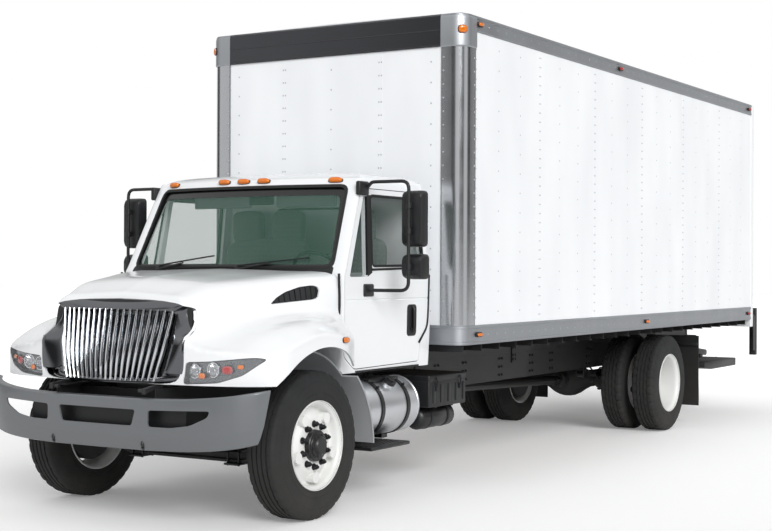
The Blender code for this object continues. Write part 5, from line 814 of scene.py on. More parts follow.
def oval_lamp(place, normal, up, half_long, half_short, height):
    """A base and a domed lens on a surface: rings of an oval, each smaller and higher."""
    normal = Vector(normal).normalized()
    across = Vector(up).cross(normal).normalized()
    rise = normal.cross(across)
    parts = []
    for levels in (((1.10, -0.006), (1.10, 0.004), (1.04, 0.007), (0.9, 0.007)),
                   ((1.0, 0.0), (1.0, 0.010), (0.95, 0.62), (0.80, 0.86), (0.55, 0.97), (0.2, 1.0))):
        rings = []
        for share, lift in levels:
            lift = lift if abs(lift) < 0.02 else lift * height
            ring = []
            for k in range(28):
                a = 2 * math.pi * k / 28
                u, v = math.cos(a), math.sin(a)
                stretch = 1 / max((abs(u) ** 3 + abs(v) ** 3) ** (1 / 3), 0.1)
                ring.append(place + across * u * stretch * half_long * share + rise * v * stretch
                            * half_short * share
                            + normal * lift)
            rings.append(ring)
        parts.append(skin("lamp", rings))
    return parts


def twin(part):
    """A copy of a part, mirrored across the middle plane."""
    mesh = part.data.copy()
    mesh.transform(Matrix.Diagonal((-1, 1, 1, 1)))
    mesh.flip_normals()
    other = bpy.data.objects.new(part.name, mesh)
    bpy.context.scene.collection.objects.link(other)
    return other


def louvres(form):
    """Black blades standing upright in the teardrop, over a black floor."""
    outline = grown(round_off(hood_side(LOUVRE_SHARES), 0.02), -0.002)
    reach = (0.4, 1.3)
    floor = shell_between(form, 0.0085, 0.0135, prism(outline, "x", *reach))
    rim = shell_between(form, -0.0015, 0.0125, prism(outline, "x", *reach))
    cut(rim, prism(grown(outline, -0.007), "x", *reach))
    blades = []
    for k in range(LOUVRE_BLADES):
        y = LOUVRE_FRONT_Y + LOUVRE_PITCH * k
        points = ((y, 1.40), (y + 0.0045, 1.40), (y + 0.0245, 1.60), (y + 0.020, 1.60))
        blades.append(prism(points, "x", *reach))
    fins = keep(joined(blades), prism(grown(outline, -0.004), "x", *reach))
    keep(fins, shrunk(form, 0.0012, "fin top"))
    cut(fins, shrunk(form, 0.0105, "fin foot"))
    parts = [floor, rim, fins]
    for word, group in (("right", [twin(part) for part in parts]), ("left", parts)):
        piece("louvre_" + word, group, "black_nylon", "hood", smooth=30)


def hood_looks():
    form = hood_form()
    rear = mirrored(placed(HOOD_REAR_SHARES, (0, HOOD_FRONT_Y), (HOOD_HALF, HOOD_LENGTH)))
    edge = prism(rear, "z", HOOD_BOTTOM, 2.2, "hood edge")
    arch = turned(((0, -1.4), (ARCH_RADIUS, -1.4), (ARCH_RADIUS, 1.4), (0, 1.4)), "x", (0, ARCH_Y, ARCH_Z),
                  120)
    openings = [prism(grown(grille_outline(), 0.001), "y", NOSE_Y[0], -0.60)]
    for side in (1, -1):
        openings.append(prism(lamp_outline(side, 0.001), "y", *NOSE_Y))
    pockets = prism(round_off(hood_side(LOUVRE_SHARES), 0.02), "x", -1.3, 1.3)
    cut(pockets, shrunk(form, 0.012, "pocket floor"))
    hood = shrunk(form, 0, "hood")
    cut(hood, shrunk(form, HOOD_SKIN, "hood room"))
    keep(hood, edge)
    cut(hood, arch, *openings, pockets)
    piece("hood_skin", [hood], "white_cab_enamel", "hood", ["hood"], 32)

    louvres(form)
    for side, word in SIDES:
        place, normal = surface_frame(form, (side * 1.5, *HOOD_MARK), (-side, 0, 0))
        base, lens = oval_lamp(place, normal, (0, 0, 1), 0.048, 0.019, 0.020)
        piece("hood_mark_base_" + word, [base], "black_nylon", "hood")
        piece("hood_mark_lens_" + word, [lens], "amber_lens", "hood")
    # rubber strip that closes the gap to the cowl
    line = [(x * HOOD_HALF, HOOD_FRONT_Y + y * HOOD_LENGTH) for x, y in HOOD_REAR_SHARES[3:]]
    strip = []
    for x, y in smooth_line([(-u, v) for u, v in line] + list(reversed(line[:-1])), 5):
        place = surface_frame(form, (x, y - 0.012, 2.2), (0, 0, -1))[0]
        strip.append((x, y + 0.004, place.z - 0.013))
    piece("hood_strip", [tube(strip, 0.008, 8)], "seal_rubber", "hood")
    return form


# Grille

GRILLE_HALF = 0.596
GRILLE_LOW_Z = 0.928
GRILLE_HEIGHT = 0.542
GRILLE_BARS = 19
# columns: height share, half width share, a bar's bulge and its half width in metres
BAR_SHARES = ((0.031, 0.629, 0, 0.0075), (0.110, 0.650, 0.004, 0.0085), (0.200, 0.673, 0.010, 0.0100),
              (0.373, 0.713, 0.014, 0.0115), (0.620, 0.749, 0.008, 0.0100), (0.780, 0.768, 0.003, 0.0085),
              (0.880, 0.780, 0, 0.0070))
# columns: shares of the half width and height for the outer edge, then for the inner edge
GRILLE_SHARES = (
    (0, 1, 0, 0.871), (0.503, 0.985, 0.453, 0.864), (0.760, 0.960, 0.660, 0.857),
    (0.872, 0.937, 0.738, 0.849),
    (0.955, 0.908, 0.790, 0.832), (0.990, 0.862, 0.819, 0.797), (1.004, 0.686, 0.809, 0.668),
    (1.012, 0.410, 0.763, 0.391), (0.990, 0.133, 0.713, 0.133), (0.860, 0.022, 0.671, 0.081),
    (0.419, 0.004, 0.403, 0.059), (0, 0, 0, 0.055))
# columns: share of the way from the outer to the inner edge, and how far the face stands back
SURROUND_SHARES = ((0.00, 0.150), (0.00, 0.012), (-0.07, 0.014), (-0.08, 0.004), (-0.02, -0.002),
                   (0.08, -0.004), (0.22, -0.006), (0.45, -0.006),
                   (0.70, -0.003), (0.88, 0.001), (0.96, 0.006), (1.00, 0.014), (1.00, 0.070))


def grille_place(x_share, z_share):
    return x_share * GRILLE_HALF, GRILLE_LOW_Z + z_share * GRILLE_HEIGHT


def grille_outline():
    rows = smooth_line([row[:2] for row in GRILLE_SHARES], 3)
    return mirrored([grille_place(x, z) for x, z in rows])


def grille_face(x_share, z_share):
    return HOOD_FRONT_Y + 0.056 - 0.069 * (1 - z_share) + 0.096 * x_share ** 2


def surround_ring(row, form):
    """A section of the surround; its outer edge lies on the hood's face wherever there is one."""
    outer_x, outer_z, inner_x, inner_z = row
    outer_face = grille_face(outer_x, outer_z) + 0.030
    x, z = grille_place(outer_x, outer_z)
    place = surface_frame(form, (x * 1.01, -1.5, z + 0.004), (0, 1, 0))[0]
    if place and outer_z > 0.1:
        outer_face = min(place.y - 0.002, outer_face + 0.10)
    inner_face = grille_face(inner_x, inner_z) + 0.010
    near_x, near_z = grille_place(inner_x, inner_z)
    ring = []
    for share, back in SURROUND_SHARES:
        y = outer_face + (inner_face - outer_face) * share + back
        ring.append((x + (near_x - x) * share, y, z + (near_z - z) * share))
    return ring


def grille_looks(form):
    rows = [tuple(row) for row in smooth_line(GRILLE_SHARES, 5)]
    left = [(-a, b, -c, d) for a, b, c, d in reversed(rows[1:-1])]
    surround = skin("surround", [surround_ring(row, form) for row in rows + left], closed=True)
    piece("grille_surround", [surround], "chrome_painted_dark_reflection", "hood", ["grille"], 40)
    bars = []
    for k in range(GRILLE_BARS):
        share = k / (GRILLE_BARS - 1) * 2 - 1
        rings = []
        for z_share, half_share, bulge, half in smooth_line(BAR_SHARES, 3):
            x, z = grille_place(share * half_share, z_share)
            face = grille_face(share * half_share, z_share) - bulge
            rings.append([(x - half, face + 0.042, z), (x - half, face + 0.012, z),
                          (x - half * 0.55, face + 0.003, z),
                          (x, face, z), (x + half * 0.55, face + 0.003, z), (x + half, face + 0.012, z),
                          (x + half, face + 0.042, z)])
        bars.append(skin("bar", rings))
    piece("grille_bars", bars, "chrome_plate", "hood", smooth=50)
    # dark mesh behind the bars: upright and level wires, 22 mm apart
    wires = []
    for k in range(-22, 23):
        x = k * 0.022
        wires.append(tube([(x, grille_face(x / GRILLE_HALF, z) + 0.062, GRILLE_LOW_Z + z * GRILLE_HEIGHT)
                           for z in (0.04, 0.5, 0.9)], 0.0016, 5))
    for k in range(22):
        z = 0.05 + k * 0.0395
        wires.append(tube([(s * GRILLE_HALF, grille_face(s, z) + 0.065, GRILLE_LOW_Z + z * GRILLE_HEIGHT)
                           for s in (-0.8, -0.6, -0.3, 0, 0.3, 0.6, 0.8)], 0.0016, 5))
    frame_rings = []
    for x, z, near_x, near_z in rows + left:
        out, near = grille_place(x * 0.99, 0.5 + (z - 0.5) * 0.99), grille_place(near_x * 0.97,
                                                                                 0.5 + (near_z - 0.5) * 0.97)
        y = grille_face(near_x, near_z) + 0.058
        frame_rings.append([(out[0], y, out[1]), (near[0], y, near[1]), (near[0], y + 0.016, near[1]),
                            (out[0], y + 0.016, out[1])])
    wires.append(skin("mesh frame", frame_rings, closed=True))
    piece("grille_mesh", wires, "black_steel", "hood")


# Head lamps

def bowl(place, radius, depth):
    """A deep reflector that opens forward, with a bulb shield in its middle."""
    profile = [(radius * (0.16 + 0.84 * t), depth * (1 - t ** 2)) for t in (k / 8 for k in range(9))]
    outer = [(r + 0.002, a + 0.002) for r, a in reversed(profile)]
    reflector = turned(profile + outer, "y", place, 40)
    rim = turned(((radius - 0.001, -0.006), (radius + 0.005, -0.006), (radius + 0.005, 0.004),
                  (radius - 0.001, 0.004)),
                 "y", place, 40)
    bulb = turned(((0, depth * 0.2), (0.007, depth * 0.24), (0.0095, depth * 0.4), (0.0095, depth + 0.002),
                   (0, depth + 0.002)), "y", place, 20)
    return [reflector, rim, bulb]


# columns: x, z, radius
BOWLS = ((0.672, 1.020, 0.042), (0.800, 1.030, 0.044))
# columns: x, z, half length, half height, finish
LAMP_MARKS = ((0.736, 0.992, 0.022, 0.018, "amber"), (0.905, 1.032, 0.034, 0.026, "red"),
              (0.985, 1.052, 0.020, 0.014, "amber"))


def headlamps(form):
    """The left lamp, and its mirror image: lens, dark housing, bright plate and bowls, and marks."""
    edge = lamp_outline(1, -0.0012)
    lens = shell_between(form, 0.0015, 0.0045, prism(edge, "y", *NOSE_Y))
    wall = lamp_layer(form, 0.006, 0.115, edge)
    cut(wall, prism(grown(edge, -0.003), "y", *NOSE_Y))
    floor = lamp_layer(form, 0.110, 0.114, grown(edge, -0.002))
    plate = lamp_layer(form, 0.040, 0.044, grown(edge, -0.004))
    rim = lamp_layer(form, 0.007, 0.030, grown(edge, -0.003))
    cut(rim, prism(grown(edge, -0.011), "y", *NOSE_Y))
    bowls = []
    for x, z, radius in BOWLS:
        place = surface_frame(form, (x, -1.5, z), (0, 1, 0))[0]
        bowls += bowl((x, place.y + 0.034, z), radius, 0.052)
        for part in (plate, floor):
            cut(part, turned(((0, -1.5), (radius + 0.004, -1.5), (radius + 0.004, 0), (0, 0)), "y",
                             (x, 0, z), 32))
    bases, glows = [], {"amber": [], "red": []}
    for x, z, long_half, high_half, kind in LAMP_MARKS:
        place, normal = surface_frame(form, (x, -1.5, z), (0, 1, 0))
        base, mark = oval_lamp(place - normal * 0.020, normal, (0, 0, 1), long_half, high_half, 0.016)
        bases.append(base)
        glows[kind].append(mark)
    groups = (("headlamp_lens", [lens], "clear_lens", "lamp_lens", ["headlamp_"]),
              ("headlamp_housing", [wall, floor], "black_nylon", "black_plastic", []),
              ("headlamp_bowls", bowls + [rim], "lamp_reflector", "chrome", []),
              ("headlamp_plate", [plate] + bases, "chrome_painted_dark_reflection", "chrome", []),
              ("headlamp_amber", glows["amber"], "amber_lens", "lamp_lens", []),
              ("headlamp_red", glows["red"], "red_lens", "lamp_lens", []))
    for name, parts, material, slot, hides in groups:
        mirrored_parts = [twin(part) for part in parts]
        for word, group in (("left", parts), ("right", mirrored_parts)):
            piece(name + "_" + word, group, material, "hood", [node + word for node in hides], 40)


# Bumper

BUMPER_HALF = 1.205
BUMPER_LOW_Z = 0.513
BUMPER_HEIGHT = 0.330
BUMPER_FACE_Y = -0.955
BUMPER_SWEEP = 0.345
# columns: share of the half width, sweep back, rise of the lower and of the upper edge
BUMPER_SHARES = (
    (0.00, 0.000, 0.00, 0.00), (0.30, 0.017, 0.00, 0.00), (0.42, 0.045, 0.02, 0.04),
    (0.55, 0.090, 0.06, 0.10),
    (0.66, 0.155, 0.13, 0.21), (0.75, 0.232, 0.22, 0.33), (0.82, 0.325, 0.33, 0.46),
    (0.88, 0.435, 0.46, 0.61),
    (0.95, 0.667, 0.70, 0.82), (1.00, 1.000, 1.00, 1.00))
MIDDLE_OPENING = ((-0.274, 0.785), (0.274, 0.785), (0.249, 0.470), (-0.249, 0.470))
OUTER_OPENING = ((0.357, 0.470), (0.357, 0.785), (0.730, 0.821), (0.714, 0.694), (0.614, 0.530),
                 (0.498, 0.470))


def bumper_ring(row):
    width, sweep, low_rise, high_rise = row
    x = BUMPER_HALF * width
    face = BUMPER_FACE_Y + BUMPER_SWEEP * sweep
    low = BUMPER_LOW_Z + 0.100 * low_rise
    high = BUMPER_LOW_Z + BUMPER_HEIGHT + 0.078 * high_rise
    crease = low + (high - low) * 0.28
    back = max(-0.865, face + 0.060)
    return [(x, face + 0.026, low), (x, face + 0.018, low + 0.004), (x, face + 0.005, crease - 0.028),
            (x, face, crease), (x, face - 0.001, crease + 0.012), (x, face, high - 0.020),
            (x, face + 0.003, high - 0.007),
            (x, face + 0.011, high), (x, back, high), (x, back, low)]


def bumper_looks():
    rows = [tuple(row) for row in smooth_line(BUMPER_SHARES, 3)]
    left = [(-width, *others) for width, *others in reversed(rows[1:])]
    shell = skin("bumper", [bumper_ring(row) for row in left + rows])
    inner = []
    for row in left + rows:
        ring = bumper_ring(row)
        inner.append([(x, y + 0.012, z + (0.012 if z < 0.62 else -0.012)) for x, y, z in ring[:8]]
                     + [(x, y + 0.2, z + (0.012 if z < 0.62 else -0.012)) for x, y, z in ring[8:]])
    cut(shell, skin("bumper room", inner))
    outlines = [placed(MIDDLE_OPENING, (0, BUMPER_LOW_Z), (BUMPER_HALF, BUMPER_HEIGHT))]
    for side in (1, -1):
        outlines.append(placed(OUTER_OPENING, (0, BUMPER_LOW_Z), (side * BUMPER_HALF, BUMPER_HEIGHT)))
    cuts = [prism(round_off(outline, 0.022), "y", -1.1, -0.58) for outline in outlines]
    # the ends slant back and up
    ends = prism(((-0.755, 0.40), (-0.640, 1.00), (-0.40, 1.00), (-0.40, 0.40)), "x", -1.4, 1.4)
    cut(shell, *cuts, ends)
    piece("bumper_skin", [shell], "bumper_grey_enamel", "chassis", ["front_bumper"], 30)
    # dark inner panel behind the openings, carried on the bumper's back
    rows = [tuple(row) for row in smooth_line(BUMPER_SHARES[:4], 2)]
    left = [(-width, *others) for width, *others in reversed(rows[1:])]
    back = []
    for width, sweep, *_ in left + rows:
        x, y = BUMPER_HALF * width, BUMPER_FACE_Y + BUMPER_SWEEP * sweep + 0.078
        back.append([(x, y, 0.652), (x, y, 0.800), (x, y + 0.004, 0.800), (x, y + 0.004, 0.652)])
    piece("bumper_back", [skin("bumper back", back)], "black_nylon", "chassis")
    # two tow hooks under the bumper, each on its block
    hooks = []
    for side in (1, -1):
        route = [(side * 0.385, -0.80, 0.600), (side * 0.385, -0.905, 0.592), (side * 0.385, -0.942, 0.560),
                 (side * 0.385, -0.930, 0.525), (side * 0.385, -0.890, 0.520)]
        hooks.append(tube(route, 0.013, 12, 0.03))
        hooks.append(block(span(side, 0.368, 0.402), (-0.862, -0.79), (0.578, 0.640)))
    piece("tow_hooks", hooks, "chassis_black", "chassis")


def face_looks(form):
    grille_looks(form)
    headlamps(form)
    bumper_looks()
    bpy.data.objects.remove(form, do_unlink=True)


# Cab

CAB_BOTTOM = 0.940
CAB_HEIGHT = 1.438
CAB_HALF = 1.000
CAB_FRONT_Y = 0.350
CAB_LENGTH = 1.350
CAB_WALL = 0.050
# columns: shares of the height, of the half width for the side and for the front corner, and of the
# length for the front's middle, the front's corner and the rear
CAB_SHARES = (
    (0.000, 0.985, 0.880, 0.052, 0.052, 1.000), (0.216, 1.000, 0.880, 0.052, 0.052, 1.000),
    (0.459, 1.000, 0.885, 0.015, 0.056, 1.000), (0.515, 0.995, 0.900, 0.000, 0.078, 1.000),
    (0.925, 0.932, 0.845, 0.204, 0.287, 0.993), (0.951, 0.917, 0.832, 0.230, 0.313, 0.987),
    (0.971, 0.893, 0.808, 0.264, 0.345, 0.976), (0.989, 0.838, 0.752, 0.322, 0.398, 0.945),
    (1.000, 0.735, 0.655, 0.393, 0.460, 0.896))
DOOR_SHARES = (
    (0.07852, 0.0834), (0.07852, 0.4590), (0.0993, 0.5076), (0.3096, 0.9145), (0.9259, 0.9145),
    (0.9526, 0.8866),
    (0.9526, 0.2114), (0.8607, 0.1252), (0.8607, 0.0243), (0.1852, 0.0153))
VENT_SHARES = ((0.1260, 0.4700), (0.3040, 0.4700), (0.3630, 0.8797), (0.3296, 0.8797))
PANE_SHARES = ((0.3556, 0.5216), (0.8963, 0.5285), (0.9037, 0.5494), (0.8963, 0.8693), (0.8852, 0.8797),
               (0.3926, 0.8797))
WINDSHIELD_SHARES = ((0.902, 0.514), (0.843, 0.926))
REAR_WINDOW_SHARES = ((0.450, 0.584), (0.450, 0.848))
COWL_SHARES = ((0.915, 0.480), (0.910, 0.520))
FRONT_REACH = (0.250, 1.05)
REAR_REACH = (1.55, 1.75)
ROOF_LAMPS = ((-0.742, 2.308), (-0.200, 2.312), (-0.018, 2.312), (0.164, 2.312), (0.742, 2.308))


def cab_side(shares):
    return placed(shares, (CAB_FRONT_Y, CAB_BOTTOM), (CAB_LENGTH, CAB_HEIGHT))


def cab_face(shares):
    right = placed(shares, (0, CAB_BOTTOM), (CAB_HALF, CAB_HEIGHT))
    return right + [(-x, z) for x, z in reversed(right)]


def cab_ring(shares, inset):
    """The cab's plan at one height: a bowed front, round pillars, straight sides and a round rear."""
    height_share, side, corner_side, front, corner, rear = shares
    low = CAB_BOTTOM + 0.060 * inset / CAB_WALL
    high = CAB_BOTTOM + CAB_HEIGHT - 0.040 * inset / CAB_WALL
    half, corner_half = CAB_HALF * side - inset, CAB_HALF * corner_side - inset
    front = CAB_FRONT_Y + CAB_LENGTH * front + inset
    corner = CAB_FRONT_Y + CAB_LENGTH * corner + inset
    rear = CAB_FRONT_Y + CAB_LENGTH * rear - inset
    right = [(0, front)]
    for k in range(1, 10):
        share = k / 10
        right.append((corner_half * share, front + (corner - front) * share ** 2.3))
    for k in range(7):
        turn = math.radians(15 * k)
        right.append((corner_half + (half - corner_half) * math.sin(turn),
                      corner + 0.022 * (1 - math.cos(turn))))
    right += [(half, corner + (rear - corner) * share) for share in (0.25, 0.5, 0.75)]
    right += arc((half - 0.060, rear - 0.060), 0.060, 0, 90, 6)
    right += [(half * share, rear) for share in (0.6, 0.3, 0)]
    z = low + (high - low) * height_share
    return [(x, y, z) for x, y in mirrored(right)]


def cab_form(inset=0.0, name="cab form"):
    rows = smooth_line(CAB_SHARES[:4], 3)[:-1] + smooth_line(CAB_SHARES[3:], 4)
    return skin(name, [cab_ring(row, inset) for row in rows])


def cab_layer(outer, inner, edge):
    """The layer of the cab between two depths, within a prism."""
    return cut(keep(cab_form(outer, "layer"), edge), cab_form(inner, "layer floor"))


def door_reach(side):
    return span(side, CAB_HALF - 0.125, CAB_HALF + 0.05)


def frame_strip(outline, width, axis, reach, outer, inner):
    """A strip along an outline on the cab's face: width inwards, between two depths."""
    strip = cab_layer(outer, inner, prism(outline, axis, *reach))
    return cut(strip, prism(grown(outline, -width), axis, *reach))


def cab_shell():
    shield = round_off(cab_face(WINDSHIELD_SHARES), 0.055)
    back = round_off(cab_face(REAR_WINDOW_SHARES), 0.060)
    doors = [prism(round_off(cab_side(DOOR_SHARES), 0.035), "x", *door_reach(side)) for side in (1, -1)]
    shell = cab_form(0, "cab")
    room = turned(((0, -1.3), (0.718, -1.3), (0.718, 1.3), (0, 1.3)), "x", (0, ARCH_Y, ARCH_Z), 96)
    cut(shell, cab_form(CAB_WALL, "room"), prism(shield, "y", *FRONT_REACH), prism(back, "y", *REAR_REACH),
        room, *doors)
    piece("cab_skin", [shell], "white_cab_enamel", "chassis", ["cab_shell"], 33)
    mounts = []
    for side in (1, -1):
        for y in (0.55, 1.55):
            mounts.append(block(span(side, 0.352, 0.428), (y, y + 0.08), (0.9006, 0.9415)))
            mounts.append(turned(((0, 0.0), (0.034, 0.0), (0.040, 0.006), (0.040, 0.03), (0.034, 0.038),
                                  (0, 0.038)),
                                 "z", (side * 0.39, y + 0.04, 0.9012), 24))
    piece("cab_mounts", mounts, "chassis_black", "chassis")

    glass = cab_layer(0.012, 0.017, prism(grown(shield, -0.001), "y", *FRONT_REACH))
    piece("windshield_glass", [glass], "solar_glass", "chassis", ["windshield"], 40)
    pane = cab_layer(0.018, 0.022, prism(grown(back, -0.001), "y", *REAR_REACH))
    piece("rear_window_glass", [pane], "clear_glass", "chassis", ["rear_window"], 40)
    seals = [frame_strip(grown(shield, 0.010), 0.022, "y", FRONT_REACH, -0.003, 0.013),
             frame_strip(grown(back, 0.012), 0.026, "y", REAR_REACH, -0.004, 0.019)]
    piece("cab_seals", seals, "seal_rubber", "chassis")
    border = cab_layer(0.0105, 0.0118, prism(grown(shield, -0.008), "y", *FRONT_REACH))
    low, high = (CAB_BOTTOM + CAB_HEIGHT * row[1] for row in WINDSHIELD_SHARES)
    clear = [(0.872, low + 0.022), (0.806, high - 0.070)]
    clear = clear + [(-x, z) for x, z in reversed(clear)]
    cut(border, prism(round_off(clear, 0.05), "y", *FRONT_REACH))
    piece("windshield_border", [border], "ceramic_border", "chassis")
    # black cowl from the glass down to the hood
    cowl = cab_layer(-0.002, 0.004, prism(round_off(cab_face(COWL_SHARES), 0.02), "y", 0.2, 0.60))
    cut(cowl, prism(grown(shield, 0.009), "y", *FRONT_REACH))
    piece("cowl", [cowl], "black_nylon", "chassis")


def door_looks(side, word):
    body = "door_" + word
    reach = door_reach(side)
    edge = round_off(cab_side(DOOR_SHARES), 0.035)
    panel = cab_form(0, "door")
    cut(panel, cab_form(CAB_WALL, "door room"))
    keep(panel, prism(grown(edge, -0.006), "x", *reach))
    lining = cab_layer(0.010, 0.030, prism(grown(edge, -0.0005), "x", *reach))
    cut(lining, prism(grown(edge, -0.0055), "x", *reach))
    piece("door_gap_seal_" + word, [lining], "seal_rubber", "chassis")
    pane, vent = round_off(cab_side(PANE_SHARES), 0.035), round_off(cab_side(VENT_SHARES), 0.025)
    cut(panel, prism(pane, "x", *reach), prism(vent, "x", *reach))
    # pressed swage line along the door, and the step of its lower rear edge
    groove = []
    for share in (0.0, 1.0):
        y = CAB_FRONT_Y + 0.05 + share * 1.3
        groove.append([(side * (CAB_HALF + u), y, 1.452 + v) for u,
                       v in ((-0.004, 0), (0.004, 0.012), (0.004, -0.012))])
    cut(panel, skin("groove", groove))
    piece("door_skin_" + word, [panel], "white_cab_enamel", body, ["door_" + word], 33)
    glass = [cab_layer(0.019, 0.024, prism(grown(outline, 0.004), "x", *reach)) for outline in (pane, vent)]
    piece("door_panes_" + word, glass, "clear_glass", body, ["door_glass_" + word], 40)
    seals = [frame_strip(grown(outline, 0.007), width, "x", reach, -0.002, 0.021)
             for outline, width in ((pane, 0.018), (vent, 0.028))]
    # the run between vent and pane, and the black moulding under them
    bar = [(0.3020, 0.4700), (0.3500, 0.4900), (0.3945, 0.8797), (0.3610, 0.8797)]
    seals.append(cab_layer(-0.001, 0.017, prism(cab_side(bar), "x", *reach)))
    sill = [(0.350, 0.500), (0.905, 0.512), (0.905, 0.522), (0.350, 0.512)]
    seals.append(cab_layer(-0.005, 0.010, prism(cab_side(sill), "x", *reach)))
    piece("door_seals_" + word, seals, "seal_rubber", body)
    # pull handle: a black cup with an upright grip, and the lock under it
    cup = cab_layer(-0.002, 0.012,
                    prism(round_off([(1.310, 1.408), (1.448, 1.408), (1.448, 1.172), (1.310, 1.172)],
                                                    0.035), "x", *reach))
    cut(cup, cab_layer(-0.004, -0.0006, prism(round_off([(1.319, 1.399), (1.439, 1.399), (1.439, 1.181),
                                                       (1.319, 1.181)], 0.030), "x", *reach)))
    x = CAB_HALF + 0.012
    grip = tube([(side * (x - 0.018), 1.400, 1.392), (side * x, 1.400, 1.370), (side * x, 1.400, 1.225),
                 (side * (x - 0.018), 1.400, 1.200)], 0.015, 14, 0.02)
    lock = turned([(0, side * (x - 0.02)), (0.011, side * (x - 0.02)), (0.011, side * (x - 0.005)),
                   (0, side * (x - 0.005))],
                  "x", (0, 1.372, 1.225), 20)
    piece("door_handle_" + word, [cup, grip, lock], "black_nylon", body)
    # door card on the inside, with an arm rest
    card = cab_layer(CAB_WALL - 0.004, CAB_WALL + 0.012, prism(grown(cab_side(
        [(0.10, 0.10), (0.10, 0.455), (0.118, 0.495), (0.925, 0.508), (0.930, 0.215), (0.84, 0.135)]),
        -0.01), "x",
        *span(side, 0.80, 1.05)))
    rest = soften(block(span(side, 0.860, 0.945), (0.86, 1.42), (1.345, 1.395)), 0.018, 3)
    piece("door_card_" + word, [card, rest], "dash_vinyl", body)


def mirror_looks(side, word):
    """Heads on a bent black arm, hung from the door's top and foot."""
    body = "door_" + word
    x, y = 1.301, 0.820
    top, foot = 2.295, 1.520
    route = [(0.925, 0.800, top - 0.085), (1.0, 0.805, top - 0.004), (1.02, 0.808, top), (x, y, top),
             (x, y, foot),
             (0.985, 0.752, foot)]
    arms = [tube(flipped(route, side), 0.0125, 16, 0.06)]
    for z, spread in ((foot, 0.045), (top - 0.045, 0.05)):
        px = 0.998 if z == foot else 0.952
        plate = block(span(side, px - 0.022, px + 0.016), (0.700, 0.830), (z - spread, z + spread))
        soften(plate, 0.012, 3)
        arms.append(plate)
    shells, glasses = [], []
    for low, high, depth in ((1.830, 2.230, 0.085), (1.600, 1.780, 0.105)):
        rings = []
        wide, front = 0.088, y + 0.035
        for share, grow in ((0.0, 0.72), (0.18, 0.90), (0.55, 1.0), (1.0, 1.0)):
            ring = []
            z0, z1 = low + (1 - grow) * 0.10, high - (1 - grow) * 0.10
            w = wide * (1 - (1 - grow) * 0.45)
            outline = round_off([(-w, z0), (w, z0), (w, z1), (-w, z1)], 0.035, 5)
            for u, z in outline:
                ring.append((side * x + u, front + depth * share, z))
            rings.append(ring)
        shells.append(skin("head", rings))
        inner = round_off([(-wide + 0.008, low + 0.008), (wide - 0.008, low + 0.008),
                           (wide - 0.008, high - 0.008),
                           (-wide + 0.008, high - 0.008)], 0.028, 5)
        glass = []
        for lift, scale in ((-0.004, 1.0), (0.0016, 1.0), (0.004, 0.96)):
            middle = (low + high) / 2
            glass.append([(side * x + u * scale, front + depth + lift, middle + (z - middle) * scale) for u,
                          z in inner])
        glasses.append(skin("glass", glass))
        middle = (low + high) / 2
        for z in (middle - 0.09, middle + 0.09) if high - low > 0.3 else (middle,):
            arms.append(turned(((0.0127, -0.02), (0.021, -0.02), (0.021, 0.02), (0.0127, 0.02)), "z",
                               (side * x, y, z), 20))
            arms.append(block(span(side, x - 0.016, x + 0.016), (y + 0.008, front + 0.02),
                              (z - 0.013, z + 0.013)))
    piece("mirror_arms_" + word, arms, "black_nylon", body, ["mirror_" + word])
    piece("mirror_heads_" + word, shells, "black_nylon", body, smooth=45)
    piece("mirror_glass_" + word, glasses, "mirror_glass", body)


def cab_trim():
    form = cab_form(0, "trim form")
    bases, lenses = [], []
    for x, z in ROOF_LAMPS:
        place, normal = surface_frame(form, (x, 0.0, z), (0, 1, 0))
        base, lens = oval_lamp(place, normal, (0, 0, 1), 0.052, 0.019, 0.030)
        bases.append(base)
        lenses.append(lens)
    piece("roof_lamp_bases", bases, "black_nylon", "chassis")
    piece("roof_lamp_lenses", lenses, "amber_lens", "chassis")
    # wipers: arms from the cowl, blades along the glass
    arms, rubbers = [], []
    for foot_x, tip_x, tip_z in ((0.14, 0.70, 1.745), (-0.62, -0.10, 1.760)):
        foot = surface_frame(form, (foot_x, -0.5, 1.655), (0, 1, 0))[0]
        middle = surface_frame(form, (foot_x + (tip_x - foot_x) * 0.52, -0.5, 1.705), (0, 1, 0))[0]
        out = Vector((0, -1, 0.3)).normalized()
        arms.append(tube([foot + out * 0.004, foot + out * 0.030, middle + out * 0.026], 0.0065, 8))
        arms.append(turned(((0, -0.01), (0.017, -0.01), (0.017, 0.022), (0.011, 0.030), (0, 0.030)), "z",
                           foot + out * 0.010, 16))
        blade = []
        for k in range(9):
            t = k / 8
            bx = foot_x + 0.02 + (tip_x - foot_x) * t
            bz = 1.690 + (tip_z - 1.690) * t
            blade.append(surface_frame(form, (bx, -0.5, bz), (0, 1, 0))[0] + out * 0.008)
        arms.append(tube([p + out * 0.008 for p in blade], 0.0045, 8))
        rubbers.append(tube(blade, 0.0035, 6))
    piece("wiper_arms", arms, "black_nylon", "chassis")
    piece("wiper_blades", rubbers, "seal_rubber", "chassis")
    bpy.data.objects.remove(form, do_unlink=True)
    # black rubber strip along the foot of each door opening, and a grab rail behind each door
    trims = []
    for side in (1, -1):
        trims.append(block(span(side, CAB_HALF - 0.030, CAB_HALF - 0.006), (0.62, 1.50), (0.9415, 0.953)))
        # rubber beads behind each door, and between the cab and the hood
        for route in (((1.002, 1.636, 1.630), (1.002, 1.618, 1.300), (1.001, 1.603, 1.227),
                       (0.998, 1.491, 1.118)),
                      ((0.985, 0.404, 1.20), (0.995, 0.404, 1.45), (0.990, 0.400, 1.64))):
            trims.append(tube(flipped(route, side), 0.009, 8, 0.05))
    piece("sill_strips", trims, "seal_rubber", "chassis")


def cab_looks():
    cab_shell()
    for side, word in SIDES:
        door_looks(side, word)
        mirror_looks(side, word)
    cab_trim()


# Inside the cab

FLOOR_Z = 1.0003
CHAIR_Y = 1.030


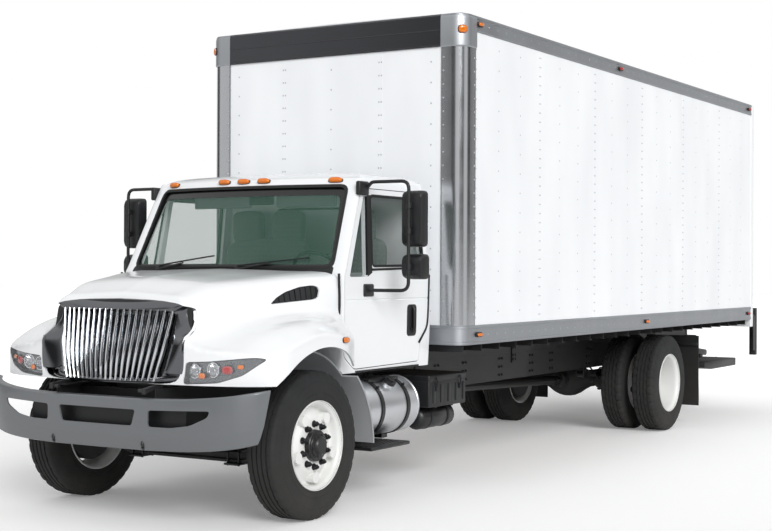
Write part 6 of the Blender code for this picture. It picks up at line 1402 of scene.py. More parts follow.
def cushion(name, xs, ys, zs, bulge, lean=0.0):
    """A soft block: its faces swell out, its edges stay round, and it may lean back with height."""
    bm = bmesh.new()
    bmesh.ops.create_cube(bm, size=2.0)
    bmesh.ops.subdivide_edges(bm, edges=bm.edges, cuts=9, use_grid_fill=True)
    for vertex in bm.verts:
        u, v, w = vertex.co
        # round the cube towards a soft pillow, then swell its faces
        power = 7.0
        reach = (abs(u) ** power + abs(v) ** power + abs(w) ** power) ** (1 / power)
        u, v, w = u / reach, v / reach, w / reach
        swell = bulge * (1 - u * u) * (1 - w * w)
        x = (xs[0] + xs[1]) / 2 + u * (xs[1] - xs[0]) / 2
        y = (ys[0] + ys[1]) / 2 + v * ((ys[1] - ys[0]) / 2 + (swell if abs(v) > 0.5 else 0))
        z = (zs[0] + zs[1]) / 2 + w * ((zs[1] - zs[0]) / 2 + bulge * (1 - u * u) * (1 - v * v))
        vertex.co = (x, y + lean * (z - zs[0]), z)
    return body_of(bm, name)


def chair(name, xs, node, heads):
    """Seat cushion, back and head rests, with piped seams."""
    low, high = xs
    seat = cushion("seat", (low, high), (CHAIR_Y, CHAIR_Y + 0.43), (FLOOR_Z + 0.215, FLOOR_Z + 0.385), 0.018)
    back = cushion("back", (low + 0.01, high - 0.01), (CHAIR_Y + 0.375, CHAIR_Y + 0.490),
                   (FLOOR_Z + 0.33, FLOOR_Z + 0.90), 0.020, 0.085)
    parts = [seat, back]
    for centre in heads:
        parts.append(cushion("head", (centre - 0.140, centre + 0.140), (CHAIR_Y + 0.440, CHAIR_Y + 0.535),
                             (FLOOR_Z + 0.885, FLOOR_Z + 1.130), 0.012))
    piece(name, parts, "seat_weave", "chassis", [node], 60)
    piping, posts = [], []
    for k in (0.28, 0.72):
        x = low + (high - low) * k
        route = [(x, CHAIR_Y + 0.02, FLOOR_Z + 0.385), (x, CHAIR_Y + 0.20, FLOOR_Z + 0.4015),
                 (x, CHAIR_Y + 0.36, FLOOR_Z + 0.396)]
        piping.append(tube(smooth_line(route, 5), 0.0045, 6))
    for centre in heads:
        for offset in (-0.05, 0.05):
            posts.append(tube([(centre + offset, CHAIR_Y + 0.475, FLOOR_Z + 0.82),
                               (centre + offset, CHAIR_Y + 0.487,
                                                                                  FLOOR_Z + 0.92)], 0.006,
                                                                                  10))
    posts.append(block((low + 0.04, high - 0.04), (CHAIR_Y + 0.06, CHAIR_Y + 0.42),
                       (FLOOR_Z + 0.0005, FLOOR_Z + 0.03)))
    posts.append(block((low + 0.10, high - 0.10), (CHAIR_Y + 0.12, CHAIR_Y + 0.36),
                       (FLOOR_Z + 0.02, FLOOR_Z + 0.22)))
    piece(name + "_piping", piping, "seal_rubber", "chassis")
    piece(name + "_base", posts, "black_steel", "chassis")


def dash_looks():
    profile = ((0.515, 1.0005), (0.515, 1.560), (0.525, 1.640), (0.560, 1.662), (0.620, 1.664),
               (0.700, 1.652),
               (0.770, 1.632), (0.820, 1.602), (0.850, 1.560), (0.858, 1.500), (0.855, 1.470),
               (0.835, 1.400),
               (0.800, 1.330), (0.740, 1.280), (0.640, 1.250), (0.560, 1.0005))
    board = prism(profile, "x", -0.885, 0.885)
    cowl = []
    for x, grow in ((0.215, 0.0), (0.235, 0.75), (0.275, 1.0), (0.450, 1.08), (0.625, 1.0), (0.665, 0.75),
                    (0.685, 0.0)):
        ring = []
        for y, z in ((0.600, 1.640), (0.640, 1.665), (0.720, 1.688), (0.800, 1.680), (0.858, 1.640),
                     (0.850, 1.600),
                     (0.700, 1.600)):
            ring.append((x, y, 1.600 + (z - 1.600) * (0.25 + 0.75 * grow)))
        cowl.append(ring)
    hump = skin("hump", cowl)
    rise = skin("far hump",
                [[(x - 0.90, y, 1.600 + (z - 1.600) * 0.75) for x, y, z in ring] for ring in cowl])
    hole = tube([(0.450, 0.985 - 0.30 * 0.766, 1.6203 - 0.30 * 0.643), (0.450, 1.10, 1.72)], 0.034, 24)
    cut(board, hole)
    piece("dash_board", [board, hump, rise], "dash_vinyl", "chassis", ["dashboard"], 40)
    dark = [prism(round_off([(0.262, 1.604), (0.638, 1.604), (0.638, 1.664), (0.262, 1.664)], 0.02), "y",
                  0.842, 0.861)]
    for x0, x1, z0, z1 in ((-0.14, 0.14, 1.40, 1.575), (-0.80, -0.30, 1.40, 1.44)):
        dark.append(prism(round_off([(x0, z0), (x1, z0), (x1, z1), (x0, z1)], 0.015), "y", 0.80, 0.861))
    piece("dash_panels", dark, "black_nylon", "chassis")


def wheel_looks():
    """Steering wheel: a padded rim, three spokes and a hub on its column."""
    lean = math.radians(40)
    centre = Vector((0.450, 0.985, 1.6203))
    normal = Vector((0, math.cos(lean), math.sin(lean)))
    rise = Vector((0, -math.sin(lean), math.cos(lean)))
    across = Vector((1, 0, 0))
    rings = []
    for k in range(64):
        angle = 2 * math.pi * k / 64
        out = across * math.cos(angle) + rise * math.sin(angle)
        ring = []
        for m in range(12):
            a = 2 * math.pi * m / 12
            thick = 0.0135 + 0.0006 * math.sin(angle * 32)
            ring.append(centre + out * 0.225 + (out * math.cos(a) + normal * math.sin(a)) * thick)
        rings.append(ring)
    parts = [skin("rim", rings, closed=True)]
    for degrees in (-90, 12, 168):
        a = math.radians(degrees)
        out = across * math.cos(a) + rise * math.sin(a)
        flank = normal.cross(out)
        rings = []
        for t, wide, sink in ((0.03, 0.040, 0.012), (0.09, 0.026, 0.010), (0.15, 0.019, 0.006),
                              (0.221, 0.024, 0.0)):
            base = centre + out * t - normal * sink
            rings.append([base + flank * wide + normal * 0.006, base - flank * wide + normal * 0.006,
                          base - flank * wide - normal * 0.006, base + flank * wide - normal * 0.006])
        parts.append(soften(skin("spoke", rings), 0.004, 2))
    hub = []
    for lift, radius in ((-0.030, 0.045), (-0.022, 0.066), (0.002, 0.072), (0.012, 0.062), (0.015, 0.03)):
        hub.append([centre + normal * lift
                    + (across * math.cos(math.radians(10 * k)) + rise * math.sin(math.radians(10 * k)))
                    * radius for k in range(36)])
    parts.append(skin("hub", hub))
    parts.append(tube([centre - normal * 0.24, centre - normal * 0.01], 0.028, 24))
    parts.append(tube([centre - normal * 0.225, centre - normal * 0.07], 0.040, 24))
    for side in (1, -1):
        root = centre - normal * 0.10
        parts.append(tube([root, root + across * side * 0.09 + rise * 0.02,
                           root + across * side * 0.17 + rise * 0.05],
                          0.006, 8))
    piece("steering_looks", parts, "black_nylon", "chassis", ["steering_wheel"], 45)


def cab_inside():
    chair("driver_chair", (0.180, 0.700), "driver_seat", (0.440,))
    chair("bench_chair", (-0.820, -0.020), "passenger_bench", (-0.62, -0.22))
    dash_looks()
    wheel_looks()
    lining = cab_layer(CAB_WALL - 0.002, CAB_WALL + 0.006, block((-0.9, 0.9), (0.75, 1.62), (2.20, 2.4)))
    cut(lining, block((-0.70, 0.70), (0.72, 0.98), (2.10, 2.345)))
    piece("head_lining", [lining], "dash_vinyl", "chassis")
    mat = soften(block((-0.86, 0.86), (0.62, 1.60), (1.0006, 1.006)), 0.003, 2)
    piece("floor_mat", [mat], "seal_rubber", "chassis")
    visors = [soften(block((x0, x1), (0.86, 0.885), (2.13, 2.29)), 0.010, 3) for x0,
              x1 in ((0.12, 0.66), (-0.66, -0.12))]
    piece("sun_visors", visors, "dash_vinyl", "chassis")
    stalk = tube([(0, 0.80, 2.282), (0, 0.825, 2.235), (0, 0.840, 2.205)], 0.007, 10)
    glass = soften(block((-0.11, 0.11), (0.832, 0.852), (2.150, 2.215)), 0.008, 3)
    piece("inner_mirror", [stalk, glass], "black_nylon", "chassis")


# Van body

BODY_FRONT_Y = 1.778
BODY_REAR_Y = 9.086
SIDE_END_Y = 8.9857
BODY_HALF = 1.220
WALL_FACE_X = 1.214
WALL_FACE_Y = 1.784
DECK_TOP = 1.140
SILL_TOP = 1.030
RAIL_LOW_Z = 1.087
RAIL_HIGH_Z = 1.238
FRONT_RAIL_Z = 3.393
ROOF_RAIL_Z = 3.519
ROOF_TOP_Z = 3.643
POST_REACH = 0.200
POST_RADIUS = 0.110
REAR_FRAME_Y = 8.986
REAR_POST_WIDTH = 0.100
HEADER_Z = 3.400
RIVET_RADIUS = 0.0078
RIVET_RISE = 0.0026
RAIL_PITCH = 0.152
FRONT_COLUMNS = (-0.930, -0.465, 0.0, 0.465, 0.930)
MARKERS = ((2.03, 3.581, "amber"), (4.90, 3.581, "red"), (8.88, 3.581, "red"), (2.03, 1.163, "amber"),
           (5.60, 1.163, "amber"), (8.88, 1.163, "red"))


def rivets(name, spots, material="rivet_aluminium"):
    """Low domed rivet heads; each spot is a place and the way that it faces."""
    bm = bmesh.new()
    for place, normal in spots:
        place, normal = Vector(place), Vector(normal).normalized()
        side = normal.orthogonal().normalized()
        other = normal.cross(side)
        rows = []
        for rise, scale in ((-0.0006, 1.0), (0.0007, 0.96), (0.0019, 0.68)):
            rows.append([bm.verts.new(place + normal * rise
                                      + (side * math.cos(a) + other * math.sin(a)) * RIVET_RADIUS * scale)
                         for a in (math.pi * k / 3 for k in range(6))])
        top = bm.verts.new(place + normal * RIVET_RISE)
        for near, far in zip(rows, rows[1:]):
            for k in range(6):
                bm.faces.new((near[k], near[(k + 1) % 6], far[(k + 1) % 6], far[k]))
        for k in range(6):
            bm.faces.new((rows[-1][k], rows[-1][(k + 1) % 6], top))
    piece(name, [body_of(bm, name)], material, "chassis", smooth=80)


def column(low, high, pitch, point, normal):
    count = int((high - low) / pitch)
    return [(point(low + (high - low) * (k + 0.5) / count), normal) for k in range(count)]


def walls():
    """Sheets that overlap at each joint, with posts riveted behind them."""
    for side, word in SIDES:
        start_y = BODY_FRONT_Y + POST_REACH + 0.001
        count = round((SIDE_END_Y - start_y) / 1.22)
        pitch = (SIDE_END_Y - start_y) / count
        sheets, spots = [], []
        for k in range(count):
            y0 = start_y + pitch * k
            rise = 0.0005 if k % 2 else 0.0017
            sheets.append(block(span(side, 1.1806, WALL_FACE_X + rise),
                                (y0 - (0 if rise < 0.001 or not k else 0.02),
                          y0 + pitch + (0 if rise < 0.001 or k == count - 1 else 0.02)),
                          (RAIL_HIGH_Z + 0.0005, ROOF_RAIL_Z - 0.0005)))
            for share, step in ((0.0, 0.076), (0.333, 0.152), (0.667, 0.152)):
                y = y0 + pitch * share
                for offset in ((-0.010, 0.012) if share == 0.0 and k else (0.012,)):
                    spots += column(RAIL_HIGH_Z + 0.02, ROOF_RAIL_Z - 0.02, step,
                                    lambda z, y=y + offset,
                                    r=rise: (side * (WALL_FACE_X + (0.0017 if share == 0.0 else r)),
                                                                    y, z), (side, 0, 0))
        piece("wall_sheets_" + word, sheets, "white_body_sheet", "chassis",
              ["side_wall_" + word])
        rivets("wall_rivets_" + word, spots)
    half = BODY_HALF - POST_REACH - 0.001
    edges = [-half, -0.465, 0.465, half]
    sheets, spots = [], []
    for k, (x0, x1) in enumerate(zip(edges, edges[1:])):
        rise = 0.0017 if k == 1 else 0.0005
        lap = 0.02 if k == 1 else 0
        sheets.append(block((x0 - lap, x1 + lap), (WALL_FACE_Y - rise, BODY_FRONT_Y + 0.0395),
                            (RAIL_HIGH_Z + 0.0005, FRONT_RAIL_Z - 0.0005)))
    for x in FRONT_COLUMNS:
        joint = abs(abs(x) - 0.465) < 0.001
        rise = 0.0017 if abs(x) < 0.5 else 0.0005
        for offset in ((-0.010, 0.012) if joint else (0.0,)):
            spots += column(RAIL_HIGH_Z + 0.03, FRONT_RAIL_Z - 0.03, 0.102 if joint else 0.152,
                            lambda z, x=x + offset, r=rise: (x, WALL_FACE_Y - r, z), (0, -1, 0))
    piece("front_sheets", sheets, "white_body_sheet", "chassis", ["front_wall"])
    rivets("front_rivets", spots)


def corner_wrap():
    """Outline of a front corner's skin in plan, from the front round to the side."""
    x, y = BODY_HALF - POST_RADIUS, BODY_FRONT_Y + POST_RADIUS
    outer = [(BODY_HALF - POST_REACH, BODY_FRONT_Y)] + arc((x, y), POST_RADIUS, -90, 0, 14)
    outer.append((BODY_HALF, BODY_FRONT_Y + POST_REACH))
    inner = [(BODY_HALF - 0.04, BODY_FRONT_Y + POST_REACH)] + arc((x, y), POST_RADIUS - 0.04, 0, -90, 14)
    inner.append((BODY_HALF - POST_REACH, BODY_FRONT_Y + 0.04))
    return outer, inner


def posts():
    outer, inner = corner_wrap()
    for side, word in SIDES:
        post = prism([(side * x, y) for x, y in outer + inner], "z", RAIL_HIGH_Z + 0.0005,
                     FRONT_RAIL_Z - 0.0005)
        # a pressed bead down each edge of the wrap
        beads = [tube([(side * (BODY_HALF - POST_REACH + 0.006), BODY_FRONT_Y - 0.0005, RAIL_HIGH_Z + 0.002),
                       (side * (BODY_HALF - POST_REACH + 0.006), BODY_FRONT_Y - 0.0005,
                        FRONT_RAIL_Z - 0.002)], 0.0035, 8),
                 tube([(side * (BODY_HALF + 0.0005), BODY_FRONT_Y + POST_REACH - 0.006, RAIL_HIGH_Z + 0.002),
                       (side * (BODY_HALF + 0.0005), BODY_FRONT_Y + POST_REACH - 0.006,
                        FRONT_RAIL_Z - 0.002)], 0.0035, 8)]
        piece("post_wrap_" + word, [post] + beads, "post_stainless", "chassis",
              ["corner_post_" + word], 25)
        spots = column(RAIL_HIGH_Z + 0.03, FRONT_RAIL_Z - 0.03, 0.102,
                       lambda z: (side * (BODY_HALF - POST_REACH + 0.022), BODY_FRONT_Y, z), (0, -1, 0))
        spots += column(RAIL_HIGH_Z + 0.03, FRONT_RAIL_Z - 0.03, 0.102,
                        lambda z: (side * BODY_HALF, BODY_FRONT_Y + POST_REACH - 0.022, z), (side, 0, 0))
        rivets("post_rivets_" + word, spots, "bright_zinc")


def oblong(half_long, half_high, radius):
    return round_off([(-half_long, -half_high), (half_long, -half_high), (half_long, half_high),
                      (-half_long, half_high)], radius, 4)


def marker(place, lens_levels):
    """An oblong lamp: black base and a bowed lens; place gives a point from its outline and rise."""
    base = [[place(u * grow, v * grow, rise) for u, v in oblong(0.046, 0.019, 0.018)]
            for rise, grow in ((0.0003, 1.0), (0.008, 1.0), (0.011, 0.94))]
    lens = [[place(u * grow, v * grow, rise) for u, v in oblong(0.036, 0.013, 0.012)]
            for rise, grow in lens_levels]
    return skin("base", base), skin("lens", lens)


def marker_side(side, y, z):
    return marker(lambda u, v, rise: (side * (BODY_HALF + 0.006 + rise), y + u, z + v),
                  ((0.0095, 1.0), (0.018, 0.95), (0.023, 0.80), (0.025, 0.5)))


def marker_rear(x, z):
    return marker(lambda u, v, rise: (x + u, BODY_REAR_Y + rise, z + v),
                  ((0.0095, 1.0), (0.016, 0.94), (0.019, 0.78)))


def rail_profile(face, low, high, lips):
    """An extrusion's section from its inner face out: lips along top and foot, and a shallow groove."""
    points = [(BODY_HALF - 0.0395, low), (face, low)]
    for z0, z1 in lips:
        points += [(face, z0 - 0.003), (face + 0.006, z0), (face + 0.006, z1), (face, z1 + 0.003)]
    return points + [(face, high), (BODY_HALF - 0.0395, high)]


def around_body(points, rear_y, name):
    """Sweep a section round the front and both sides of the body."""
    rings = []
    for side in (1, -1):
        steps = [[(side * x, rear_y, z) for x, z in points]]
        for k in range(15):
            angle = math.radians(90 * k / 14)
            cx, cy = BODY_HALF - POST_RADIUS, BODY_FRONT_Y + POST_RADIUS
            ring = []
            for x, z in points:
                radius = max(x - cx, 0.004)
                ring.append((side * (cx + radius * math.cos(angle)), cy - radius * math.sin(angle), z))
            steps.append(ring)
        rings.append(steps)
    return skin(name, rings[0] + list(reversed(rings[1])))


def rails():
    low = around_body(rail_profile(BODY_HALF, RAIL_LOW_Z, RAIL_HIGH_Z, ((1.094, 1.108), (1.215, 1.231))),
                      SIDE_END_Y,
                      "low rail")
    piece("bottom_rail_looks", [low], "rail_aluminium", "chassis", ["bottom_rail"], 25)
    high = around_body(rail_profile(BODY_HALF, ROOF_RAIL_Z, ROOF_TOP_Z, ((3.527, 3.541), (3.620, 3.634))),
                       SIDE_END_Y,
                       "high rail")
    front = [(-BODY_HALF + POST_REACH, BODY_FRONT_Y - 0.0075),
             (BODY_HALF - POST_REACH, BODY_FRONT_Y - 0.0075),
             (BODY_HALF - POST_REACH, BODY_FRONT_Y + 0.0395),
             (-BODY_HALF + POST_REACH, BODY_FRONT_Y + 0.0395)]
    visor = prism(front, "z", FRONT_RAIL_Z + 0.0005, ROOF_TOP_Z - 0.016)
    # the front rail's face, rounded back into the roof
    roll = prism([(BODY_FRONT_Y + 0.034, ROOF_TOP_Z - 0.017)]
                 + arc((BODY_FRONT_Y + 0.0125, ROOF_TOP_Z - 0.017), 0.020, 180, 90, 6)
                 + [(BODY_FRONT_Y + 0.034, ROOF_TOP_Z + 0.003)], "x", -1.019, 1.019)
    lip = [tube([(-1.018, BODY_FRONT_Y - 0.0060, z), (1.018, BODY_FRONT_Y - 0.0060, z)], 0.006, 10)
           for z in (FRONT_RAIL_Z + 0.010, FRONT_RAIL_Z + 0.128)]
    piece("top_rail_looks", [high], "rail_aluminium", "chassis", ["top_rail"], 25)
    piece("front_rail_face", [visor, roll] + lip, "front_rail_dark_reflection", "chassis", smooth=30)
    caps = []
    for side in (1, -1):
        cap_rows = []
        for z, grow in ((FRONT_RAIL_Z - 0.004, 0.004), (FRONT_RAIL_Z + 0.004, 0.010),
                        (ROOF_TOP_Z - 0.028, 0.010),
                        (ROOF_TOP_Z - 0.010, 0.004), (ROOF_TOP_Z + 0.002, -0.012),
                        (ROOF_TOP_Z + 0.006, -0.030)):
            x, y = BODY_HALF - POST_RADIUS, BODY_FRONT_Y + POST_RADIUS
            row = [(BODY_HALF - POST_REACH, BODY_FRONT_Y - grow)] + arc((x, y), POST_RADIUS + grow, -90, 0,
                                                                        12)
            row.append((BODY_HALF + grow, BODY_FRONT_Y + POST_REACH))
            row += [(BODY_HALF - 0.0395, BODY_FRONT_Y + POST_REACH),
                    (BODY_HALF - 0.0395, BODY_FRONT_Y + 0.0395),
                    (BODY_HALF - POST_REACH, BODY_FRONT_Y + 0.0395)]
            cap_rows.append([(side * a, b, z) for a, b in row])
        caps.append(skin("cap", cap_rows))
    piece("corner_caps", caps, "rail_aluminium", "chassis", smooth=35)
    # a lamp in a dark housing on each cap
    housings, glows = [], []
    for side in (1, -1):
        turn = math.radians(45)
        x, y = BODY_HALF - POST_RADIUS, BODY_FRONT_Y + POST_RADIUS
        place = Vector((side * (x + 0.119 * math.cos(turn)), y - 0.119 * math.sin(turn), 3.520))
        base, lens = oval_lamp(place, Vector((side * math.cos(turn), -math.sin(turn), 0)),
                               Vector((0, 0, 1)), 0.034, 0.030,
                               0.020)
        housings.append(base)
        glows.append(lens)
    piece("cap_lamp_bases", housings, "black_nylon", "chassis")
    piece("cap_lamp_lenses", glows, "amber_lens", "chassis")
    bases, lenses = [], {"amber": [], "red": []}
    for side in (1, -1):
        for y, z, kind in MARKERS:
            base, lens = marker_side(side, y, z)
            bases.append(base)
            lenses[kind].append(lens)
    piece("marker_bases", bases, "black_nylon", "chassis")
    for kind, parts in lenses.items():
        piece("marker_lenses_" + kind, parts, kind + "_lens", "chassis")
    # rivets along both rails
    for name, z in (("rail_rivets_low", 1.161), ("rail_rivets_high", 3.580)):
        spots = []
        for side in (1, -1):
            for k in range(int((SIDE_END_Y - 2.05) / RAIL_PITCH)):
                y = 2.05 + k * RAIL_PITCH
                if all(abs(y - m[0]) > 0.06 or abs(z - m[1]) > 0.05 for m in MARKERS):
                    spots.append(((side * BODY_HALF, y, z), (side, 0, 0)))
        rivets(name, spots, "bright_zinc")


def deck():
    """Hardwood deck on pressed cross sills, and the two long sills that lie on the rails."""
    boards = [block((-1.1795 + 0.168 * k, -1.1795 + 0.168 * k + 0.1665), (1.8195, SIDE_END_Y),
                    (1.112, DECK_TOP))
              for k in range(14)]
    piece("deck_boards", boards, "oak_deck", "chassis")
    sills = []
    for k in range(24):
        y = 1.86 + k * (8.90 - 1.86) / 23
        for low, high, y0, y1 in ((SILL_TOP, 1.0345, 0, 0.045), (1.0345, 1.107, 0, 0.006),
                                  (1.107, 1.1118, 0, 0.045)):
            sills.append(block((-1.1795, 1.1795), (y + y0, y + y1), (low, high)))
    for side in (1, -1):
        sills.append(block(span(side, 0.350, 0.430), (1.85, 8.93), (0.9008, SILL_TOP)))
        for y in (2.4, 4.2, 6.0, 7.8):
            sills.append(block(span(side, 0.4305, 0.440), (y, y + 0.09), (0.80, 1.02)))
            for z in (0.83, 0.87, 0.94, 0.99):
                for dy in (0.022, 0.068):
                    sills.append(turned(((0, side * 0.440), (0.012, side * 0.440), (0.012, side * 0.449),
                                         (0, side * 0.449)),
                                        "x", (0, y + dy, z), 6))
    piece("floor_sills", sills, "chassis_black", "chassis", ["box_floor"])


def rear():
    frame_parts = [block(span(side, BODY_HALF - REAR_POST_WIDTH, BODY_HALF), (REAR_FRAME_Y, BODY_REAR_Y),
                         (1.0, ROOF_TOP_Z))
                   for side in (1, -1)]
    for part in frame_parts:
        soften(part, 0.008, 3)
    inner = BODY_HALF - REAR_POST_WIDTH + 0.001
    header = soften(block((-inner, inner), (REAR_FRAME_Y, BODY_REAR_Y), (HEADER_Z, ROOF_TOP_Z - 0.001)),
                    0.006, 2)
    sill = soften(block((-inner, inner), (REAR_FRAME_Y, BODY_REAR_Y), (1.001, DECK_TOP)), 0.004, 2)
    gutter = prism([(BODY_REAR_Y - 0.001, ROOF_TOP_Z - 0.030), (BODY_REAR_Y + 0.012, ROOF_TOP_Z - 0.034),
                    (BODY_REAR_Y + 0.014, ROOF_TOP_Z - 0.026), (BODY_REAR_Y - 0.001, ROOF_TOP_Z - 0.020)],
                    "x", -1.15, 1.15)
    piece("rear_frame_looks", frame_parts + [header, sill, gutter], "white_cab_enamel", "chassis",
          ["rear_frame"])
    # roll-up door: eight panels with hinges, a latch and its pull strap
    panels, iron = [], []
    low, high = DECK_TOP + 0.001, HEADER_Z - 0.001
    pitch = (high - low) / 8
    for k in range(8):
        z0, z1 = low + pitch * k + 0.0012, low + pitch * (k + 1) - 0.0012
        profile = [(9.0115, z0), (9.036, z0), (9.0405, z0 + 0.006), (9.0405, z1 - 0.006), (9.036, z1),
                   (9.0115, z1)]
        panels.append(prism(profile, "x", -1.1185, 1.1185))
        if k:
            for x in (-0.75, -0.375, 0.0, 0.375, 0.75):
                iron.append(block((x - 0.032, x + 0.032), (9.004, 9.0112), (z0 - 0.035, z0 + 0.035)))
                iron.append(tube([(x - 0.03, 9.001, z0), (x + 0.03, 9.001, z0)], 0.005, 8))
    piece("door_panels", panels, "white_body_sheet", "chassis", ["rear_door"])
    latch = [soften(block((-0.055, 0.055), (9.041, 9.047), (low + 0.03, low + 0.21)), 0.002, 2),
             tube([(-0.03, 9.048, low + 0.17), (-0.03, 9.066, low + 0.165), (-0.03, 9.066, low + 0.075),
                   (-0.03, 9.048, low + 0.07)], 0.007, 10, 0.01),
             block((0.0, 0.035), (9.046, 9.053), (low + 0.05, low + 0.19)),
             tube([(x, 9.0445, low + 0.075) for x in (-0.40, 0.40)], 0.005, 8),
             turned(((0, -0.03), (0.018, -0.03), (0.018, 0.006), (0, 0.006)), "y", (0.0, 9.047, low + 0.13),
                    16)]
    piece("door_latch", latch + iron, "bright_zinc", "chassis")
    strap = [tube(smooth_line([(0.02, 9.050, low + 0.06), (0.024, 9.058, low - 0.02),
                               (0.020, 9.0905, low - 0.045),
                               (0.022, 9.0925, low - 0.12)], 5), 0.006, 8)]
    piece("door_strap", strap, "seal_rubber", "chassis")
    bumpers, lenses = [], {"red": [], "pale": [], "amber": []}
    for side in (1, -1):
        for z in (3.25, 1.55):
            bumpers.append(soften(block(span(side, 1.135, 1.205), (BODY_REAR_Y, BODY_REAR_Y + 0.028),
                                        (z - 0.05, z + 0.05)),
                                  0.008, 3))
        for z, kind in ((1.275, "red"), (1.375, "amber")):
            bezel = turned(((0, 0), (0.046, 0), (0.046, 0.010), (0.040, 0.014), (0, 0.014)), "y",
                           (side * 1.170, BODY_REAR_Y, z), 32)
            dome = turned(((0, 0.013), (0.040, 0.013), (0.036, 0.019), (0.020, 0.023), (0, 0.024)), "y",
                          (side * 1.170, BODY_REAR_Y, z), 32)
            bumpers.append(bezel)
            lenses[kind].append(dome)
        base, lens = marker_rear(side * 1.17, 1.085)
        bumpers.append(base)
        lenses["red"].append(lens)
    for x in (-0.22, 0.0, 0.22, -1.05, 1.05):
        base, lens = marker_rear(x, HEADER_Z + 0.12)
        bumpers.append(base)
        lenses["red"].append(lens)
    piece("rear_lamp_rubbers", bumpers, "seal_rubber", "chassis")
    for kind, parts in lenses.items():
        if parts:
            piece("rear_lenses_" + kind, parts, kind + "_lens", "chassis")


def roof():
    """The roof sheet, crowned."""
    top = []
    for y in (1.8195, SIDE_END_Y):
        outline = [(x, y, ROOF_TOP_Z + 0.0012 + 0.015 * (1 - (x / 1.175) ** 2)) for x in
                   [-1.178 + 2.356 * k / 24 for k in range(25)]]
        top.append(outline + [(x, y, z - 0.03) for x, y, z in reversed(outline)])
    piece("roof_sheet", [skin("roof", top)], "white_body_sheet", "chassis", smooth=50)


def box_looks():
    walls()
    posts()
    rails()
    deck()
    rear()
    roof()


# Chassis

RAIL_HALF = 0.430
RAIL_BOTTOM = 0.650
RAIL_TOP = 0.900
TANK_X = 0.790
TANK_Z = 0.652
TANK_RADIUS = 0.212
TANK_FRONT_Y = 0.790
TANK_LENGTH = 0.710
STRAP_SHARES = (0.239, 0.746)
STEP_TOP = 0.402
LINER_RADIUS = 0.700
SPRING_HALF_WIDTH = 0.039
SPRING_THICKNESS = 0.060
FRONT_SPRING = (0.600, 0.450, 0.540)
REAR_SPRING = (0.640, 0.590, 0.590)
KINGPIN_X = 0.800
BRAKE_CHAMBER = (0.50, WHEELBASE - 0.19, 0.50)
# columns: radius, distance along the axis
CHAMBER_SIDE = ((0, -0.075), (0.055, -0.07), (0.078, -0.045), (0.082, -0.006), (0.088, -0.006),
                (0.088, 0.006),
                (0.082, 0.006), (0.078, 0.045), (0.055, 0.075), (0.050, 0.085), (0, 0.085))


def bolt(x, y, z, axis, way, radius=0.011, height=0.010):
    """A hexagon head that stands out along an axis."""
    along = {"x": x, "y": y, "z": z}[axis]
    place = [x, y, z]
    place["xyz".index(axis)] = 0
    profile = ((0, along - way * 0.002), (radius, along - way * 0.002), (radius, along + way * height),
               (0, along + way * height))
    return turned(profile, axis, place, 6)


def rail_trim():
    """Bolted joints, brake lines and a wiring loom along the rails."""
    bolts, lines = [], []
    for side in (1, -1):
        for y in (0.62, 1.05, 1.62, 2.75, 3.25, 3.95, 4.60, 5.05, 5.95, 6.95, 7.60, 8.20):
            for z in (0.700, 0.775, 0.850):
                bolts.append(bolt(side * RAIL_HALF, y, z, "x", side))
                bolts.append(bolt(side * RAIL_HALF, y + 0.055, z, "x", side))
        for z, radius in ((0.868, 0.007), (0.720, 0.011), (0.745, 0.005)):
            route = [(side * (RAIL_HALF - 0.018), y, z + 0.003 * math.sin(y * 5.0 + z * 40)) for y in
                     [0.9 + 0.18 * k for k in range(44)]]
            lines.append(tube(route, radius, 8))
    piece("rail_bolts", bolts, "dark_steel", "chassis")
    piece("rail_lines", lines, "seal_rubber", "chassis")


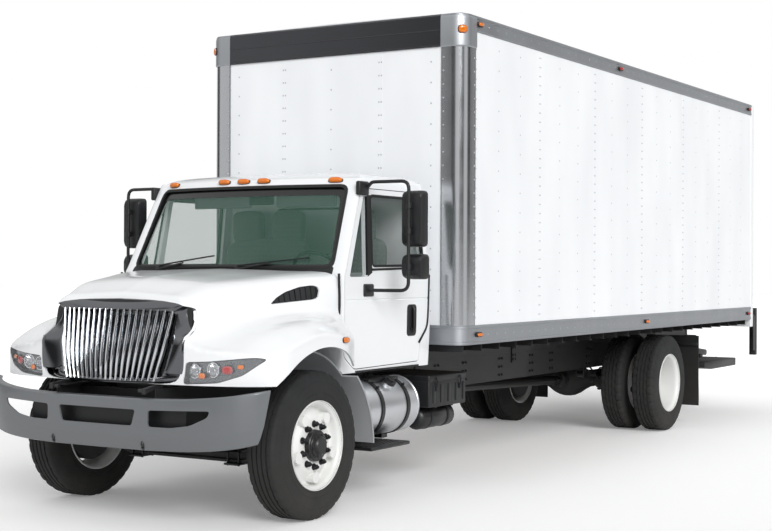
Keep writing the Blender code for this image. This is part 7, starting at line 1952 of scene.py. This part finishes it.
def leaf_pack(side, centre_y, half, base_z, end_z, thickness, count, down):
    """Leaves that shorten one after another, with clips, U-bolts and eyes."""
    parts = []
    leaf = thickness / count
    for k in range(count):
        reach = 1.0 if k == 0 else 1 - 0.11 * k
        rings = []
        for i in range(25):
            s = (i / 12 - 1) * reach
            z = base_z + (end_z - base_z) * s * s + thickness / 2 - leaf * (k + 0.5)
            rings.append([(side * RAIL_HALF + u, centre_y + half * s, z + v)
                          for u, v in ((-SPRING_HALF_WIDTH, -leaf * 0.44), (SPRING_HALF_WIDTH, -leaf * 0.44),
                                       (SPRING_HALF_WIDTH, leaf * 0.44), (-SPRING_HALF_WIDTH, leaf * 0.44))])
        parts.append(skin("leaf", rings))
    for end in (-1, 1):
        y = centre_y + end * half
        parts.append(tube([(side * RAIL_HALF - 0.046, y, end_z), (side * RAIL_HALF + 0.046, y, end_z)],
                          0.026, 20))
        for offset in (-0.0405, 0.0405):
            plate = prism([(y - 0.034, end_z - 0.034), (y + 0.034, end_z - 0.034),
                           (y + 0.030, RAIL_BOTTOM - 0.002),
                           (y - 0.030, RAIL_BOTTOM - 0.002)], "x", side * RAIL_HALF + offset - 0.004,
                          side * RAIL_HALF + offset + 0.004)
            parts.append(soften(plate, 0.006, 2))
        parts.append(block((side * RAIL_HALF - 0.044, side * RAIL_HALF + 0.044), (y - 0.045, y + 0.045),
                           (RAIL_BOTTOM - 0.012, RAIL_BOTTOM - 0.0015)))
        y = centre_y + end * half * 0.55
        z = base_z + (end_z - base_z) * 0.55 ** 2
        parts.append(block((side * RAIL_HALF - 0.042, side * RAIL_HALF + 0.042), (y - 0.014, y + 0.014),
                           (z - thickness / 2 - 0.004, z + thickness / 2 + 0.004)))
    low = base_z - thickness / 2 - down
    for dy in (-0.055, 0.055):
        x0, x1 = side * RAIL_HALF - 0.047, side * RAIL_HALF + 0.047
        high = base_z + thickness / 2 + 0.010
        parts.append(tube([(x0, centre_y + dy, low), (x0, centre_y + dy, high), (x1, centre_y + dy, high),
                           (x1, centre_y + dy, low)], 0.008, 10, 0.02))
    parts.append(soften(block((side * RAIL_HALF - 0.06, side * RAIL_HALF + 0.06),
                              (centre_y - 0.085, centre_y + 0.085),
                              (low + 0.006, low + 0.020)), 0.003, 2))
    return parts


def tank_side():
    """Round fuel tank with pressed ends, rolled seams, rubber-lined straps and a filler."""
    rear = TANK_FRONT_Y + TANK_LENGTH
    r = TANK_RADIUS
    half = [(0, 0.022), (r * 0.45, 0.018), (r * 0.80, 0.010), (r - 0.022, 0.004), (r - 0.010, 0.0),
            (r + 0.001, 0.002),
            (r + 0.001, 0.014), (r - 0.003, 0.018), (r - 0.001, 0.040)]
    profile = [(u, TANK_FRONT_Y + v) for u, v in half] + [(u, rear - v) for u, v in reversed(half)]
    tank = turned(profile, "y", (TANK_X, 0, TANK_Z), 72)
    seam = block((TANK_X - 0.004, TANK_X + 0.004), (TANK_FRONT_Y + 0.03, rear - 0.03),
                 (TANK_Z + r - 0.003, TANK_Z + r + 0.0015))
    neck = Vector((math.cos(math.radians(52)), 0, math.sin(math.radians(52))))
    mouth = Vector((TANK_X, TANK_FRONT_Y + 0.37, TANK_Z)) + neck * r
    drain = turned(((0, TANK_Z - r - 0.012), (0.018, TANK_Z - r - 0.012), (0.018, TANK_Z - r + 0.01),
                    (0, TANK_Z - r + 0.01)),
                   "z", (TANK_X, TANK_FRONT_Y + 0.36, 0), 12)
    piece("tank_looks", [tank, seam, tube([mouth - neck * 0.01, mouth + neck * 0.022], 0.046, 32), drain],
          "tank_aluminium", "chassis", ["fuel_tank"], 30)
    cap = [tube([mouth + neck * 0.020, mouth + neck * 0.046], 0.052, 12),
           tube([mouth + neck * 0.044, mouth + neck * 0.056], 0.030, 24)]
    straps, steel = [], []
    for share in STRAP_SHARES:
        y = TANK_FRONT_Y + share * TANK_LENGTH
        straps.append(turned(((r - 0.001, y - 0.006), (r + 0.002, y - 0.006), (r + 0.002, y + 0.046),
                              (r - 0.001, y + 0.046)),
                             "y", (TANK_X, 0, TANK_Z), 72))
        steel.append(turned(((r + 0.001, y), (r + 0.006, y), (r + 0.006, y + 0.040), (r + 0.001, y + 0.040)),
                            "y", (TANK_X, 0, TANK_Z), 72))
        ys = (y - 0.020, y + 0.060)
        outline = [(RAIL_HALF + 0.001, TANK_Z - 0.247), (TANK_X, TANK_Z - 0.247), (TANK_X, TANK_Z - 0.100),
                   (RAIL_HALF + 0.12, TANK_Z + 0.05), (RAIL_HALF + 0.10, TANK_Z + 0.19),
                   (RAIL_HALF + 0.001, TANK_Z + 0.19)]
        cradle = prism(outline, "y", *ys)
        cut(cradle, turned(((0, y - 0.1), (r + 0.0065, y - 0.1), (r + 0.0065, y + 0.14), (0, y + 0.14)), "y",
                           (TANK_X, 0, TANK_Z), 72))
        steel.append(cradle)
        steel.append(block((TANK_X - 0.17, TANK_X), ys, (STEP_TOP - 0.001, TANK_Z - 0.246)))
        for z in (0.72, 0.80):
            steel.append(bolt(RAIL_HALF + 0.05, y - 0.021, z, "y", -1))
        steel.append(tube([(TANK_X + r * 0.72, y + 0.02, TANK_Z + r * 0.72),
                           (TANK_X + r * 0.80, y + 0.02, TANK_Z + r * 0.78)],
                          0.010, 10))
    piece("tank_cap", cap, "black_nylon", "chassis")
    piece("tank_liners", straps, "seal_rubber", "chassis")
    piece("tank_straps", steel, "black_steel", "chassis", ["tank_steps"])
    tread_step("entry_step", 1, STEP_TOP, (0.62, 1.04), (0.76, 1.30))
    # upper step that bridges the tank's shoulder, under the door
    tread_step("upper_step", 1, 0.872, (0.640, 0.900), (0.95, 1.36))
    arms = [block((RAIL_HALF + 0.001, 0.86), (y, y + 0.03), (0.826, 0.846)) for y in (1.0, 1.28)]
    piece("upper_step_arms", arms, "black_steel", "chassis")


def tread_step(name, side, top, xs, ys):
    """A folded step with a rounded nose and rows of punched grip holes with raised rims."""
    plate = soften(block(span(side, *xs), ys, (top - 0.030, top - 0.003)), 0.010, 3)
    grips = []
    count_x, count_y = max(int((xs[1] - xs[0] - 0.05) / 0.045), 2), int((ys[1] - ys[0] - 0.05) / 0.045)
    for i in range(count_x):
        for j in range(count_y):
            x = side * (xs[0] + 0.04 + i * 0.045)
            y = ys[0] + 0.04 + j * 0.045
            grips.append(turned(((0.008, top - 0.004), (0.0145, top - 0.004), (0.012, top), (0.0095, top)),
                                "z", (x, y, 0), 14))
    piece(name, [plate] + grips, "black_steel", "chassis")


def battery_side():
    """Battery case with a lid, ribs and latches, over two strapped air tanks."""
    low, high = 0.600, 0.850
    inner, outer = RAIL_HALF + 0.001, 0.9605
    body = soften(block((inner, outer - 0.002), (1.722, 2.318), (low, high - 0.045)), 0.012, 3)
    lid = soften(block((inner + 0.005, outer), (1.720, 2.320), (high - 0.055, high)), 0.014, 3)
    ribs = [soften(block((outer - 0.006, outer + 0.003), (1.78 + k * 0.12, 1.82 + k * 0.12),
                         (low + 0.03, high - 0.075)), 0.003, 2)
            for k in range(5)]
    latches = [tube([(outer + 0.004, y, high - 0.02), (outer + 0.012, y, high - 0.05),
                     (outer + 0.006, y, high - 0.10)], 0.006, 8)
               for y in (1.83, 2.21)]
    latches += [soften(block((outer - 0.004, outer + 0.010), (y - 0.016, y + 0.016),
                             (high - 0.125, high - 0.085)), 0.003, 2)
                for y in (1.83, 2.21)]
    piece("battery_case", [body, lid] + ribs, "black_nylon", "chassis", ["battery_box"])
    piece("battery_latches", latches, "dark_steel", "chassis")
    tanks, straps = [], []
    y0, y1 = 1.745, 2.295
    for x, z, r in ((0.58, 0.505, 0.095), (0.8, 0.508, 0.090)):
        profile = ((0, y0), (r * 0.5, y0 + 0.006), (r * 0.85, y0 + 0.022), (r, y0 + 0.045), (r, y1 - 0.045),
                   (r * 0.85, y1 - 0.022), (r * 0.5, y1 - 0.006), (0, y1))
        tanks.append(turned(profile, "y", (x, 0, z), 48))
        tanks.append(tube([(x, y0 - 0.018, z), (x, y0 + 0.01, z)], 0.014, 6))
        for y in (1.88, 2.14):
            straps.append(turned(((r - 0.001, y), (r + 0.003, y), (r + 0.003, y + 0.03),
                                  (r - 0.001, y + 0.03)), "y",
                                 (x, 0, z), 48))
    for y in (1.88, 2.14):
        straps.append(block((0.46, 0.92), (y - 0.005, y + 0.035), (0.586, 0.6005)))
    piece("air_tanks", tanks, "black_steel", "chassis", smooth=40)
    piece("air_tank_straps", straps, "dark_steel", "chassis")


def right_side():
    """Two steps on a case under the right door, and the exhaust's can with its pipes and hangers."""
    tread_step("right_step_low", -1, 0.432, (0.74, 1.04), (0.77, 1.44))
    tread_step("right_step_high", -1, 0.862, (0.62, 0.90), (0.80, 1.40))
    case = soften(block(span(-1, 0.431, 0.838), (0.765, 1.448), (0.462, 0.834)), 0.016, 3)
    skirt = soften(block(span(-1, 0.431, 0.80), (0.76, 1.45), (0.403, 0.47)), 0.006, 2)
    brackets = [block(span(-1, 0.78, 0.86), (y, y + 0.03), (0.400, 0.47)) for y in (0.85, 1.32)]
    brackets += [block(span(-1, 0.431, 0.80), (y, y + 0.03), (0.82, 0.845)) for y in (0.86, 1.30)]
    door = soften(block(span(-1, 0.836, 0.842), (0.83, 1.38), (0.52, 0.79)), 0.004, 2)
    piece("step_case", [case, skirt, door] + brackets, "black_steel", "chassis",
          ["step_box_right"])
    r, x = 0.130, -0.700
    profile = ((0, 1.650), (r * 0.35, 1.650), (r * 0.60, 1.662), (r * 0.92, 1.690), (r, 1.712), (r, 1.722),
               (r - 0.003, 1.726),
               (r - 0.003, 2.574), (r, 2.578), (r, 2.588), (r * 0.92, 2.610), (r * 0.60, 2.638),
               (r * 0.35, 2.650), (0, 2.650))
    can = turned(profile, "y", (x, 0, TANK_Z), 64)
    pipes = [tube([(x, 1.66, TANK_Z), (x, 1.56, TANK_Z), (-0.60, 1.50, 0.60), (-0.30, 1.30, 0.56)], 0.048,
                  20, 0.1),
             tube([(x, 2.64, TANK_Z), (x, 2.80, TANK_Z), (-0.80, 2.95, 0.60), (-0.98, 3.02, 0.585)], 0.048,
                  20, 0.1)]
    piece("muffler_looks", [can] + pipes, "exhaust_steel", "chassis", ["muffler"], 40)
    hangers = []
    for y in (1.85, 2.45):
        hangers.append(turned(((r - 0.002, y - 0.02), (r + 0.002, y - 0.02), (r + 0.002, y + 0.02),
                               (r - 0.002, y + 0.02)), "y",
                              (x, 0, TANK_Z), 64))
        hangers.append(prism([(-0.431, 0.69), (-0.431, 0.83), (-0.60, 0.80), (-0.62, 0.77), (-0.56, 0.69)],
                             "y", y - 0.02, y + 0.02))
    piece("muffler_hangers", hangers, "black_steel", "chassis")


def liners():
    """Moulded splash liners with a rolled lip, and the bracket that holds each."""
    start_deg = math.degrees(math.asin((RAIL_TOP + 0.025 - ARCH_Z) / LINER_RADIUS))
    end_deg = math.degrees(math.asin((RAIL_BOTTOM - 0.200 - ARCH_Z) / LINER_RADIUS))
    for side, word in SIDES:
        shell = arc((ARCH_Y, ARCH_Z), LINER_RADIUS, 180 - start_deg, end_deg, 40)
        shell += arc((ARCH_Y, ARCH_Z), LINER_RADIUS + 0.012, end_deg, 180 - start_deg, 40)
        tail = arc((ARCH_Y, ARCH_Z), LINER_RADIUS, start_deg, end_deg, 24)
        tail += arc((ARCH_Y, ARCH_Z), LINER_RADIUS + 0.012, end_deg, start_deg, 24)
        parts = [prism(shell, "x", *span(side, 0.560, 0.985)), prism(tail, "x", *span(side, 0.983, 1.108))]
        for x in (0.62, 0.77, 0.92, 1.055):
            low = 180 - start_deg if x < 0.98 else start_deg
            rib = arc((ARCH_Y, ARCH_Z), LINER_RADIUS + 0.010, low - 2, end_deg + 2, 30)
            rib += arc((ARCH_Y, ARCH_Z), LINER_RADIUS + 0.017, end_deg + 2, low - 2, 30)
            parts.append(prism(rib, "x", *span(side, x - 0.012, x + 0.012)))
        route = [(side * 1.108, y, z) for y,
                 z in arc((ARCH_Y, ARCH_Z), LINER_RADIUS + 0.006, start_deg, end_deg, 24)]
        parts.append(tube(route, 0.008, 10))
        piece("liner_" + word, parts, "guard_polyethylene", "chassis",
              ["splash_guard_" + word], 40)
        hold = [block(span(side, RAIL_HALF + 0.001, 0.565), (0.540, 0.575), (0.700, 0.740))]
        piece("liner_hold_" + word, hold, "black_steel", "chassis")
        front = WHEELBASE + 0.758
        flap = []
        for k in range(19):
            z = 0.960 - (0.960 - 0.202) * k / 18
            sway = 0.006 * math.sin(k * 0.5) * k / 18
            flap.append([(side * x, front + y + sway, z) for x,
                         y in ((0.602, 0.001), (1.198, 0.001), (1.198, 0.011),
                                                                      (0.602, 0.011))])
        piece("flap_" + word, [skin("flap", flap)], "flap_rubber", "chassis",
              ["mudflap_" + word], 50)
        bar = [soften(block(span(side, RAIL_HALF + 0.001, 1.195), (front - 0.020, front + 0.0008),
                            (0.851, 0.889)), 0.006, 2),
               block(span(side, 0.61, 1.19), (front + 0.0112, front + 0.015), (0.86, 0.882))]
        bar += [bolt(side * x, front + 0.015, 0.871, "y", 1, 0.009, 0.007) for x in (0.66, 0.78, 0.90, 1.02,
                                                                                     1.14)]
        piece("flap_bar_" + word, bar, "black_steel", "chassis")


def front_beam():
    """Forged beam: an I-section that drops between the spring pads, with a boss on each kingpin."""
    centre = [(-0.775, 0.497), (-0.70, 0.497), (-0.53, 0.385), (-0.36, 0.385), (0.36, 0.385), (0.53, 0.385),
              (0.70, 0.497),
              (0.775, 0.497)]
    route = rounded([(x, 0, z) for x, z in centre], 0.06, 4)
    rings = []
    for point in route:
        rings.append([point + Vector((0, y, z)) for y, z in (
            (-0.044, 0.043), (0.044, 0.043), (0.044, 0.026), (0.018, 0.018), (0.018, -0.018),
            (0.044, -0.026),
            (0.044, -0.043), (-0.044, -0.043), (-0.044, -0.026), (-0.018, -0.018), (-0.018, 0.018),
            (-0.044, 0.026))])
    parts = [skin("beam", rings)]
    for side in (1, -1):
        z = TYRE_RADIUS
        parts.append(turned(((0, z - 0.077), (0.0196, z - 0.077), (0.0196, z - 0.047), (0.040, z - 0.047),
                             (0.0465, z - 0.041),
                             (0.0465, z + 0.041), (0.040, z + 0.047), (0.0196, z + 0.047),
                             (0.0196, z + 0.077),
                             (0, z + 0.077)), "z", (side * KINGPIN_X, 0, 0), 32))
        parts.append(soften(block((side * RAIL_HALF - 0.06, side * RAIL_HALF + 0.06), (-0.085, 0.085),
                                  (0.415, 0.4205)), 0.002))
    return parts


def rear_housing():
    """Banjo housing with its tapering tubes, the pinion's nose and the flanges by the brakes."""
    flange = 0.688 + 0.168
    half = [(0, flange), (0.0645, flange), (0.0645, 0.50), (0.068, 0.46), (0.070, 0.32), (0.082, 0.26),
            (0.115, 0.20),
            (0.155, 0.14), (0.180, 0.08), (0.189, 0.03)]
    profile = half + [(radius, -along) for radius, along in reversed(half)]
    parts = [turned(profile, "x", (0, WHEELBASE, TYRE_RADIUS), 56)]
    nose = ((0, -0.296), (0.058, -0.296), (0.060, -0.284), (0.042, -0.278), (0.046, -0.262), (0.074, -0.250),
            (0.078, -0.22), (0.095, -0.17), (0.112, -0.13), (0, -0.13))
    parts.append(turned(nose, "y", (0, WHEELBASE, TYRE_RADIUS), 40))
    for side in (1, -1):
        parts.append(soften(block((side * RAIL_HALF - 0.06, side * RAIL_HALF + 0.06),
                                  (WHEELBASE - 0.085, WHEELBASE + 0.085),
                                  (0.545, 0.5605)), 0.002))
    return parts


def axle_trim():
    """Spring packs, brake chambers, hoses, shaft joints and the differential's cover."""
    packs, iron, rubber = [], [], []
    for side in (1, -1):
        packs += leaf_pack(side, 0.0, FRONT_SPRING[0], FRONT_SPRING[1], FRONT_SPRING[2], SPRING_THICKNESS,
                           4, 0.10)
        packs += leaf_pack(side, WHEELBASE, REAR_SPRING[0], REAR_SPRING[1], REAR_SPRING[2],
                           SPRING_THICKNESS, 6, 0.17)
        x, y, z = BRAKE_CHAMBER
        iron.append(turned(CHAMBER_SIDE, "y", (side * x, y - 0.05, z), 40))
        iron.append(block(span(side, x - 0.03, x + 0.03), (y + 0.02, WHEELBASE - 0.06),
                          (z - 0.012, z + 0.012)))
        rubber.append(tube([(side * x, y - 0.14, z + 0.02), (side * (x - 0.06), y - 0.24, z + 0.16),
                            (side * (RAIL_HALF - 0.05), y - 0.30, 0.70)], 0.009, 10, 0.08))
    cover = ((0, 0.185), (0.06, 0.180), (0.11, 0.160), (0.148, 0.115), (0.160, 0.07), (0, 0.07))
    iron.append(turned(cover, "y", (0, WHEELBASE, TYRE_RADIUS), 48))
    for k in range(10):
        angle = 2 * math.pi * k / 10
        iron.append(bolt(0.152 * math.cos(angle), WHEELBASE + 0.094, TYRE_RADIUS + 0.152 * math.sin(angle),
                         "y", 1))
    piece("spring_packs", packs, "black_steel", "chassis", ["front_axle"])
    piece("brake_chambers", iron + front_beam() + rear_housing(), "cast_iron", "chassis",
          ["rear_axle"], 40)
    piece("brake_hoses", rubber, "seal_rubber", "chassis")
    joints = []
    high_z, y0, y1 = 0.655, 1.305, WHEELBASE - 0.302
    for y, sign in ((y0, 1), (y1, -1)):
        z = high_z + (TYRE_RADIUS - high_z) * (y - y0) / (y1 - y0)
        for turn in (0, 1):
            offset = (0.046, 0) if turn else (0, 0.046)
            joints += [soften(block((u - 0.018, u + 0.018), sorted((y, y + sign * 0.085)),
                                    (z + v - 0.018, z + v + 0.018)), 0.005)
                       for u, v in (offset, (-offset[0], -offset[1]))]
        joints.append(turned(((0, -0.004), (0.062, -0.004), (0.062, 0.012), (0.055, 0.018), (0, 0.018)), "y",
                             (0, y + sign * 0.006, z), 32))
    y = 3.75
    z = high_z + (TYRE_RADIUS - high_z) * (y - y0) / (y1 - y0)
    joints.append(turned(((0.0456, -0.05), (0.082, -0.035), (0.082, 0.035), (0.0456, 0.05)), "y", (0, y, z),
                         32))
    joints.append(block((-0.06, 0.06), (y - 0.02, y + 0.02), (z + 0.07, 0.745)))
    piece("shaft_joints", joints, "cast_iron", "chassis")


def chassis_looks():
    rail_trim()
    tank_side()
    battery_side()
    right_side()
    liners()
    axle_trim()


# Liftgate

LIFT_PIVOT = (8.550, 0.740)
LIFT_TIP = (9.320, 0.660)
PLATFORM_HALF = 0.950
PLATFORM_Y = (8.130, 9.270)
PLATFORM_Z = (0.520, 0.615)


def lift_frame():
    beam = soften(block((-0.500, 0.500), (8.956, 9.150), (0.660, 0.880)), 0.012, 3)
    parts = [beam]
    for side in (1, -1):
        parts.append(prism([(8.472, 0.672), (8.472, 0.868), (8.96, 0.868), (8.96, 0.672)], "x",
                           *span(side, 0.431, 0.455)))
        for y in (8.50, 8.66, 8.80, 8.90):
            for z in (0.70, 0.845):
                if abs(y - LIFT_PIVOT[0]) > 0.06 or z > 0.8:
                    parts.append(bolt(side * 0.455, y, z, "x", side, 0.013, 0.012))
        parts.append(turned([(0, side * 0.450), (0.020, side * 0.450), (0.020, side * 0.5795),
                             (0, side * 0.5795)], "x",
                            (0, *LIFT_PIVOT), 28))
        parts.append(turned([(0, side * 0.5680), (0.032, side * 0.5680), (0.032, side * 0.576),
                             (0.020, side * 0.5795),
                             (0, side * 0.5795)], "x", (0, *LIFT_PIVOT), 28))
        parts.append(block(span(side, 0.300, 0.380), (9.088, 9.149), (0.878, 1.062)))
        # upright at each end of the dock: a square tube with an angle, on an arm
        parts.append(soften(block(span(side, 1.080, 1.160), (9.382, 9.442), (0.645, 1.215)), 0.006, 3))
        parts.append(block(span(side, 1.150, 1.158), (9.30, 9.39), (0.70, 1.12)))
        parts.append(soften(block(span(side, 1.082, 1.152), (9.09, 9.39), (1.062, 1.138)), 0.004, 2))
        for z in (0.74, 0.86, 0.98):
            parts.append(bolt(side * 1.158, 9.412, z, "x", side, 0.012, 0.002))
    dock = soften(block((-1.150, 1.150), (9.087, 9.430), (1.062, 1.134)), 0.006, 3)
    tread = []
    for i in range(46):
        for k in range(6):
            x = -1.10 + i * 0.0489 + (0.0245 if k % 2 else 0)
            y = 9.115 + k * 0.055
            turn = 1 if (i + k) % 2 else -1
            tread.append(prism([(x - 0.014, y - 0.0035 * turn), (x, y + 0.006),
                                (x + 0.014, y + 0.0035 * turn), (x, y - 0.006)],
                               "z", 1.133, 1.1368))
    piece("lift_frame", parts + [dock] + tread, "chassis_black", "chassis",
          ["liftgate_frame"], 30)
    # hydraulic pack between the rails
    pack = [soften(block((-0.26, 0.20), (8.62, 8.90), (0.68, 0.86)), 0.012, 3),
            tube([(0.20, 8.76, 0.77), (0.33, 8.76, 0.77)], 0.055, 28)]
    piece("lift_pack", pack, "black_steel", "chassis")
    pipes = [tube([(x, 8.90, z), (x, 9.0, z - 0.10), (x * 1.6, 9.05, z - 0.13)], 0.008, 10, 0.05) for x, z in
             ((-0.16, 0.76), (-0.10, 0.74), (0.06, 0.76))]
    piece("lift_hoses", pipes, "seal_rubber", "chassis")


def lift_arms():
    arms = []
    (y0, z0), (y1, z1) = LIFT_PIVOT, LIFT_TIP
    ahead = Vector((y1 - y0, z1 - z0)).normalized()
    up = Vector((-ahead.y, ahead.x))
    for side in (1, -1):
        outline = [Vector(LIFT_PIVOT) + ahead * (0.035 * math.cos(a)) + up * (0.035 * math.sin(a))
                   for a in [math.radians(90 + 20 * k) for k in range(10)]]
        outline += [Vector(LIFT_TIP) + ahead * (0.035 * math.cos(a)) + up * (0.035 * math.sin(a))
                    for a in [math.radians(-90 + 20 * k) for k in range(10)]]
        arm = prism(outline, "x", *span(side, 0.5205, 0.5595))
        cut(arm, turned([(0, side * 0.5), (0.0205, side * 0.5), (0.0205, side * 0.58), (0, side * 0.58)],
                        "x",
                        (0, *LIFT_PIVOT), 32))
        arms.append(soften(arm, 0.003, 2))
        ribs = [Vector(LIFT_PIVOT) + ahead * 0.07 - up * 0.016, Vector(LIFT_TIP) - ahead * 0.07 - up * 0.016,
                Vector(LIFT_TIP) - ahead * 0.07 + up * 0.016, Vector(LIFT_PIVOT) + ahead * 0.07 + up * 0.016]
        arms.append(prism(ribs, "x", *span(side, 0.559, 0.563)))
    arms.append(tube([(-0.5225, *LIFT_TIP), (0.5225, *LIFT_TIP)], 0.0195, 28))
    piece("lift_arm_pair", arms, "chassis_black", "liftgate_arms", ["liftgate_arms"], 35)


def lift_platform():
    """The leaf with its treads, side rails and folded ramp edge, and the ears that hold it."""
    front, rear_y = PLATFORM_Y
    low, high = PLATFORM_Z
    profile = ((front, low + 0.032), (front, high - 0.004), (rear_y, high - 0.004), (rear_y, low + 0.001),
               (front + 0.240, low + 0.001))
    leaf = soften(prism(profile, "x", -PLATFORM_HALF, PLATFORM_HALF), 0.004, 2)
    parts = [leaf]
    for k in range(1, 8):
        x = -PLATFORM_HALF + 2 * PLATFORM_HALF * k / 8
        parts.append(block((x - 0.006, x + 0.006), (front + 0.01, rear_y - 0.01),
                           (high - 0.005, high - 0.0005)))
    for side in (1, -1):
        ear = prism(((rear_y - 0.040, low + 0.010), (rear_y - 0.040, high + 0.010),
                     (LIFT_TIP[0] - 0.030, LIFT_TIP[1] + 0.030),
                     (LIFT_TIP[0] + 0.030, LIFT_TIP[1] + 0.030), (LIFT_TIP[0] + 0.034, LIFT_TIP[1] - 0.030),
                     (rear_y + 0.020, low + 0.010)), "x", *span(side, 0.4705, 0.5115))
        cut(ear, turned([(0, side * 0.45), (0.0205, side * 0.45), (0.0205, side * 0.53), (0, side * 0.53)],
                        "x",
                        (0, *LIFT_TIP), 32))
        parts.append(soften(ear, 0.003, 2))
    piece("lift_leaf", parts, "chassis_black", "liftgate_platform", ["liftgate_platform"],
          35)
    grip = []
    for i in range(24):
        for k in range(12):
            x, y = -0.88 + i * 0.0765, front + 0.28 + k * 0.07
            grip.append(block((x - 0.018, x + 0.018), (y - 0.003, y + 0.003), (low - 0.0015, low + 0.0015)))
    piece("leaf_tread", grip, "dark_steel", "liftgate_platform")


def lift_looks():
    lift_frame()
    lift_arms()
    lift_platform()


# Stage

CAMERA_PLACE = (6.4673, -7.9432, 1.6742)
CAMERA_YAW_DEG = 31.415
CAMERA_PITCH_DEG = 0.128
CAMERA_ROLL_DEG = 0.246
CAMERA_LENS_MM = 67.24
FLOOR_HALF = 80.0
SUN_STRENGTH = 2.1
SUN_WIDTH_DEG = 28
SUN_FROM = (0.74, -0.60, 0.50)
SKY_STRENGTH = 0.56
BACKDROP_STRENGTH = 1.0
SCREENS = 5.0
SCREENS_TURN = 0.6


def make_camera():
    data = bpy.data.cameras.new("camera")
    data.lens = CAMERA_LENS_MM
    data.sensor_width = 36.0
    data.clip_end = 400.0
    camera = bpy.data.objects.new("camera", data)
    bpy.context.scene.collection.objects.link(camera)
    yaw, pitch, roll = (math.radians(v) for v in (CAMERA_YAW_DEG, CAMERA_PITCH_DEG, CAMERA_ROLL_DEG))
    ahead = Vector((-math.sin(yaw) * math.cos(pitch), math.cos(yaw) * math.cos(pitch), math.sin(pitch)))
    across = Vector((math.cos(yaw), math.sin(yaw), 0))
    above = across.cross(ahead)
    right = across * math.cos(roll) + above * math.sin(roll)
    up = above * math.cos(roll) - across * math.sin(roll)
    turn = Matrix((right, up, -ahead)).transposed().to_4x4()
    x, y, z = CAMERA_PLACE
    camera.matrix_world = Matrix.Translation((x, y + AXLE_Y, z)) @ turn
    bpy.context.scene.camera = camera


def make_lights():
    sun = bpy.data.lights.new("sun", "SUN")
    sun.energy = SUN_STRENGTH
    sun.angle = math.radians(SUN_WIDTH_DEG)
    lamp = bpy.data.objects.new("sun", sun)
    bpy.context.scene.collection.objects.link(lamp)
    lamp.rotation_euler = Vector(SUN_FROM).to_track_quat("Z", "Y").to_euler()

    world = bpy.data.worlds.new("studio")
    bpy.context.scene.world = world
    world.use_nodes = True
    tree = world.node_tree
    tree.nodes.clear()
    rays = add(tree, "ShaderNodeLightPath")
    seen = add(tree, "ShaderNodeMath", {0: (rays, "Is Camera Ray"), 1: (rays, "Is Transmission Ray")},
               operation="MAXIMUM")
    soft = add(tree, "ShaderNodeBackground", {"Color": colour("#ffffff"), "Strength": SKY_STRENGTH})
    white = add(tree, "ShaderNodeBackground", {"Color": colour("#ffffff"), "Strength": BACKDROP_STRENGTH})
    # mirror-like surfaces see a dark wall round the studio and a bright ceiling
    place = add(tree, "ShaderNodeTexCoord")
    height = add(tree, "ShaderNodeSeparateXYZ", {"Vector": (place, "Generated")})
    ceiling = add(tree, "ShaderNodeMapRange", {"Value": (height, "Z"), "From Min": 0.15, "From Max": 0.55,
                                               "To Min": 0.0, "To Max": 0.85}, clamp=True)
    # tall bright screens stand round the dark wall
    bearing = add(tree, "ShaderNodeMath", {0: (height, "X"), 1: (height, "Y")}, operation="ARCTAN2")
    turns = add(tree, "ShaderNodeMath", {0: (bearing, "Value"), 1: SCREENS, 2: SCREENS_TURN},
                operation="MULTIPLY_ADD")
    wave = add(tree, "ShaderNodeMath", {0: (turns, "Value")}, operation="SINE")
    screens = add(tree, "ShaderNodeMapRange", {"Value": (wave, "Value"), "From Min": -0.35, "From Max": 0.5,
                                               "To Min": 0.09, "To Max": 0.80}, clamp=True)
    level = add(tree, "ShaderNodeMath", {0: (ceiling, "Result"), 1: (screens, "Result")},
                operation="MAXIMUM")
    room = add(tree, "ShaderNodeBackground", {"Color": colour("#ffffff"), "Strength": (level, "Value")})
    glossy = add(tree, "ShaderNodeMixShader", {0: (rays, "Is Glossy Ray"), 1: (soft, "Background"),
                                               2: (room, "Background")})
    mix = add(tree, "ShaderNodeMixShader",
              {0: (seen, "Value"), 1: (glossy, "Shader"), 2: (white, "Background")})
    add(tree, "ShaderNodeOutputWorld", {"Surface": (mix, "Shader")})


def make_floor():
    tree, shader = start("studio_floor", "#f6f6f6", 0.9)
    rays = add(tree, "ShaderNodeLightPath")
    # seen by the camera, the floor glows with painted light: a little near the truck, which lightens its
    # shadow, and more away from it, where it fades to the backdrop's white
    place = add(tree, "ShaderNodeTexCoord")
    away = add(tree, "ShaderNodeVectorMath", {0: (place, "Object")}, operation="LENGTH")
    fade = add(tree, "ShaderNodeMapRange", {"Value": (away, "Value"), "From Min": 5.0, "From Max": 13.0,
                                            "To Min": 0.16, "To Max": 0.45}, clamp=True)
    glow = add(tree, "ShaderNodeMath", {0: (rays, "Is Camera Ray"), 1: (fade, "Result")},
               operation="MULTIPLY")
    shader.inputs["Emission Color"].default_value = colour("#ffffff")
    tree.links.new(glow.outputs["Value"], shader.inputs["Emission Strength"])
    bm = bmesh.new()
    corners = ((-1, -1), (1, -1), (1, 1), (-1, 1))
    bm.faces.new([bm.verts.new((x * FLOOR_HALF, y * FLOOR_HALF, 0)) for x, y in corners])
    floor = body_of(bm, "floor")
    floor.data.materials.append(MATERIALS["studio_floor"])


def build():
    bpy.context.scene.view_settings.view_transform = "Standard"
    make_materials()
    paint_nodes()
    make_camera()
    make_lights()
    make_floor()
    wheels()
    face_looks(hood_looks())
    cab_looks()
    cab_inside()
    box_looks()
    chassis_looks()
    lift_looks()


build()
